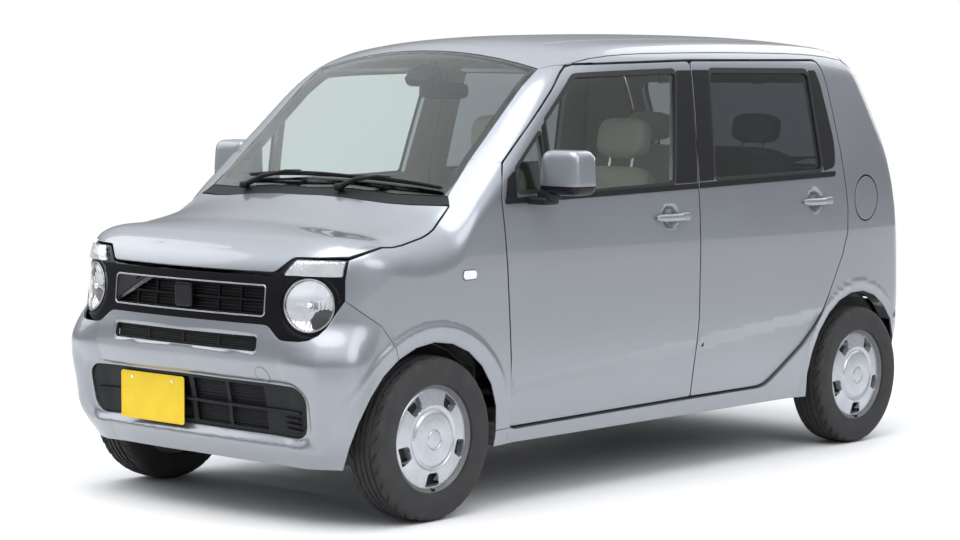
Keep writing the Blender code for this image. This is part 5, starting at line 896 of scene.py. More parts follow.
DARK_TRIM = plastic("dark_trim", (0.045, 0.045, 0.047), 0.62, 800, 0.25)
LINING = plastic("roof_lining", (0.50, 0.49, 0.46), 0.9, 600, 0.35)
SEAT_CLOTH = cloth("beige_cloth", (0.60, 0.56, 0.48), (0.68, 0.64, 0.56))
CARPET = cloth("floor_carpet", (0.05, 0.05, 0.052), (0.075, 0.074, 0.073), 300)
TYRE_RUBBER = rubber_tyre()
YELLOW = plastic("yellow_plate", (0.80, 0.55, 0.005), 0.38, 300, 0.05)
MIRROR_GLASS = metal("mirror_glass", (0.85, 0.86, 0.88), 0.02, 10, 0.0)


# Scene pieces: every one is a closed mesh that rides on a body


def place(obj, body, *nodes, slot=None):
    """The piece rides on its body and, where it says so, stands for CAD nodes."""
    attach(obj, body)
    if nodes:
        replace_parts(obj, *nodes)
    return obj


def build(name, verts, faces, mats, normals=None, slots=None, smooth=None):
    """A mesh object, with a normal for each corner of each face where they are given."""
    mesh = bpy.data.meshes.new(name)
    mesh.from_pydata(np.asarray(verts, float).tolist(), [], [tuple(int(i) for i in face) for face in faces])
    for mat in mats if isinstance(mats, (list, tuple)) else [mats]:
        mesh.materials.append(mat)
    if slots is not None:
        mesh.polygons.foreach_set("material_index", np.asarray(slots, np.int32))
    mesh.shade_smooth()
    if normals is not None:
        mesh.normals_split_custom_set(np.asarray(normals, float).reshape(-1, 3).tolist())
    elif smooth is not None:
        mesh.set_sharp_from_angle(angle=math.radians(smooth))
    obj = bpy.data.objects.new(name, mesh)
    bpy.context.scene.collection.objects.link(obj)
    return obj


def unit(v):
    """Vectors at length one."""
    v = np.asarray(v, float)
    return v / np.maximum(np.linalg.norm(v, axis=-1, keepdims=True), 1e-12)


def laid(chart, flat, depth):
    """Points of the form under chart places, each at its depth, with the direction inwards."""
    skin = reach(*chart.rays(flat))
    inward = -normals_at(skin)
    deep = depth(skin) if callable(depth) else np.full(len(skin), float(depth))
    return skin + inward * deep[:, None], skin, inward


def sheet_data(chart, stretches, wall, holes, depth, step, edge):
    """Vertices, faces, corner normals and face groups (0 outer, 1 rim, 2 inner) of one rounded panel."""
    def outlines(more):
        return [outline_of(chart, [(p, g + more) for p, g in stretches])] + [
            outline_of(chart, [(p, -g - more) for p, g in hole]) for hole in holes]

    small, full = outlines(edge), outlines(0)
    flat, faces = flat_mesh(small[0], small[1:], step)
    total = sum(len(loop) for loop in small)
    nudge = 4e-4
    here, skin, inward = laid(chart, flat, depth)
    u0, _, _ = laid(chart, flat - (nudge, 0), depth)
    u1, _, _ = laid(chart, flat + (nudge, 0), depth)
    v0, _, _ = laid(chart, flat - (0, nudge), depth)
    v1, _, _ = laid(chart, flat + (0, nudge), depth)
    top = unit(np.cross(u1 - u0, v1 - v0))
    top *= np.sign(np.sum(top * -inward, axis=1))[:, None]
    thick = wall(skin) if callable(wall) else np.full(len(skin), float(wall))
    back_side = here + inward * thick[:, None]
    out, at = np.zeros((total, 3)), 0
    middles = np.zeros((len(flat), 3))
    for face in faces:
        middles[face] = here[face].mean(axis=0)
    for loop in small:
        own = np.arange(at, at + len(loop))
        ahead = here[np.roll(own, -1)] - here[np.roll(own, 1)]
        away = unit(np.cross(ahead, top[own]))
        out[own] = away * (1 if np.sum(away * (here[own] - middles[own])) > 0 else -1)
        at += len(loop)
    if sum(len(loop) for loop in full) == total:
        rim = laid(chart, np.concatenate(full), depth)[0]
    else:
        rim = here[:total] + out * edge
    rim_in = inward[:total]
    rim_thick = thick[:total]
    soft = min(edge, float(np.min(rim_thick)) / 3)
    rim_top = rim + rim_in * soft
    rim_low = rim + rim_in * (rim_thick - soft)[:, None]
    n = len(flat)
    verts = np.concatenate([here, back_side, rim_top, rim_low])
    first_top, first_low = 2 * n, 2 * n + total
    polys, norms, kinds = [], [], []
    a, b, c = (faces[:, i] for i in range(3))
    turned_over = np.sum(np.cross(here[b] - here[a], here[c] - here[a]) * top[a], axis=1) < 0
    faces = np.where(turned_over[:, None], faces[:, ::-1], faces)
    for face in faces:
        polys.append(tuple(face))
        norms += [top[i] for i in face]
        kinds.append(0)
        low = tuple(face[::-1] + n)
        polys.append(low)
        norms += [-top[i - n] for i in low]
        kinds.append(2)
    for i, j in rim_edges(faces):
        if i >= total or j >= total:
            continue
        ti, tj, li, lj = first_top + i, first_top + j, first_low + i, first_low + j
        polys += [(j, i, ti, tj), (tj, ti, li, lj), (lj, li, i + n, j + n)]
        norms += [top[j], top[i], out[i], out[j], out[j], out[i], out[i], out[j], out[j], out[i], -top[i],
                  -top[j]]
        kinds += [1, 1, 1]
    return verts, polys, np.array(norms), kinds


def skin(name, chart, stretches, mat, body, nodes=(), wall=0.004, holes=(), depth=0.0, side=0, step=FINE,
         edge=0.0012, inner=None, slot=None):
    """A panel of the form. Side 0 makes it once, 1 for the left and mirrored, 2 for the left alone."""
    verts, polys, norms, kinds = sheet_data(chart, stretches, wall, holes, depth, step, edge)
    mats = [mat, mat, inner or mat]
    made = []
    if side == 0:
        obj = build(name, verts, polys, mats, norms, kinds)
        return [place(obj, body, *nodes, slot=slot)]
    for facing, word in ((1, "left"), (-1, "right")):
        if facing < 0 and side == 2:
            break
        if facing > 0:
            v, p, m, k = verts, polys, norms, kinds
        else:
            v, k = verts * (-1, 1, 1), kinds
            p, m, at = [], [], 0
            for face in polys:
                p.append(face[::-1])
                m.append(norms[at: at + len(face)][::-1] * (-1, 1, 1))
                at += len(face)
            m = np.concatenate(m)
        obj = build(f"{name}_{word}", v, p, mats, m, k)
        made.append(place(obj, body.format(word), *[node.format(word) for node in nodes], slot=slot))
    return made


def tube(name, points, radius, mat, body, sides=12, closed=False, caps=True, flat=1.0):
    """A bar along a path. The radius may be one for each point; flat squeezes it across."""
    points = [Vector(p) for p in points]
    radii = radius if isinstance(radius, (list, tuple)) else [radius] * len(points)
    rings, up = [], None
    count = len(points)
    for i, p in enumerate(points):
        if closed:
            ahead = (points[(i + 1) % count] - points[i - 1]).normalized()
        else:
            ahead = (points[min(i + 1, count - 1)] - points[max(i - 1, 0)]).normalized()
        if up is None:
            up = Vector((0, 0, 1)) if abs(ahead.z) < 0.9 else Vector((0, 1, 0))
        across = ahead.cross(up).normalized()
        up = across.cross(ahead).normalized()
        rings.append([p + (across * math.cos(t) * flat + up * math.sin(t)) * radii[i]
                      for t in (math.tau * k / sides for k in range(sides))])
    verts = [v for ring in rings for v in ring]
    faces = []
    for i in range(count if closed else count - 1):
        a, b = i * sides, ((i + 1) % count) * sides
        faces += [(a + k, a + (k + 1) % sides, b + (k + 1) % sides, b + k) for k in range(sides)]
    if caps and not closed:
        faces += [tuple(range(sides))[::-1], tuple(range(len(verts) - sides, len(verts)))]
    obj = build(name, verts, faces, mat, smooth=50)
    fix(obj)
    return place(obj, body) if body else obj


def fix(obj):
    """Faces turned outwards."""
    work = bmesh.new()
    work.from_mesh(obj.data)
    bmesh.ops.recalc_face_normals(work, faces=work.faces)
    work.to_mesh(obj.data)
    work.free()
    return obj


def pad(name, centre, size, mat, body=None, power=0.5, tilt=0.0, taper=(1, 1), segments=48, rings=16,
        turn=0.0):
    """A soft-edged block: a superellipsoid about its centre, leaning about the line across the car."""
    half = Vector(size) / 2
    verts, faces = [], []
    lean = Matrix.Rotation(turn, 3, "Z") @ Matrix.Rotation(tilt, 3, "X")
    for r in range(1, rings):
        phi = math.pi * r / rings - math.pi / 2
        level, width = (math.copysign(abs(f) ** power, f) for f in (math.sin(phi), math.cos(phi)))
        for k in range(segments):
            t = math.tau * k / segments
            across, along = (math.copysign(abs(f) ** power, f) for f in (math.cos(t), math.sin(t)))
            grow = 1 + (taper[0] - 1) * (level + 1) / 2, 1 + (taper[1] - 1) * (level + 1) / 2
            verts.append(Vector(centre) + lean @ Vector((across * width * half.x * grow[0],
                                                         along * width * half.y * grow[1],
                                                         level * half.z)))
    for r in range(rings - 2):
        a, b = r * segments, (r + 1) * segments
        faces += [(a + k, a + (k + 1) % segments, b + (k + 1) % segments, b + k) for k in range(segments)]
    for end, z in ((0, -half.z), (rings - 2, half.z)):
        verts.append(Vector(centre) + lean @ Vector((0, 0, z)))
        tip, a = len(verts) - 1, end * segments
        faces += [(a + k, a + (k + 1) % segments, tip) for k in range(segments)]
    obj = build(name, verts, faces, mat, smooth=60)
    fix(obj)
    return place(obj, body) if body else obj


def slab(name, low, high, mat, body=None, edge=0.003, matrix=None, segments=2):
    """A block with rounded edges between two corners, or turned by a matrix."""
    work = bmesh.new()
    bmesh.ops.create_cube(work, size=1)
    low, high = Vector(low), Vector(high)
    size, middle = high - low, (high + low) / 2
    for vert in work.verts:
        vert.co = Vector((vert.co.x * size.x, vert.co.y * size.y, vert.co.z * size.z))
    if edge:
        bmesh.ops.bevel(work, geom=work.edges[:], offset=min(edge, min(size) * 0.45), segments=segments,
                        affect="EDGES", profile=0.5)
    for vert in work.verts:
        vert.co = (matrix @ vert.co if matrix else vert.co) + middle
    mesh = bpy.data.meshes.new(name)
    work.to_mesh(mesh)
    work.free()
    mesh.materials.append(mat)
    mesh.shade_smooth()
    mesh.set_sharp_from_angle(angle=math.radians(35))
    obj = bpy.data.objects.new(name, mesh)
    bpy.context.scene.collection.objects.link(obj)
    return place(obj, body) if body else obj


def revolved(name, profile, centre, mat, body=None, axis=0, facing=1, segments=96, closed=True, smooth=30):
    """A profile of (radius, place along the axis) turned round an axis."""
    others = [(axis + 1) % 3, (axis + 2) % 3]
    verts = []
    for k in range(segments):
        t = math.tau * k / segments
        for radius, along in profile:
            v = list(centre)
            v[axis] += facing * along
            v[others[0]] += radius * math.cos(t)
            v[others[1]] += radius * math.sin(t)
            verts.append(v)
    n = len(profile)
    faces = []
    for k in range(segments):
        a, b = k * n, ((k + 1) % segments) * n
        for i in range(n if closed else n - 1):
            j = (i + 1) % n
            faces.append((a + i, a + j, b + j, b + i))
    obj = build(name, verts, faces, mat)
    work = bmesh.new()
    work.from_mesh(obj.data)
    bmesh.ops.remove_doubles(work, verts=work.verts, dist=1e-6)
    bmesh.ops.dissolve_degenerate(work, edges=work.edges, dist=1e-7)
    bmesh.ops.recalc_face_normals(work, faces=work.faces)
    work.to_mesh(obj.data)
    work.free()
    obj.data.shade_smooth()
    obj.data.set_sharp_from_angle(angle=math.radians(smooth))
    return place(obj, body) if body else obj


def merged(name, objs, body=None, *nodes):
    """Several meshes made into one piece."""
    with bpy.context.temp_override(active_object=objs[0], selected_editable_objects=objs, object=objs[0],
                                   selected_objects=objs):
        bpy.ops.object.join()
    objs[0].name = name
    return place(objs[0], body, *nodes) if body else objs[0]


# The car's own pieces


LAMP_X = 0.546
LAMP_REACH = 0.088
LAMP_CENTRE = square_to("nose", [(LAMP_X, HEIGHT * LAMP_SHARES[1])])[0]
SIDES = ((1, "left"), (-1, "right"))
HOLLOW = 0.020
HANDLE_HALF = 0.092
MIRROR_SPOT = (0.838, -0.665, 1.158)
MIRROR_LINE_Z = 1.1150
PLATE_HALF = (0.165, 0.0825)
SLOT_ANGLE = math.radians(54)
SLOT_REACH = 0.23
SEAT_X = 0.33
STEER_RADIUS = 0.182
PRESSURE = 4
PUFF_FRAMES = 20


def rows(outline, step=PANEL_STEP):
    """A closed outline seen from the side, from (y, z, radius) corners in metres."""
    return drawn("side", [(y / LENGTH, z / HEIGHT, r) for y, z, r in outline], True, step)


def front_rows(outline, view="nose", step=PANEL_STEP):
    """A closed outline seen from an end, from (x, z, radius) corners in metres."""
    return drawn(view, [(x / HALF_WIDTH, z / HEIGHT, r) for x, z, r in outline], True, step)


def boxed(ends, levels, radius, step=0.02, view="nose"):
    """A rounded box seen from an end, between two x places and two levels in metres."""
    (x0, x1), (z0, z1) = ends, levels
    return front_rows([(x, z, radius) for x, z in ((x0, z0), (x1, z0), (x1, z1), (x0, z1))], view, step)


HANDLES = ((0.061, 0.971), (0.997, 0.997))


def door_depth(points):
    """Round hand dishes, and the tuck below the low crease that rises to the rear."""
    y, z = points[:, 1], points[:, 2]
    deep = np.zeros(len(points))
    for at_y, at_z in HANDLES:
        away = np.hypot((y - at_y) / 0.056, (z - at_z) / 0.053)
        deep += 0.017 * (1 - ease(0.45, 1.0, away))
    line_z = 0.432 + 0.075 * (y + 0.8)
    deep += 0.0150 * np.clip((line_z - z) / 0.045, 0, 1) * (1 - ease(1.0, 1.25, y))
    return deep + arch_band(points)


def arch_band(points):
    """A flat face round each wheel arch that leans in towards the tyre."""
    y, z = points[:, 1], points[:, 2]
    deep = np.zeros(len(points))
    for centre_y, radius in ((FRONT_AXLE_Y, FRONT_ARCH_RADIUS), (REAR_AXLE_Y, REAR_ARCH_RADIUS)):
        away = np.hypot(y - centre_y, z - AXLE_Z) - radius
        deep += 0.012 * (1 - ease(0.004, 0.062, away)) * ease(0.16, 0.34, z)
    return deep


def swell(points):
    """The bumper's corners stand out squarer than the form behind them."""
    norms = normals_at(points)
    corner = np.clip(2.2 * np.abs(norms[:, 0] * norms[:, 1]), 0, 1)
    high = 1 - ease(0.545, 0.700, points[:, 2])
    low = 0.55 + 0.45 * ease(0.20, 0.34, points[:, 2])
    ahead = 1 - ease(-1.580, -1.430, points[:, 1])
    return -0.055 * corner * high * low * ahead


def bumper_face(points):
    """The bumper's squarer corners, and the hollow about the intake with its slanted top and bright lip."""
    x, z = np.abs(points[:, 0]), points[:, 2]
    top = 1 - ease(0.478, 0.552, z)
    foot = ease(0.262, 0.308, z)
    side = 1 - ease(0.545, 0.610, x)
    return swell(points) + HOLLOW * top * foot * side


def bonnet_depth(points):
    """A fold across the bonnet above its steep front."""
    ridge = -1.552 + 0.036 * (points[:, 0] / 0.64) ** 2
    away = points[:, 1] - ridge
    return -0.0075 * np.clip(1 - np.where(away < 0, -away / 0.060, away / 0.150), 0, 1)


def box_away(points, low_high, radius):
    """Distance in the front view from a rounded box about the middle line."""
    (low_x, low_z), (high_x, high_z) = low_high
    half_x, half_z = (low_x + high_x) / 2 * HALF_WIDTH - radius, (high_z - low_z) / 2 * HEIGHT - radius
    x = np.abs(points[:, 0]) - half_x
    z = np.abs(points[:, 2] - (low_z + high_z) / 2 * HEIGHT) - half_z
    return np.hypot(np.maximum(x, 0), np.maximum(z, 0)) + np.minimum(np.maximum(x, z), 0) - radius


def bumper_depth(points):
    """Chamfers round the intake and the slot, on the bumper's face and its arch bands."""
    deep = 0.013 * (1 - ease(0, 0.024, box_away(points, INTAKE_SHARES, INTAKE_RADIUS)))
    deep += 0.006 * (1 - ease(0, 0.010, box_away(points, SLOT_SHARES, SLOT_RADIUS)))
    return deep + bumper_face(points) + arch_band(points)


def roof_depth(points):
    """Two long shallow channels pressed in each half of the roof."""
    x, y = np.abs(points[:, 0]), points[:, 1]
    along = ease(-0.36, -0.24, y) * (1 - ease(1.10, 1.22, y))
    ribs = np.exp(-((x - 0.16) / 0.010) ** 2) + np.exp(-((x - 0.40) / 0.010) ** 2)
    return 0.0025 * ribs * along


def panels(s):
    """Painted panels and glass, drawn from the same form and seams as the solids."""
    skin("fender_skin", SideChart, [
        (s.a_seam, SEAM), (s.door_front, SHUT), (back(s.sill_top), SEAM), (s.fender_arch, FREE),
        (back(s.bumper), SEAM), (back(s.lamp), SEAM), (back(s.bonnet_side), SHUT), (s.cowl_side, SEAM),
        (s.screen_low, SEAM),
    ], PAINT, "chassis", ["front_fender_{}"], FENDER_WALL * 0.5, depth=arch_band, side=1, step=0.010,
        inner=BLACK, slot="body_paint")
    filler = disc(SideChart, side_spot(FILLER_SHARES), FILLER_RADIUS * 0.86, 72)
    loop = shell_loop(s)
    verts = dict(mat=PAINT, body="chassis", wall=body_wall_at, depth=arch_band, inner=BEIGE,
                 slot="body_paint")
    skin("side_skin", SideChart, loop, nodes=["body_side_{}"], holes=[[(filler, SHUT)]], side=2, **verts)
    other = skin("side_skin_r", SideChart, loop, nodes=[], side=0, **verts)[0]
    mirror_object(other)
    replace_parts(other, "body_side_right")
    skin("lid_skin", SideChart, [(filler, SHUT)], PAINT, "fuel_lid_left", ["fuel_lid_left"], 0.006,
         slot="body_paint")
    for kind, door, panes in (
        ("front", s.front_door,
         ((s.front_pane, "front", CLEAR_GLASS), (s.quarter_pane, "quarter", CLEAR_GLASS))),
        ("rear", s.rear_door, ((s.rear_pane, "rear", DARK_GLASS),)),
    ):
        skin(f"door_skin_{kind}", SideChart, [(door, SHUT)], PAINT, f"door_{kind}_{{}}",
             [f"door_{kind}_{{}}"],
             door_wall_at, holes=[[(pane, FREE)] for pane, _, _ in panes], depth=door_depth, side=1,
             step=0.014,
             inner=BEIGE, slot="body_paint")
        for pane, word, glass in panes:
            slot = "dark_glass" if glass is DARK_GLASS else "clear_glass"
            skin(f"pane_{word}", SideChart, [(pane, GLASS_SEAT)], glass, f"door_{kind}_{{}}",
                 [f"glass_{word}_{{}}"],
                 GLASS_WALL, depth=GLASS_INSET, side=1, step=0.04, edge=0.0006, slot=slot)
            skin(f"seal_{word}", SideChart, [(pane, -0.007)], RUBBER_SEAL, f"door_{kind}_{{}}", [], 0.010,
                 holes=[[(pane, -0.005)]], depth=-0.0012, side=1, step=0.05, edge=0.0008)

    bonnet = [(s.lip, SHUT), (back(s.bonnet_side), SHUT), (back(s.bonnet_rear), SHUT)]
    skin("bonnet_skin", TopChart, whole(bonnet), PAINT, "bonnet", ["bonnet"], 0.010, depth=bonnet_depth,
         step=0.011, inner=PAINT,
         slot="body_paint")
    cowl = [(s.bonnet_rear, SHUT), (s.cowl_side, SEAM), (back(s.screen_foot), SEAM)]
    skin("cowl_skin", TopChart, whole(cowl), BLACK, "chassis", ["cowl"], COWL_WALL, depth=0.003)
    screen = whole([(s.screen_foot, SEAM), (s.screen_low, SEAM), (s.screen_high, SEAM),
                    (back(s.screen_head), SEAM)])
    skin("screen_skin", TopChart, screen, SCREEN_GLASS, "chassis", ["windscreen"], SCREEN_WALL,
         depth=SCREEN_INSET, step=0.03,
         slot="clear_glass")
    wide = [(points, gap + 0.003) for points, gap in screen]
    ring = np.concatenate([points[:-1] for points, _ in screen])
    skin("screen_frit", TopChart, wide, GLOSS, "chassis", [], 0.0012, holes=[[(ring, -0.030)]],
         depth=SCREEN_INSET + SCREEN_WALL + 0.0002, edge=0.0003)
    roof = [(s.screen_head, SEAM), (s.roof_side, 3 * SEAM), (s.roof_rear, GATE_SHUT)]
    skin("roof_skin", TopChart, whole(roof), PAINT, "chassis", ["roof"], ROOF_WALL, depth=roof_depth,
         inner=LINING,
         step=0.016, slot="body_paint")
    top = back(s.roof_rear)
    gate = [(top, GATE_SHUT), (s.gate_head, GATE_SHUT), (s.gate_lamp, GATE_SHUT), (s.gate_foot, GATE_SHUT),
            (back(s.gate_sill), GATE_SHUT)]
    window = closed_box("tail", REAR_SCREEN_SHARES, REAR_SCREEN_RADIUS, PANEL_STEP)
    skin("gate_skin", TAIL, whole(gate), PAINT, "tailgate", ["tailgate"], GATE_WALL,
         holes=[[(window, FREE)]],
         depth=gate_depth, inner=BEIGE, step=0.015, slot="body_paint")
    skin("gate_pane", TAIL, [(window, SEAT)], DARK_GLASS, "tailgate", ["tailgate_glass"], GLASS_WALL,
         depth=GLASS_INSET - 0.004,
         step=0.04, edge=0.0006, slot="dark_glass")
    skin("gate_seal", TAIL, [(window, -0.006)], RUBBER_SEAL, "tailgate", [], 0.010,
         holes=[[(window, -0.006)]],
         depth=-0.001, edge=0.0008)
    bumper = [(s.gate_sill, GATE_SHUT), (s.tail, SEAM), (back(s.tail_arch), FREE), (s.rear_foot, FREE)]
    skin("rear_bumper_skin", TAIL, whole(bumper), PAINT, "chassis", ["rear_bumper"], 0.008, depth=arch_band,
         slot="body_paint",
         inner=BLACK)

    bumper = [(s.mask_foot, SEAM), (s.bumper, SEAM), (s.bumper_arch, FREE), (s.bumper_foot, FREE)]
    intake = closed_box("nose", INTAKE_SHARES, INTAKE_RADIUS, PANEL_STEP)
    slot = closed_box("nose", SLOT_SHARES, SLOT_RADIUS, PANEL_STEP)
    skin("bumper_skin", NOSE, whole(bumper), PAINT, "chassis", ["front_bumper"], 0.010,
         holes=[[(intake, FREE)], [(slot, FREE)]], depth=bumper_depth, step=0.008, inner=BLACK,
         slot="body_paint")
    return intake, slot


def gate_depth(points):
    """The plate's recess, and the hand grip above it."""
    x, z = np.abs(points[:, 0]), points[:, 2]
    away = np.maximum(np.abs(x) - 0.235, np.abs(z - 0.800) - 0.095)
    return 0.014 * (1 - ease(-0.012, 0.012, away))


def mirror_object(obj):
    """The same mesh on the other side of the car, its faces still outwards."""
    mesh = obj.data
    norms = np.array([tuple(n.vector) for n in mesh.corner_normals])
    polys = [tuple(p.vertices) for p in mesh.polygons]
    slots = [p.material_index for p in mesh.polygons]
    verts = np.array([tuple(v.co) for v in mesh.vertices]) * (-1, 1, 1)
    flipped, at = [], 0
    for face in polys:
        flipped.append(norms[at: at + len(face)][::-1] * (-1, 1, 1))
        at += len(face)
    made = bpy.data.meshes.new(mesh.name + "_m")
    made.from_pydata(verts.tolist(), [], [face[::-1] for face in polys])
    for mat in mesh.materials:
        made.materials.append(mat)
    made.polygons.foreach_set("material_index", np.array(slots, np.int32))
    made.shade_smooth()
    made.normals_split_custom_set(np.concatenate(flipped).tolist())
    obj.data = made


def dark_sashes():
    """Black facings of the window pillars, the sail at the mirror and the belt line."""
    shapes = (
        ("front", "pillar", ((0.104, 1.092, 0.004), (0.2335, 1.094, 0.002), (0.247, 1.200, 0.3),
                             (0.279, 1.512, 0.004), (0.193, 1.511, 0.004))),
        ("rear", "pillar", ((0.2475, 1.096, 0.002), (0.339, 1.099, 0.004), (0.389, 1.514, 0.004),
                            (0.2905, 1.513, 0.004), (0.258, 1.22, 0.3))),
        ("rear", "sash", ((1.068, 1.113, 0.004), (1.150, 1.128, 0.030), (1.166, 1.22, 0.2),
                          (1.120, 1.46, 0.1), (1.096, 1.515, 0.012), (1.050, 1.514, 0.004))),
        ("front", "sail",
         ((-0.851, 1.058, 0.006), (-0.788, 1.062, 0.003), (-0.786, 1.168, 0.006), (-0.829, 1.138, 0.01))),
        ("front", "divider",
         ((-0.620, 1.086, 0.003), (-0.600, 1.086, 0.003), (-0.600, 1.330, 0.003), (-0.620, 1.312, 0.003))),
        ("front", "belt", ((-0.851, 1.050, 0.006), (0.2345, 1.070, 0.003), (0.2345, 1.091, 0.003),
                           (-0.60, 1.076, 0.5), (-0.851, 1.070, 0.006))),
        ("rear", "belt",
         ((0.2470, 1.0705, 0.003), (1.140, 1.090, 0.012), (1.152, 1.112, 0.006), (0.2475, 1.0925, 0.003))),
    )
    for door, word, outline in shapes:
        proud = -0.0042 if word == "belt" else -0.0018
        skin(f"{door}_{word}", SideChart, [(rows(outline), 0)], SASH, f"door_{door}_{{}}", [],
             0.0030 + abs(proud),
             depth=proud, side=1, step=0.03, edge=0.0010)


def handles():
    """Door handles: a bowed grip and its cap over the dish, and the lock's cover on the driver's side."""
    for door, (y, z) in zip(("front", "rear"), HANDLES):
        cap_at = square_to("side", [(y + 0.072, z)])[0]
        for side, word in SIDES:
            body = f"door_{door}_{word}"
            points, radii = [], []
            for t in np.linspace(0, 1, 17):
                at = square_to("side", [(y - HANDLE_HALF + 2 * HANDLE_HALF * t, z)])[0]
                out = 0.006 + 0.008 * math.sin(math.pi * min(1, max(0, (t - 0.02) / 0.96))) ** 0.5
                points.append((side * (at[0] + out), at[1], at[2] - 0.002 * math.sin(math.pi * t)))
                radii.append(0.0135 * min(1, 0.55 + 3.2 * min(t, 1 - t)))
            tube(f"handle_{door}_{word}", points, radii, PAINT, body, sides=20, flat=0.62)
            pad(f"handle_cap_{door}_{word}", (side * (cap_at[0] + 0.008), *cap_at[1:]),
                (0.024, 0.052, 0.030), PAINT, body, 0.45, segments=32)
            if (door, word) == ("front", "right"):
                revolved("key_cover", [(0, 0.0), (0.0055, 0.0), (0.0055, 0.002), (0, 0.003)],
                         (side * (cap_at[0] + 0.0195), cap_at[1] + 0.008, cap_at[2]), CHROME, body,
                         facing=side, segments=24)


def mirrors():
    """Door mirrors: a painted shell, dark below its bright line, on a black foot."""
    x, y, z = MIRROR_SPOT
    for side, word in SIDES:
        body = f"door_front_{word}"
        shell = pad(f"mirror_shell_{word}", (side * x, y, z), (0.184, 0.130, 0.158), PAINT, body, 0.38,
                    taper=(0.90, 0.88), segments=72, rings=40)
        shell.data.materials.append(GLOSS)
        for face in shell.data.polygons:
            if face.center.z < MIRROR_LINE_Z - 0.0015 or face.center.y > y + 0.050:
                face.material_index = 1
        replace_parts(shell, f"mirror_{word}")
        pad(f"mirror_glass_{word}", (side * x, y + 0.0565, z + 0.006), (0.148, 0.006, 0.118), MIRROR_GLASS,
            body, 0.35, segments=48)
        inner, outer = sorted((side * 0.694, side * 0.800))
        slab(f"mirror_foot_{word}", (inner, -0.738, 1.046), (outer, -0.662, 1.072), BLACK, body, 0.010,
             segments=3)
        pad(f"mirror_neck_{word}", (side * 0.775, -0.690, 1.082), (0.075, 0.070, 0.050), BLACK, body, 0.6)
        bright = []
        for k in range(41):
            t = math.pi + math.pi * k / 40
            across, along = (math.copysign(abs(f) ** 0.42, f) * 0.985 for f in (math.cos(t), math.sin(t)))
            bright.append((side * (x + 0.0850 * across), y + 0.0580 * along, MIRROR_LINE_Z))
        tube(f"mirror_line_{word}", bright, 0.0012, CHROME, body, sides=8)


def lamps():
    """Round lamps: ring, fluted bowl, bulb cover and domed lens; the turn lamp above."""
    lamp = disc(NOSE, LAMP_CENTRE, LAMP_REACH, 96)
    skin("lamp_shroud", NOSE, [(lamp, SEAT)], GLOSS, "chassis", [], 0.012, holes=[[(lamp, -0.0105)]],
         depth=0.003, side=1,
         step=0.05, edge=0.002)
    skin("lamp_ring", NOSE, [(lamp, 0.0100)], CHROME, "chassis", [], 0.012, holes=[[(lamp, -0.0150)]],
         depth=0.0005, side=1,
         step=0.05, edge=0.0012)
    skin("lamp_lens", NOSE, [(lamp, 0.0153)], CLEAR_LENS, "chassis", ["headlamp_{}"], 0.0035,
         depth=lamp_dome, side=1, step=0.012,
         edge=0.0008, slot="clear_lens")
    skin("lamp_bowl", NOSE, [(lamp, 0.0158)], REFLECTOR, "chassis", [], 0.004, depth=lamp_bowl, side=1,
         step=0.0035,
         edge=0.0008)
    turn = front_rows(((0.446, 0.836, 0.005), (0.638, 0.836, 0.005), (0.638, 0.886, 0.005),
                       (0.482, 0.886, 0.008)), step=0.01)
    skin("turn_lens", NOSE, [(turn, 0)], CLEAR_LENS, "chassis", [], 0.0030, depth=-0.0080, side=1, step=0.02,
         edge=0.0015)
    skin("turn_bowl", NOSE, [(turn, 0.002)], REFLECTOR, "chassis", [], 0.0015, depth=turn_bowl, side=1,
         step=0.004,
         edge=0.0004)
    for side, word in SIDES:
        at = Vector(LAMP_CENTRE - normals_at(np.array([LAMP_CENTRE]))[0] * 0.020)
        pad(f"bulb_cover_{word}", (side * at.x, at.y, at.z), (0.026, 0.030, 0.026), CHROME, "chassis", 1.0)


def lamp_away(points):
    """How far points are from the middle of the left lamp."""
    return np.linalg.norm(points - LAMP_CENTRE, axis=1)


def lamp_dome(points):
    """The lens stands out most at its middle."""
    away = np.clip(lamp_away(points) / LAMP_REACH, 0, 1)
    return -0.006 * (1 - away ** 2) + 0.002


def lamp_bowl(points):
    """A deep bowl with upright flutes and a step across its middle."""
    away = np.clip(lamp_away(points) / LAMP_REACH, 0, 1)
    flute = 0.0016 * np.abs(np.sin((np.abs(points[:, 0]) - LAMP_X) * 210)) * ease(0.12, 0.3, away)
    step = 0.004 * ease(-0.01, 0.01, points[:, 2] - HEIGHT * LAMP_SHARES[1])
    return 0.010 + 0.030 * (1 - away ** 2) - flute - step * (1 - away)


def turn_bowl(points):
    """Upright flutes above a plain foot."""
    flutes = np.abs(np.sin(np.abs(points[:, 0]) * 260))
    return -0.0020 - 0.0020 * flutes * ease(0.846, 0.852, points[:, 2])


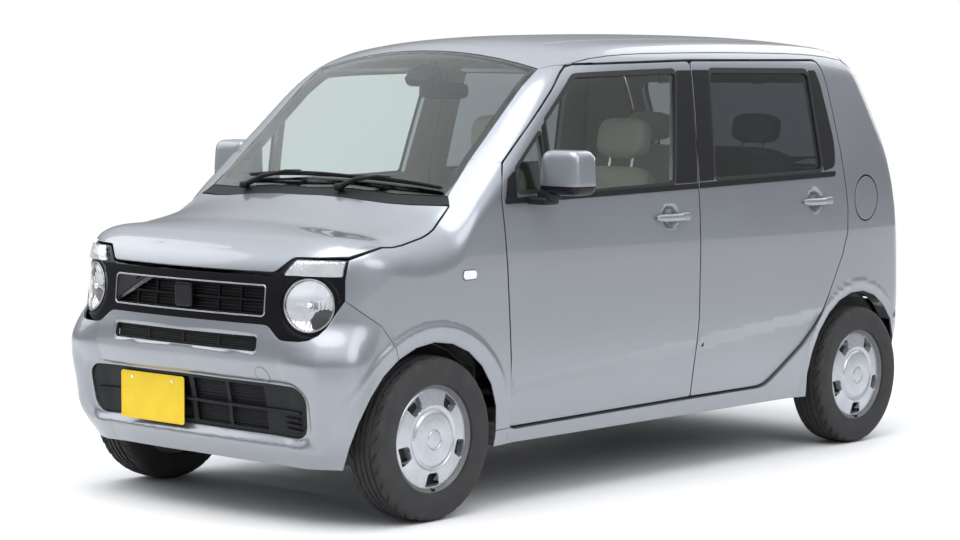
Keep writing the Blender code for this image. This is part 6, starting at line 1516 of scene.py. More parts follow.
def nose_details(s, intake, slot):
    """Mask, grille, slot, intake, plate and the tow cover."""
    grille = closed_box("nose", GRILLE_SHARES, GRILLE_RADIUS, PANEL_STEP)
    lamp = disc(NOSE, LAMP_CENTRE, LAMP_REACH, 96)
    mask = [(s.lip, SHUT), (s.lamp, SEAM), (back(s.mask_foot), SEAM)]
    holes = [[(grille, FREE)], [(lamp, FREE)], [(mirrored(lamp), FREE)]]
    skin("mask_skin", NOSE, whole(mask), GLOSS, "chassis", ["grille_mask"], 0.008, holes=holes,
         depth=mask_depth, step=0.012,
         slot="black_gloss")
    skin("grille_frame", NOSE, [(grille, -0.001)], CHROME, "chassis", ["grille"], 0.010,
         holes=[[(grille, -0.0045)]],
         depth=-0.0025, edge=0.0014, slot="chrome")
    skin("grille_bars", NOSE, [(grille, 0.005)], GLOSS, "chassis", [], 0.016, holes=[[(grille, -0.010)]],
         depth=0.008,
         step=0.03, edge=0.0012)
    skin("grille_back", NOSE, [(grille, 0.003)], BLACK, "chassis", [], 0.004, depth=0.032, step=0.03)
    nose_bar("grille_bar", (-0.372, 0.372), (0.7455, 0.7535), GLOSS, 0.010)
    for k, x in enumerate((-0.262, -0.158, 0.158, 0.262)):
        nose_bar(f"grille_post_{k}", (x - 0.004, x + 0.004), (0.702, 0.797), GLOSS, 0.012)
    for k, z in enumerate(np.linspace(0.716, 0.784, 7)):
        nose_bar(f"grille_fin_{k}", (-0.372, 0.372), (z - 0.0012, z + 0.0012), BLACK, 0.020)
    pad("grille_middle", (0, square_to("nose", [(0, 0.749)])[0][1] + 0.002, 0.7495), (0.086, 0.010, 0.080),
        GLOSS,
        "chassis", 0.25, segments=64)
    skin("slot_back", NOSE, [(slot, 0.0003)], BLACK, "chassis", [], 0.006, depth=behind_face(0.022),
         step=0.03)
    grille_slats("slot", 0.352, np.linspace(0.589, 0.625, 6), 0.017)
    skin("slot_posts", NOSE, [(slot, 0.0003)], BLACK, "chassis", [], 0.006, depth=behind_face(0.013),
         holes=slots_of(((-0.352, 0.588), (0.352, 0.626)), 2, 1, 0.008, 0.004, 0.003), step=0.03)
    skin("intake_back", NOSE, [(intake, 0.0003)], BLACK, "chassis", ["lower_grille"], 0.006,
         depth=behind_face(0.036), step=0.03, slot="black_plastic")
    grille_slats("intake", 0.360, np.linspace(0.314, 0.456, 15), 0.029)
    skin("intake_posts", NOSE, [(intake, 0.0003)], BLACK, "chassis", [], 0.008, depth=behind_face(0.020),
         holes=intake_holes(), step=0.03, edge=0.002)
    strip = boxed((-0.515, 0.515), (0.381, 0.390), 0.003)
    skin("intake_bar", NOSE, [(strip, 0)], BLACK, "chassis", [], 0.012, depth=behind_face(0.011), edge=0.002)
    for k in range(3):
        z = 0.322 + 0.0185 * k
        fin = boxed((0.440, 0.512), (z, z + 0.007), 0.003)
        skin(f"louvre_{k}", NOSE, [(fin, 0)], BLACK, "chassis", [], 0.014, depth=behind_face(0.008),
             edge=0.002)
    plate_holder(-0.1945, 0.381, -1)
    spot = square_to("nose", [(0.381, 0.505)])[0]
    tow = disc(NOSE, spot, 0.026, 48)
    skin("tow_groove", NOSE, [(tow, -0.0012)], RUBBER_SEAL, "chassis", [], 0.003, holes=[[(tow, 0)]],
         depth=lambda p: bumper_depth(p) - 0.0004, edge=0.0003, step=0.01)
    skin("tow_cover", NOSE, [(tow, 0)], PAINT, "chassis", [], 0.003,
         depth=lambda p: bumper_depth(p) - 0.0012, edge=0.0010, step=0.01)


def nose_bar(name, ends, levels, mat, deep):
    """A bar across or up an opening, following the nose."""
    outline = boxed(ends, levels, 0.001, 0.03)
    skin(name, NOSE, [(outline, 0)], mat, "chassis", [], 0.010, depth=deep, step=0.03, edge=0.0004)


def behind_face(deep):
    """A depth that follows the bumper's face."""
    return lambda points: bumper_face(points) + deep


def grille_slats(name, half, levels, deep):
    """Fine level bars across an opening, following the bumper's face."""
    for k, z in enumerate(levels):
        spots = square_to("nose", [(x, z) for x in np.linspace(-half, half, 25)])
        points = spots - normals_at(spots) * (bumper_face(spots) + deep)[:, None]
        tube(f"{name}_slat_{k}", points, 0.0017, BLACK, "chassis", sides=6)


def mask_depth(points):
    """The mask falls back round the lamps."""
    away = lamp_away(np.abs(points) * (1, -1, 1))
    return 0.006 * (1 - ease(LAMP_REACH, LAMP_REACH + 0.022, away)) + 0.001


def slots_of(low_high, across, up, bar, middle, radius):
    """Rounded slots either side of a plain middle, in metres."""
    (_, low_z), (high_x, high_z) = low_high
    pitch_x, pitch_z = (high_x - middle + bar) / across, (high_z - low_z + bar) / up
    found = []
    for side in (1, -1):
        for i in range(across):
            for j in range(up):
                a, b = middle + i * pitch_x, low_z + j * pitch_z
                hole = boxed((a, a + pitch_x - bar), (b, b + pitch_z - bar), radius)
                found.append([(hole if side > 0 else mirrored(hole), 0)])
    return found


def intake_holes():
    """Openings of the intake lattice: four open bays either side of the middle, with plain ends."""
    found = []
    for low, high in ((0.012, 0.175), (0.192, 0.355)):
        for z0, z1 in ((0.312, 0.380), (0.391, 0.458)):
            hole = boxed((low, high), (z0, z1), 0.004)
            found += [[(hole, 0)], [(mirrored(hole), 0)]]
    return found


def plate_holder(x, z, facing):
    """A yellow plate with a raised rim, blank, on two bolts."""
    view, word, body = ("nose", "front", "chassis") if facing < 0 else ("tail", "rear", "tailgate")
    spots = [(a, b) for a in (x - PLATE_HALF[0], x + PLATE_HALF[0]) for b in (z - 0.08, z + 0.08)]
    y = min(facing * square_to(view, [spot])[0][1] for spot in spots)
    y = facing * (y + (0.012 if facing < 0 else 0.004))
    (x0, x1), (z0, z1) = ((c - half, c + half) for c, half in zip((x, z), PLATE_HALF))
    outline = filleted([(x0, z0, 0.010), (x1, z0, 0.010), (x1, z1, 0.010), (x0, z1, 0.010)], True)
    inner = [(x + (a - x) * 0.972, z + (b - z) * 0.945) for a, b in outline]
    front = y + facing * 0.0012
    verts, faces = [], []
    n = len(outline)
    for loop, level in ((outline, y - facing * 0.0012), (outline, front), (inner, front),
                        (inner, y + facing * 0.0004)):
        verts += [(a, level, b) for a, b in loop]
    for r in range(3):
        faces += [(r * n + i, r * n + (i + 1) % n, (r + 1) * n + (i + 1) % n, (r + 1) * n + i)
                  for i in range(n)]
    faces += [tuple(range(n)), tuple(range(3 * n, 4 * n))]
    place(fix(build(f"plate_{word}", verts, faces, YELLOW, smooth=25)), body)
    bolt = [(0, 0.0004), (0.006, 0.0004), (0.006, 0.003), (0.0045, 0.0042), (0, 0.0044)]
    for k, dx in enumerate((-0.105, 0.105)):
        revolved(f"plate_bolt_{word}_{k}", bolt, (x + dx, y, z + 0.062), CHROME, body, axis=1, facing=facing,
                 segments=20)


def lifted(view, across, up, lift):
    """A spot of the form under a place in a view, raised off the skin."""
    at = square_to(view, [(across, up)])
    return Vector((at + normals_at(at) * lift)[0])


def wipers():
    """Two wipers that park along the screen's foot, and one on the rear screen."""
    for k, (x0, x1) in enumerate(((-0.36, 0.20), (0.14, 0.56))):
        blade, spine = [], []
        for i in range(15):
            t = i / 14
            x = x0 + (x1 - x0) * t
            bow = 0.052 * (abs(x) / 0.6) ** 2
            blade.append(lifted("top", x, -1.048 + bow, 0.009))
            spine.append(lifted("top", x, -1.050 + bow, 0.016 + 0.006 * math.sin(math.pi * t)))
        tube(f"wiper_blade_{k}", blade, 0.0052, BLACK, "chassis", sides=8)
        tube(f"wiper_spine_{k}", spine, 0.0042, BLACK, "chassis", sides=8)
        pivot = lifted("top", x0 + 0.02, -1.098 + 0.05 * (abs(x0) / 0.6) ** 2, 0.014)
        middle = blade[7] + Vector((0, -0.006, 0.012))
        arm = [pivot, pivot.lerp(middle, 0.35) + Vector((0, -0.002, 0.016)),
               pivot.lerp(middle, 0.75) + Vector((0, 0, 0.012)), middle]
        tube(f"wiper_arm_{k}", arm, [0.011, 0.009, 0.006, 0.005], BLACK, "chassis", sides=10)
        pad(f"wiper_boss_{k}", pivot, (0.036, 0.034, 0.026), BLACK, "chassis", 0.7)
    hub = lifted("tail", 0.0, 1.075, 0.012)
    pad("rear_wiper_boss", hub, (0.046, 0.034, 0.042), BLACK, "tailgate", 0.7)
    arm = [hub, lifted("tail", 0.10, 1.110, 0.022), lifted("tail", 0.21, 1.135, 0.016)]
    tube("rear_wiper_arm", arm, [0.010, 0.007, 0.005], BLACK, "tailgate", sides=10)
    blade = [lifted("tail", 0.02 + 0.030 * k, 1.132 + 0.0012 * k, 0.009) for k in range(11)]
    tube("rear_wiper_blade", blade, 0.0055, BLACK, "tailgate", sides=8)


def tail_details(s):
    """Tail lamps, rear plate, grip, reflectors and side markers."""
    lamp = [(s.gate_lamp, GATE_SHUT), (back(s.lamp_side), SEAM)]
    skin("tail_lens", TAIL, lamp, RED_LENS, "chassis", ["tail_lamp_{}"], 0.004, side=1, step=0.02,
         edge=0.0015, slot="red_lens")
    skin("tail_bowl", TAIL, [(p, g + 0.002) for p, g in lamp], RED_SOLID, "chassis", [], 0.010,
         depth=lambda p: 0.009 + 0.003 * np.abs(np.sin(p[:, 2] * 180)), side=1, step=0.006, edge=0.001)
    plate_holder(0.0, 0.800, 1)
    grip = boxed((-0.26, 0.26), (0.905, 0.932), 0.006, 0.02, "tail")
    skin("gate_grip", TAIL, [(grip, 0)], PAINT, "tailgate", [], 0.020, depth=-0.010, edge=0.004)
    reflector = boxed((0.46, 0.56), (0.345, 0.372), 0.008, 0.02, "tail")
    skin("rear_reflector", TAIL, [(reflector, 0)], RED_SOLID, "chassis", [], 0.006, depth=-0.002, side=1,
         edge=0.0015)
    oval = rows(((-1.078, 0.805, 0.012), (-1.012, 0.805, 0.012), (-1.012, 0.835, 0.012),
                 (-1.078, 0.835, 0.012)), 0.01)
    skin("side_marker", SideChart, [(oval, 0)], MARKER, "chassis", [], 0.006, depth=-0.0040, side=1,
         edge=0.002, step=0.01)
    skin("side_marker_ring", SideChart, [(oval, -0.0026)], RUBBER_SEAL, "chassis", [], 0.004,
         holes=[[(oval, 0.0002)]], depth=-0.0015, side=1,
         edge=0.0006, step=0.01)


def tyre():
    """One tyre: a carcass of revolution with cut grooves and blocks, shared by the four wheels."""
    out, bead = AXLE_Z, 0.182
    outline = [(-0.058, bead, 0), (-0.070, bead + 0.004, 0), (-0.0735, bead + 0.020, 0),
               (-0.0775, bead + 0.048, 0),
               (-0.0765, bead + 0.070, 0), (-0.0725, bead + 0.083, 0), (-0.066, out - 0.0065, 1)]
    across = np.linspace(-0.0600, 0.0600, 49)
    outline += [(x, out - 0.0045 * (abs(x) / 0.060) ** 3, 1) for x in across]
    outline += [(-x, r, t) for x, r, t in outline[6::-1]]
    outline += [(0.050, bead + 0.001, 0), (0.052, bead + 0.012, 0), (0.066, bead + 0.045, 0),
                (0.060, out - 0.016, 0),
                (0.0, out - 0.012, 0), (-0.060, out - 0.016, 0), (-0.066, bead + 0.045, 0),
                (-0.052, bead + 0.012, 0), (-0.050, bead + 0.001, 0)]
    profile = np.array(outline)
    count = 288
    turns = np.arange(count) * math.tau / count
    verts, faces = [], []
    for k, t in enumerate(turns):
        x, r, tread = profile.T
        cut = np.zeros(len(x))
        for centre, width in ((-0.036, 0.0045), (-0.012, 0.0048), (0.012, 0.0048), (0.036, 0.0045)):
            cut = np.maximum(cut, 0.0070 * (np.abs(x - centre) < width))
        block = (k + (np.abs(x) * 260).astype(int)) % 9
        shoulder = (np.abs(x) > 0.040) & (block < 2)
        middle = (np.abs(x) > 0.016) & (np.abs(x) < 0.033) & ((k + (x * 420).astype(int)) % 9 < 1)
        cut = np.maximum(cut, 0.0055 * shoulder)
        cut = np.maximum(cut, 0.0040 * middle)
        r = r - cut * tread
        verts.append(np.stack([x, r * math.cos(t), r * math.sin(t)], -1))
    verts = np.concatenate(verts)
    n = len(profile)
    for k in range(count):
        a, b = k * n, (k + 1) % count * n
        for i in range(n):
            j = (i + 1) % n
            faces.append((a + i, a + j, b + j, b + i))
    obj = build("tyre_shape", verts, faces, TYRE_RUBBER, smooth=32)
    fix(obj)
    return obj


def cover_height(x, y):
    """The cover's height at places on its disc, and their distance from the nearest slot."""
    r, t = np.hypot(x, y), np.arctan2(y, x)
    table = ((0, 0.0250), (0.028, 0.0240), (0.0305, 0.0205), (0.0335, 0.0205), (0.036, 0.0235),
             (0.060, 0.0225),
             (0.088, 0.0200), (0.0925, 0.0178), (0.0965, 0.0120), (0.101, 0.0120), (0.105, 0.0165),
             (0.114, 0.0165), (0.160, 0.0105),
             (0.167, 0.0085), (0.173, 0.0040), (0.178, 0.0035), (0.182, 0.0062), (0.187, 0.0120),
             (0.191, 0.0125), (0.1935, 0.0085))
    high = np.interp(r, *zip(*table))
    best = np.full(np.shape(r), 1.0)
    for k in range(SLOT_COUNT):
        centre = SLOT_ANGLE + math.tau * k / SLOT_COUNT
        u, v = r * np.cos(t - centre), r * np.sin(t - centre)
        half = 0.0215 + (u - 0.118) * 0.28
        away_v, away_u = np.abs(v) - half + 0.006, np.abs(u - 0.1375) - 0.0215 + 0.006
        away = np.hypot(np.maximum(away_v, 0),
                        np.maximum(away_u, 0)) + np.minimum(np.maximum(away_v, away_u), 0) - 0.006
        best = np.minimum(best, away)
    deep = 0.024 * (1 - ease(-0.0022, 0.0012, best))
    return high - deep, best


def cover():
    """The wheel cover as a height over a disc, its slots steep; their closed floors are black, partly for the
    dark wheel behind and partly as painted shade.
    """
    radii = np.unique(np.concatenate([np.linspace(*row) for row in (
        (0.004, 0.110, 38), (0.110, 0.167, 44), (0.167, 0.1935, 18))]))
    pitch = math.tau / SLOT_COUNT
    at_slot = np.linspace(-SLOT_REACH, SLOT_REACH, 22)
    between_slots = np.linspace(SLOT_REACH, pitch - SLOT_REACH, 11)[1:-1]
    one = SLOT_ANGLE + np.concatenate([at_slot, between_slots])
    turns = np.concatenate([one + pitch * k for k in range(SLOT_COUNT)])
    count = len(turns)
    rr, tt = np.meshgrid(radii, turns)
    x, y = rr * np.cos(tt), rr * np.sin(tt)
    high, best = cover_height(x, y)
    n = len(radii)
    front = np.stack([high, x, y], -1).reshape(-1, 3)
    verts = [*front, (cover_height(np.zeros(1), np.zeros(1))[0][0], 0, 0)]
    middle = len(verts) - 1
    faces, kinds = [], []
    flat = best.reshape(-1)
    for k in range(count):
        a, b = k * n, (k + 1) % count * n
        for i in range(n - 1):
            faces.append((a + i, a + i + 1, b + i + 1, b + i))
            # Faces deep in a slot take the black slot: the slot floor stands partly for the dark wheel seen
            # through the opening, partly as painted shade.
            kinds.append(1 if max(flat[a + i], flat[a + i + 1]) < -0.0016 else 0)
        faces.append((middle, a, b))
        kinds.append(0)
    rim = len(verts)
    verts += [(-0.018, 0.1915 * math.cos(t), 0.1915 * math.sin(t)) for t in turns]
    for k in range(count):
        a, b = k * n + n - 1, (k + 1) % count * n + n - 1
        faces.append((a, rim + k, rim + (k + 1) % count, b))
        kinds.append(0)
    faces.append(tuple(range(rim, rim + count))[::-1])
    kinds.append(1)
    return fix(build("cover_shape", verts, faces, [WHEEL_SILVER, BLACK], slots=kinds, smooth=40))


def wheels():
    """Tyre, cover, rim, valve and brake of each wheel; tyre and cover share one mesh each."""
    rubber, shield = tyre(), cover()
    rim_profile = [
        (0.168, -0.060), (0.186, -0.064), (0.188, -0.058), (0.180, -0.050), (0.176, 0.050), (0.186, 0.056),
        (0.188, 0.062), (0.180, 0.064), (0.168, 0.052), (0.160, 0.010), (0.060, 0.020), (0.030, 0.022),
        (0.030, 0.012), (0.058, 0.010), (0.150, 0.000), (0.160, -0.030),
    ]
    valve = [(0, 0.0), (0.004, 0.0), (0.004, 0.018), (0.003, 0.022), (0, 0.022)]
    brake = [(0.020, -0.022), (0.118, -0.022), (0.122, -0.016), (0.122, -0.004), (0.118, 0.0), (0.060, 0.004),
             (0.020, 0.004)]
    shared = ((rubber, "rubber", "tyre", 0.0, "tyre"), (shield, "shield", "wheel", 0.0462, "wheel_cover"))
    for end, y in (("front", FRONT_AXLE_Y), ("rear", REAR_AXLE_Y)):
        for side, word in SIDES:
            body = f"wheel_{end}_{word}"
            spot = Vector((side * HALF_TRACK, y, AXLE_Z))
            facing = Matrix.Rotation(0 if side > 0 else math.pi, 4, "Z")
            for shape, name, node, shift, slot in shared:
                obj = bpy.data.objects.new(f"{name}_{end}_{word}", shape.data)
                bpy.context.scene.collection.objects.link(obj)
                obj.matrix_world = Matrix.Translation(spot + Vector((side * shift, 0, 0))) @ facing
                place(obj, body, f"{node}_{end}_{word}", slot=slot)
            revolved(f"rim_{end}_{word}", rim_profile, spot, CAST, body, facing=side, segments=72)
            revolved(f"valve_{end}_{word}", valve, spot + Vector((side * 0.048, 0, -0.172)), BLACK, body,
                     facing=side, segments=16)
            carrier = f"knuckle_{word}" if end == "front" else "chassis"
            revolved(f"brake_{end}_{word}", brake, spot, CAST, carrier, facing=side, segments=72)
    for shape in (rubber, shield):
        bpy.data.objects.remove(shape)


def stuffed(name, parts, mat, body, seams, cap=0.012, voxel=0.012, node=None):
    """A foam pad under stretched cloth: the shape is remeshed, blown up between its sewn lines and capped."""
    cushion = parts[0] if len(parts) == 1 else merged(name, parts)
    cushion.name = name
    remesh = cushion.modifiers.new("even", "REMESH")
    remesh.mode, remesh.voxel_size = "VOXEL", voxel
    graph = bpy.context.evaluated_depsgraph_get()
    mesh = bpy.data.meshes.new_from_object(cushion.evaluated_get(graph))
    cushion.modifiers.clear()
    cushion.data = mesh
    mesh.materials.clear()
    mesh.materials.append(mat)
    before = np.array([tuple(v.co) for v in mesh.vertices])
    held = np.clip(seams(before), 0, 1)
    norms = np.array([tuple(v.normal) for v in mesh.vertices])
    group = cushion.vertex_groups.new(name="held")
    for i in np.nonzero(held > 0.02)[0]:
        group.add([int(i)], float(held[i]), "REPLACE")
    sim = cushion.modifiers.new("cloth", "CLOTH")
    sim.settings.quality = 4
    sim.settings.use_pressure = True
    sim.settings.uniform_pressure_force = PRESSURE
    sim.settings.vertex_group_mass = "held"
    sim.settings.effector_weights.gravity = 0
    sim.collision_settings.use_collision = False
    scene = bpy.context.scene
    for frame_no in range(1, PUFF_FRAMES + 1):
        scene.frame_set(frame_no)
    graph = bpy.context.evaluated_depsgraph_get()
    after_mesh = cushion.evaluated_get(graph).to_mesh()
    after = np.array([tuple(v.co) for v in after_mesh.vertices])
    cushion.modifiers.clear()
    cushion.vertex_groups.clear()
    scene.frame_set(1)
    move = after - before
    length = np.linalg.norm(move, axis=1, keepdims=True)
    before = before + move * np.minimum(1, cap / np.maximum(length, 1e-9))
    before -= norms * (0.006 * held)[:, None]
    mesh.vertices.foreach_set("co", before.ravel())
    mesh.update()
    soft = cushion.modifiers.new("fine", "SUBSURF")
    soft.levels = soft.render_levels = 1
    graph = bpy.context.evaluated_depsgraph_get()
    mesh = bpy.data.meshes.new_from_object(cushion.evaluated_get(graph))
    cushion.modifiers.clear()
    cushion.data = mesh
    mesh.shade_smooth()
    place(cushion, body, *([node] if node else []), slot="cloth")
    return cushion


def near(value, line, width=0.010):
    """One on a line and nothing away from it."""
    return np.exp(-((value - line) / width) ** 2)


def seats():
    """Front seats and the rear bench, with bolsters, sewn lines and head restraints."""
    def cushion_seams(cx, half):
        def seams(p):
            x, y, z = np.abs(p[:, 0] - cx), p[:, 1], p[:, 2]
            top = z > 0.50
            lines = near(x, half, 0.008) * top + near(y, -0.02, 0.008) * top * (x < half)
            return np.maximum(lines, z < 0.475)
        return seams

    def back_seams(cx, half, z0):
        def seams(p):
            x, z = np.abs(p[:, 0] - cx), p[:, 2]
            front = p[:, 1] < 0.13 + 0.30 * (z - 0.5)
            return np.clip(near(x, half, 0.008) * front + near(z, z0, 0.008) * front * (x < half), 0, 1)
        return seams

    def bench_seams(p):
        return np.maximum(near(np.abs(p[:, 0]), 0.02, 0.008) * (p[:, 2] > 0.6), p[:, 2] < 0.55)

    def bench_back_seams(p):
        return near(np.abs(p[:, 0]), 0.012, 0.008) + near(p[:, 2], 1.02, 0.008) * (p[:, 1] < 1.1)

    def head_rest(name, centre, size, tilt):
        stuffed(name, [pad("head", centre, size, SEAT_CLOTH, power=0.55, tilt=tilt)], SEAT_CLOTH, "chassis",
                lambda p: 0 * p[:, 0], cap=0.006)

    def posts(name, x, spread_x, low, high, radius):
        for k, dx in enumerate((-spread_x, spread_x)):
            tube(f"{name}_{k}", [(x + dx, *low), (x + dx, *high)], radius, CHROME, "chassis")

    def bolstered(name, centre, size, power, tilt, bolster, taper=(1, 1)):
        """A pad between two bolsters; a bolster is (distance from the middle, y, z, size)."""
        away, y, z, thick = bolster
        side_tilt = tilt if name == "back" else 0.0
        return [pad(name, centre, size, SEAT_CLOTH, power=power, tilt=tilt, taper=taper)] + [
            pad(f"bolster_{key}", (centre[0] + dx, y, z), thick, SEAT_CLOTH, power=0.5, tilt=side_tilt)
            for key, dx in (("a", -away), ("b", away))]

    for side, word in SIDES:
        cx = side * SEAT_X
        parts = bolstered("cushion", (cx, -0.130, 0.510), (0.42, 0.50, 0.150), 0.35, 0.07,
                          (0.190, -0.120, 0.535, (0.090, 0.44, 0.130)))
        stuffed(f"seat_cushion_{word}", parts, SEAT_CLOTH, "chassis", cushion_seams(cx, 0.150),
                node=f"seat_front_{word}")
        parts = bolstered("back", (cx, 0.165, 0.850), (0.43, 0.125, 0.60), 0.38, -0.26,
                          (0.180, 0.125, 0.800, (0.085, 0.130, 0.46)), taper=(0.86, 0.8))
        stuffed(f"seat_back_{word}", parts, SEAT_CLOTH, "chassis", back_seams(cx, 0.140, 0.98))
        head_rest(f"head_rest_{word}", (cx, 0.268, 1.250), (0.235, 0.095, 0.155), -0.20)
        posts(f"head_post_{word}", cx, 0.055, (0.235, 1.10), (0.262, 1.21), 0.006)
        slab(f"seat_plinth_{word}", (cx - 0.18, -0.32, 0.30), (cx + 0.18, 0.10, 0.455), DARK_TRIM, "chassis",
             0.02, segments=4)
        for k, dx in enumerate((-0.15, 0.15)):
            slab(f"seat_rail_{word}_{k}", (cx + dx - 0.018, -0.36, 0.262), (cx + dx + 0.018, 0.14, 0.302),
                 STEEL, "chassis", 0.005)
        pad(f"recline_cover_{word}", (cx + side * 0.222, 0.055, 0.50), (0.035, 0.24, 0.14), BEIGE, "chassis",
            0.5)

    parts = [pad("bench", (0, 0.760, 0.600), (1.04, 0.48, 0.160), SEAT_CLOTH, power=0.30, tilt=0.07)]
    stuffed("bench_cushion", parts, SEAT_CLOTH, "chassis", bench_seams, voxel=0.014, node="seat_rear")
    parts = [pad("bench_back", (0, 1.075, 0.915), (1.04, 0.130, 0.60), SEAT_CLOTH, power=0.30, tilt=-0.26)]
    stuffed("bench_back", parts, SEAT_CLOTH, "chassis", bench_back_seams, voxel=0.014)
    for side, word in SIDES:
        head_rest(f"bench_head_{word}", (side * 0.28, 1.195, 1.275), (0.225, 0.085, 0.120), -0.2)
        posts(f"bench_post_{word}", side * 0.28, 0.05, (1.150, 1.14), (1.185, 1.235), 0.0055)


def steering():
    """The steering wheel turns about its column; column and stalks stay on the chassis."""
    hub, lean = Vector(STEER_HUB), Vector((0, math.cos(COLUMN_LEAN), math.sin(COLUMN_LEAN)))
    turn = lean.to_track_quat("Z", "Y").to_matrix()

    def at(a, b, c):
        return hub + turn @ Vector((a, b, c))

    rim = [at(STEER_RADIUS * math.cos(t), STEER_RADIUS * math.sin(t), 0)
           for t in (math.tau * k / 96 for k in range(96))]
    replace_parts(tube("steer_rim", rim, 0.0135, DARK_TRIM, "steering_wheel", sides=20, closed=True),
                "steering_wheel")
    for k, angle in enumerate((0.12, math.pi - 0.12, -math.pi / 2)):
        points = [at(r * math.cos(angle), r * math.sin(angle), -0.018 + 0.018 * (r / 0.18) ** 2)
                  for r in (0.045, 0.09, 0.135, 0.178)]
        tube(f"steer_spoke_{k}", points, [0.022, 0.019, 0.016, 0.013], DARK_TRIM, "steering_wheel", flat=0.5)
    pad("steer_hub", at(0, 0, -0.012), (0.150, 0.120, 0.060), DARK_TRIM, "steering_wheel", 0.55,
        tilt=COLUMN_LEAN - math.pi / 2)
    tube("steer_column", [at(0, 0, -0.03), at(0, 0, -0.26)], 0.032, DARK_TRIM, "chassis", sides=24)
    for side, word in SIDES:
        stalk = [at(side * 0.03, 0, -0.055), at(side * 0.13, 0.01, -0.045), at(side * 0.165, 0.012, -0.040)]
        tube(f"stalk_{word}", stalk, [0.006, 0.006, 0.009], DARK_TRIM, "chassis")


def inside_fittings():
    """Dashboard face, screen, vents, gear lever, inner mirror and visors."""
    pad("meter_hood", (-0.33, -0.640, 0.985), (0.34, 0.18, 0.075), DARK_TRIM, "chassis", 0.5)
    slab("screen_face", (-0.095, -0.535, 0.835), (0.095, -0.512, 0.950), GLOSS, "chassis", 0.006)
    for k, x in enumerate((-0.545, -0.125, 0.125, 0.545)):
        slab(f"vent_{k}", (x - 0.035, -0.535, 0.905), (x + 0.035, -0.510, 0.955), BLACK, "chassis", 0.006)
    slab("glove_lid", (0.165, -0.532, 0.655), (0.520, -0.508, 0.800), DARK_TRIM, "chassis", 0.012, segments=3)
    slab("shelf_lip", (-0.60, -0.545, 0.815), (0.60, -0.500, 0.835), BEIGE, "chassis", 0.008, segments=3)
    pad("gear_base", (0.0, -0.475, 0.735), (0.11, 0.13, 0.07), DARK_TRIM, "chassis", 0.5)
    tube("gear_lever", [(0.0, -0.455, 0.75), (0.0, -0.415, 0.815)], 0.007, CHROME, "chassis")
    pad("gear_knob", (0.0, -0.408, 0.828), (0.034, 0.040, 0.052), DARK_TRIM, "chassis", 0.7)
    pad("inner_mirror", (0.0, -0.395, 1.430), (0.240, 0.034, 0.062), BLACK, "chassis", 0.5)
    slab("inner_mirror_glass", (-0.108, -0.3795, 1.406), (0.108, -0.3765, 1.454), MIRROR_GLASS, "chassis",
         0.001)
    stem = [(0.0, -0.405, 1.445), (0.0, -0.425, 1.492), (0, -0.440, 1.535)]
    tube("inner_mirror_stem", stem, 0.007, BLACK, "chassis")
    pad("sensor_box", (0.0, -0.505, 1.487), (0.130, 0.105, 0.045), BLACK, "chassis", 0.5, tilt=0.62)
    for side, word in SIDES:
        pad(f"visor_{word}", (side * 0.33, -0.395, 1.520), (0.40, 0.150, 0.018), LINING, "chassis", 0.35,
            tilt=0.2)


def lid_arms():
    """Goosenecks of the bonnet and the tailgate, each with its eye and pin."""
    gate = next(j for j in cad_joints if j["name"] == "tailgate_hinge")["pos_m"]
    lids = (("bonnet", "bonnet", (BONNET_AXIS_Y, BONNET_AXIS_Z), BONNET_ARM_PATH, BONNET_HINGE_X),
            ("gate", "tailgate", tuple(gate[1:]), GATE_ARM_PATH, GATE_HINGE_X))
    eye = [(0.0036, -0.007), (0.0075, -0.007), (0.0075, 0.007), (0.0036, 0.007)]
    pin = [(0, -0.010), (0.0045, -0.010), (0.0045, -0.0075), (0.0033, -0.0075), (0.0033, 0.0075),
           (0.0045, 0.0075), (0.0045, 0.012), (0, 0.012)]
    for side, word in SIDES:
        for name, body, axis, path, x in lids:
            middle = side * (x - 0.006)
            corners = [Vector((middle, axis[0] + a, axis[1] + b)) for a, b in path]
            points = [start.lerp(end, t) for start, end in zip(corners, corners[1:])
                      for t in (0.0, 0.15, 0.5, 0.85)]
            tube(f"{name}_arm_{word}", points + [corners[-1]], 0.0065, PAINT, body, sides=12)
            revolved(f"{name}_eye_{word}", eye, (middle, *axis), STEEL, body, segments=32)
            revolved(f"{name}_pin_{word}", pin, (middle, *axis), STEEL, "chassis", segments=32)


def door_hinges():
    """Two hinges for each door: its pin, and a leaf on the pillar."""
    pin = [(0, -0.026), (0.0062, -0.026), (0.0062, 0.026), (0, 0.026)]
    for kind in ("front", "rear"):
        joint = next(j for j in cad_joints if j["name"] == f"door_{kind}_left_hinge")["pos_m"]
        for side, word in SIDES:
            x, y = side * joint[0], joint[1]
            low_x, high_x = sorted((x, x - side * 0.046))
            for k, z in enumerate((0.50, 0.90)):
                revolved(f"hinge_{kind}_{word}_{k}", pin, (x, y, z), STEEL, f"door_{kind}_{word}", axis=2,
                         segments=24)
                slab(f"hinge_leaf_{kind}_{word}_{k}", (low_x, y - 0.004, z - 0.022),
                     (high_x, y + 0.004, z + 0.022), PAINT, "chassis", 0.002)


def under_parts(nodes):
    """Materials for the CAD solids that stay as they are."""
    looks = {
        "floor_pan": CARPET, "front_structure": STEEL, "front_subframe": STEEL, "rear_axle": STEEL,
        "exhaust": CAST, "engine_block": CAST, "fuel_tank": BLACK, "knuckle_left": CAST,
        "knuckle_right": CAST, "dashboard": DARK_TRIM,
    }
    for name, mat in looks.items():
        obj = nodes[name]
        obj.data.materials.clear()
        obj.data.materials.append(mat)


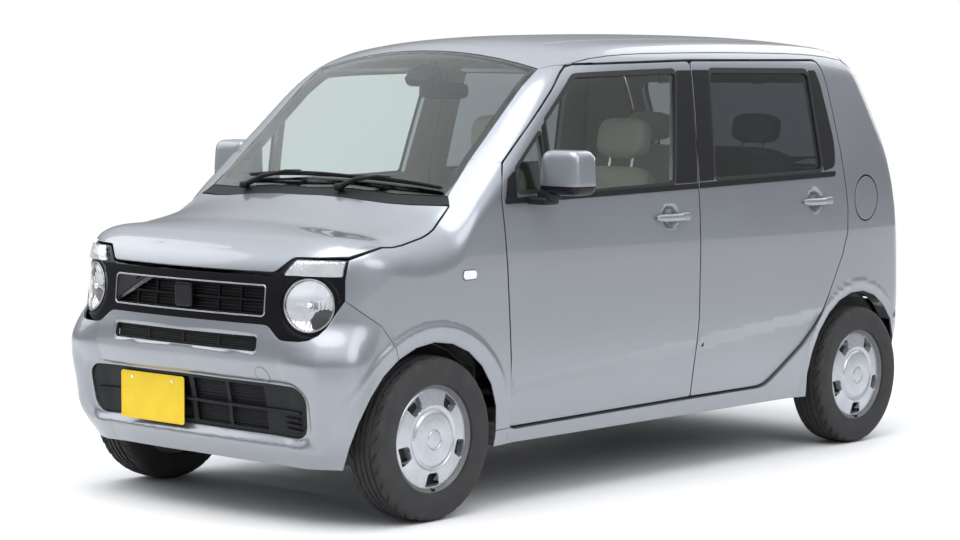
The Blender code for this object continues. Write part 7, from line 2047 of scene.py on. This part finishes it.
def studio():
    """A pale floor, a white surround to reflect, and soft lights."""
    bpy.ops.mesh.primitive_plane_add(size=60, location=(0, 0, 0))
    floor = bpy.context.active_object
    floor.name = "studio_floor"
    mat, tree, node = shader("studio_floor", (0.80, 0.80, 0.80), 0.65)
    tree.links.new(spread(tree, noise(tree, 3, 2).outputs["Fac"], 0.6, 0.7), node.inputs["Roughness"])
    floor.data.materials.append(mat)
    output = tree.nodes["Material Output"]
    white = tree.nodes.new("ShaderNodeEmission")
    white.inputs["Strength"].default_value = 1.0
    far = tree.nodes.new("ShaderNodeTexCoord")
    distance = tree.nodes.new("ShaderNodeVectorMath")
    distance.operation = "LENGTH"
    tree.links.new(far.outputs["Object"], distance.inputs[0])
    fade = tree.nodes.new("ShaderNodeMapRange")
    fade.inputs["From Min"].default_value, fade.inputs["From Max"].default_value = 3.0, 9.0
    tree.links.new(distance.outputs["Value"], fade.inputs["Value"])
    both = tree.nodes.new("ShaderNodeMixShader")
    tree.links.new(fade.outputs["Result"], both.inputs[0])
    tree.links.new(node.outputs["BSDF"], both.inputs[1])
    tree.links.new(white.outputs["Emission"], both.inputs[2])
    tree.links.new(both.outputs["Shader"], output.inputs["Surface"])
    world = bpy.data.worlds.new("studio")
    world.use_nodes = True
    bpy.context.scene.world = world
    nodes, links = world.node_tree.nodes, world.node_tree.links
    dim = nodes["Background"]
    dim.inputs["Color"].default_value = (0.93, 0.96, 1.0, 1)
    facing = nodes.new("ShaderNodeTexCoord")
    parts = nodes.new("ShaderNodeSeparateXYZ")
    links.new(facing.outputs["Generated"], parts.inputs["Vector"])
    sky = nodes.new("ShaderNodeMapRange")
    sky.interpolation_type = "SMOOTHSTEP"
    sky.inputs["From Min"].default_value, sky.inputs["From Max"].default_value = 0.05, 0.90
    sky.inputs["To Min"].default_value, sky.inputs["To Max"].default_value = 0.30, 1.45
    links.new(parts.outputs["Z"], sky.inputs["Value"])
    links.new(sky.outputs["Result"], dim.inputs["Strength"])
    bright = nodes.new("ShaderNodeBackground")
    bright.inputs["Color"].default_value = (1, 1, 1, 1)
    bright.inputs["Strength"].default_value = 1.0
    path = nodes.new("ShaderNodeLightPath")
    seen = nodes.new("ShaderNodeMath")
    seen.operation = "MAXIMUM"
    links.new(path.outputs["Is Camera Ray"], seen.inputs[0])
    links.new(path.outputs["Is Transmission Ray"], seen.inputs[1])
    mix = nodes.new("ShaderNodeMixShader")
    links.new(seen.outputs["Value"], mix.inputs[0])
    links.new(dim.outputs["Background"], mix.inputs[1])
    links.new(bright.outputs["Background"], mix.inputs[2])
    links.new(mix.outputs["Shader"], nodes["World Output"].inputs["Surface"])
    for name, spot, size, power in (("key", (0.8, -2.5, 6.5), 7.0, 340), ("side", (6.0, -1.0, 4.0), 4.0, 90),
                                    ("fill", (-6, -3, 4.0), 5.0, 90),
                                    ("back", (0, 7.0, 4.5), 6.0, 120)):
        data = bpy.data.lights.new(name, "AREA")
        data.energy, data.shape, data.size = power, "DISK", size
        lamp = bpy.data.objects.new(name, data)
        bpy.context.scene.collection.objects.link(lamp)
        lamp.location = spot
        lamp.rotation_euler = (Vector((0, 0, 0.6)) - Vector(spot)).to_track_quat("-Z", "Y").to_euler()
    bpy.context.scene.view_settings.view_transform = "Standard"


def main():
    """Every piece, in the order they are made."""
    s = Seams()
    intake, slot = panels(s)
    dark_sashes()
    handles()
    mirrors()
    lamps()
    nose_details(s, intake, slot)
    tail_details(s)
    wipers()
    wheels()
    seats()
    steering()
    inside_fittings()
    lid_arms()
    door_hinges()
    under_parts(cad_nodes)
    studio()


main()
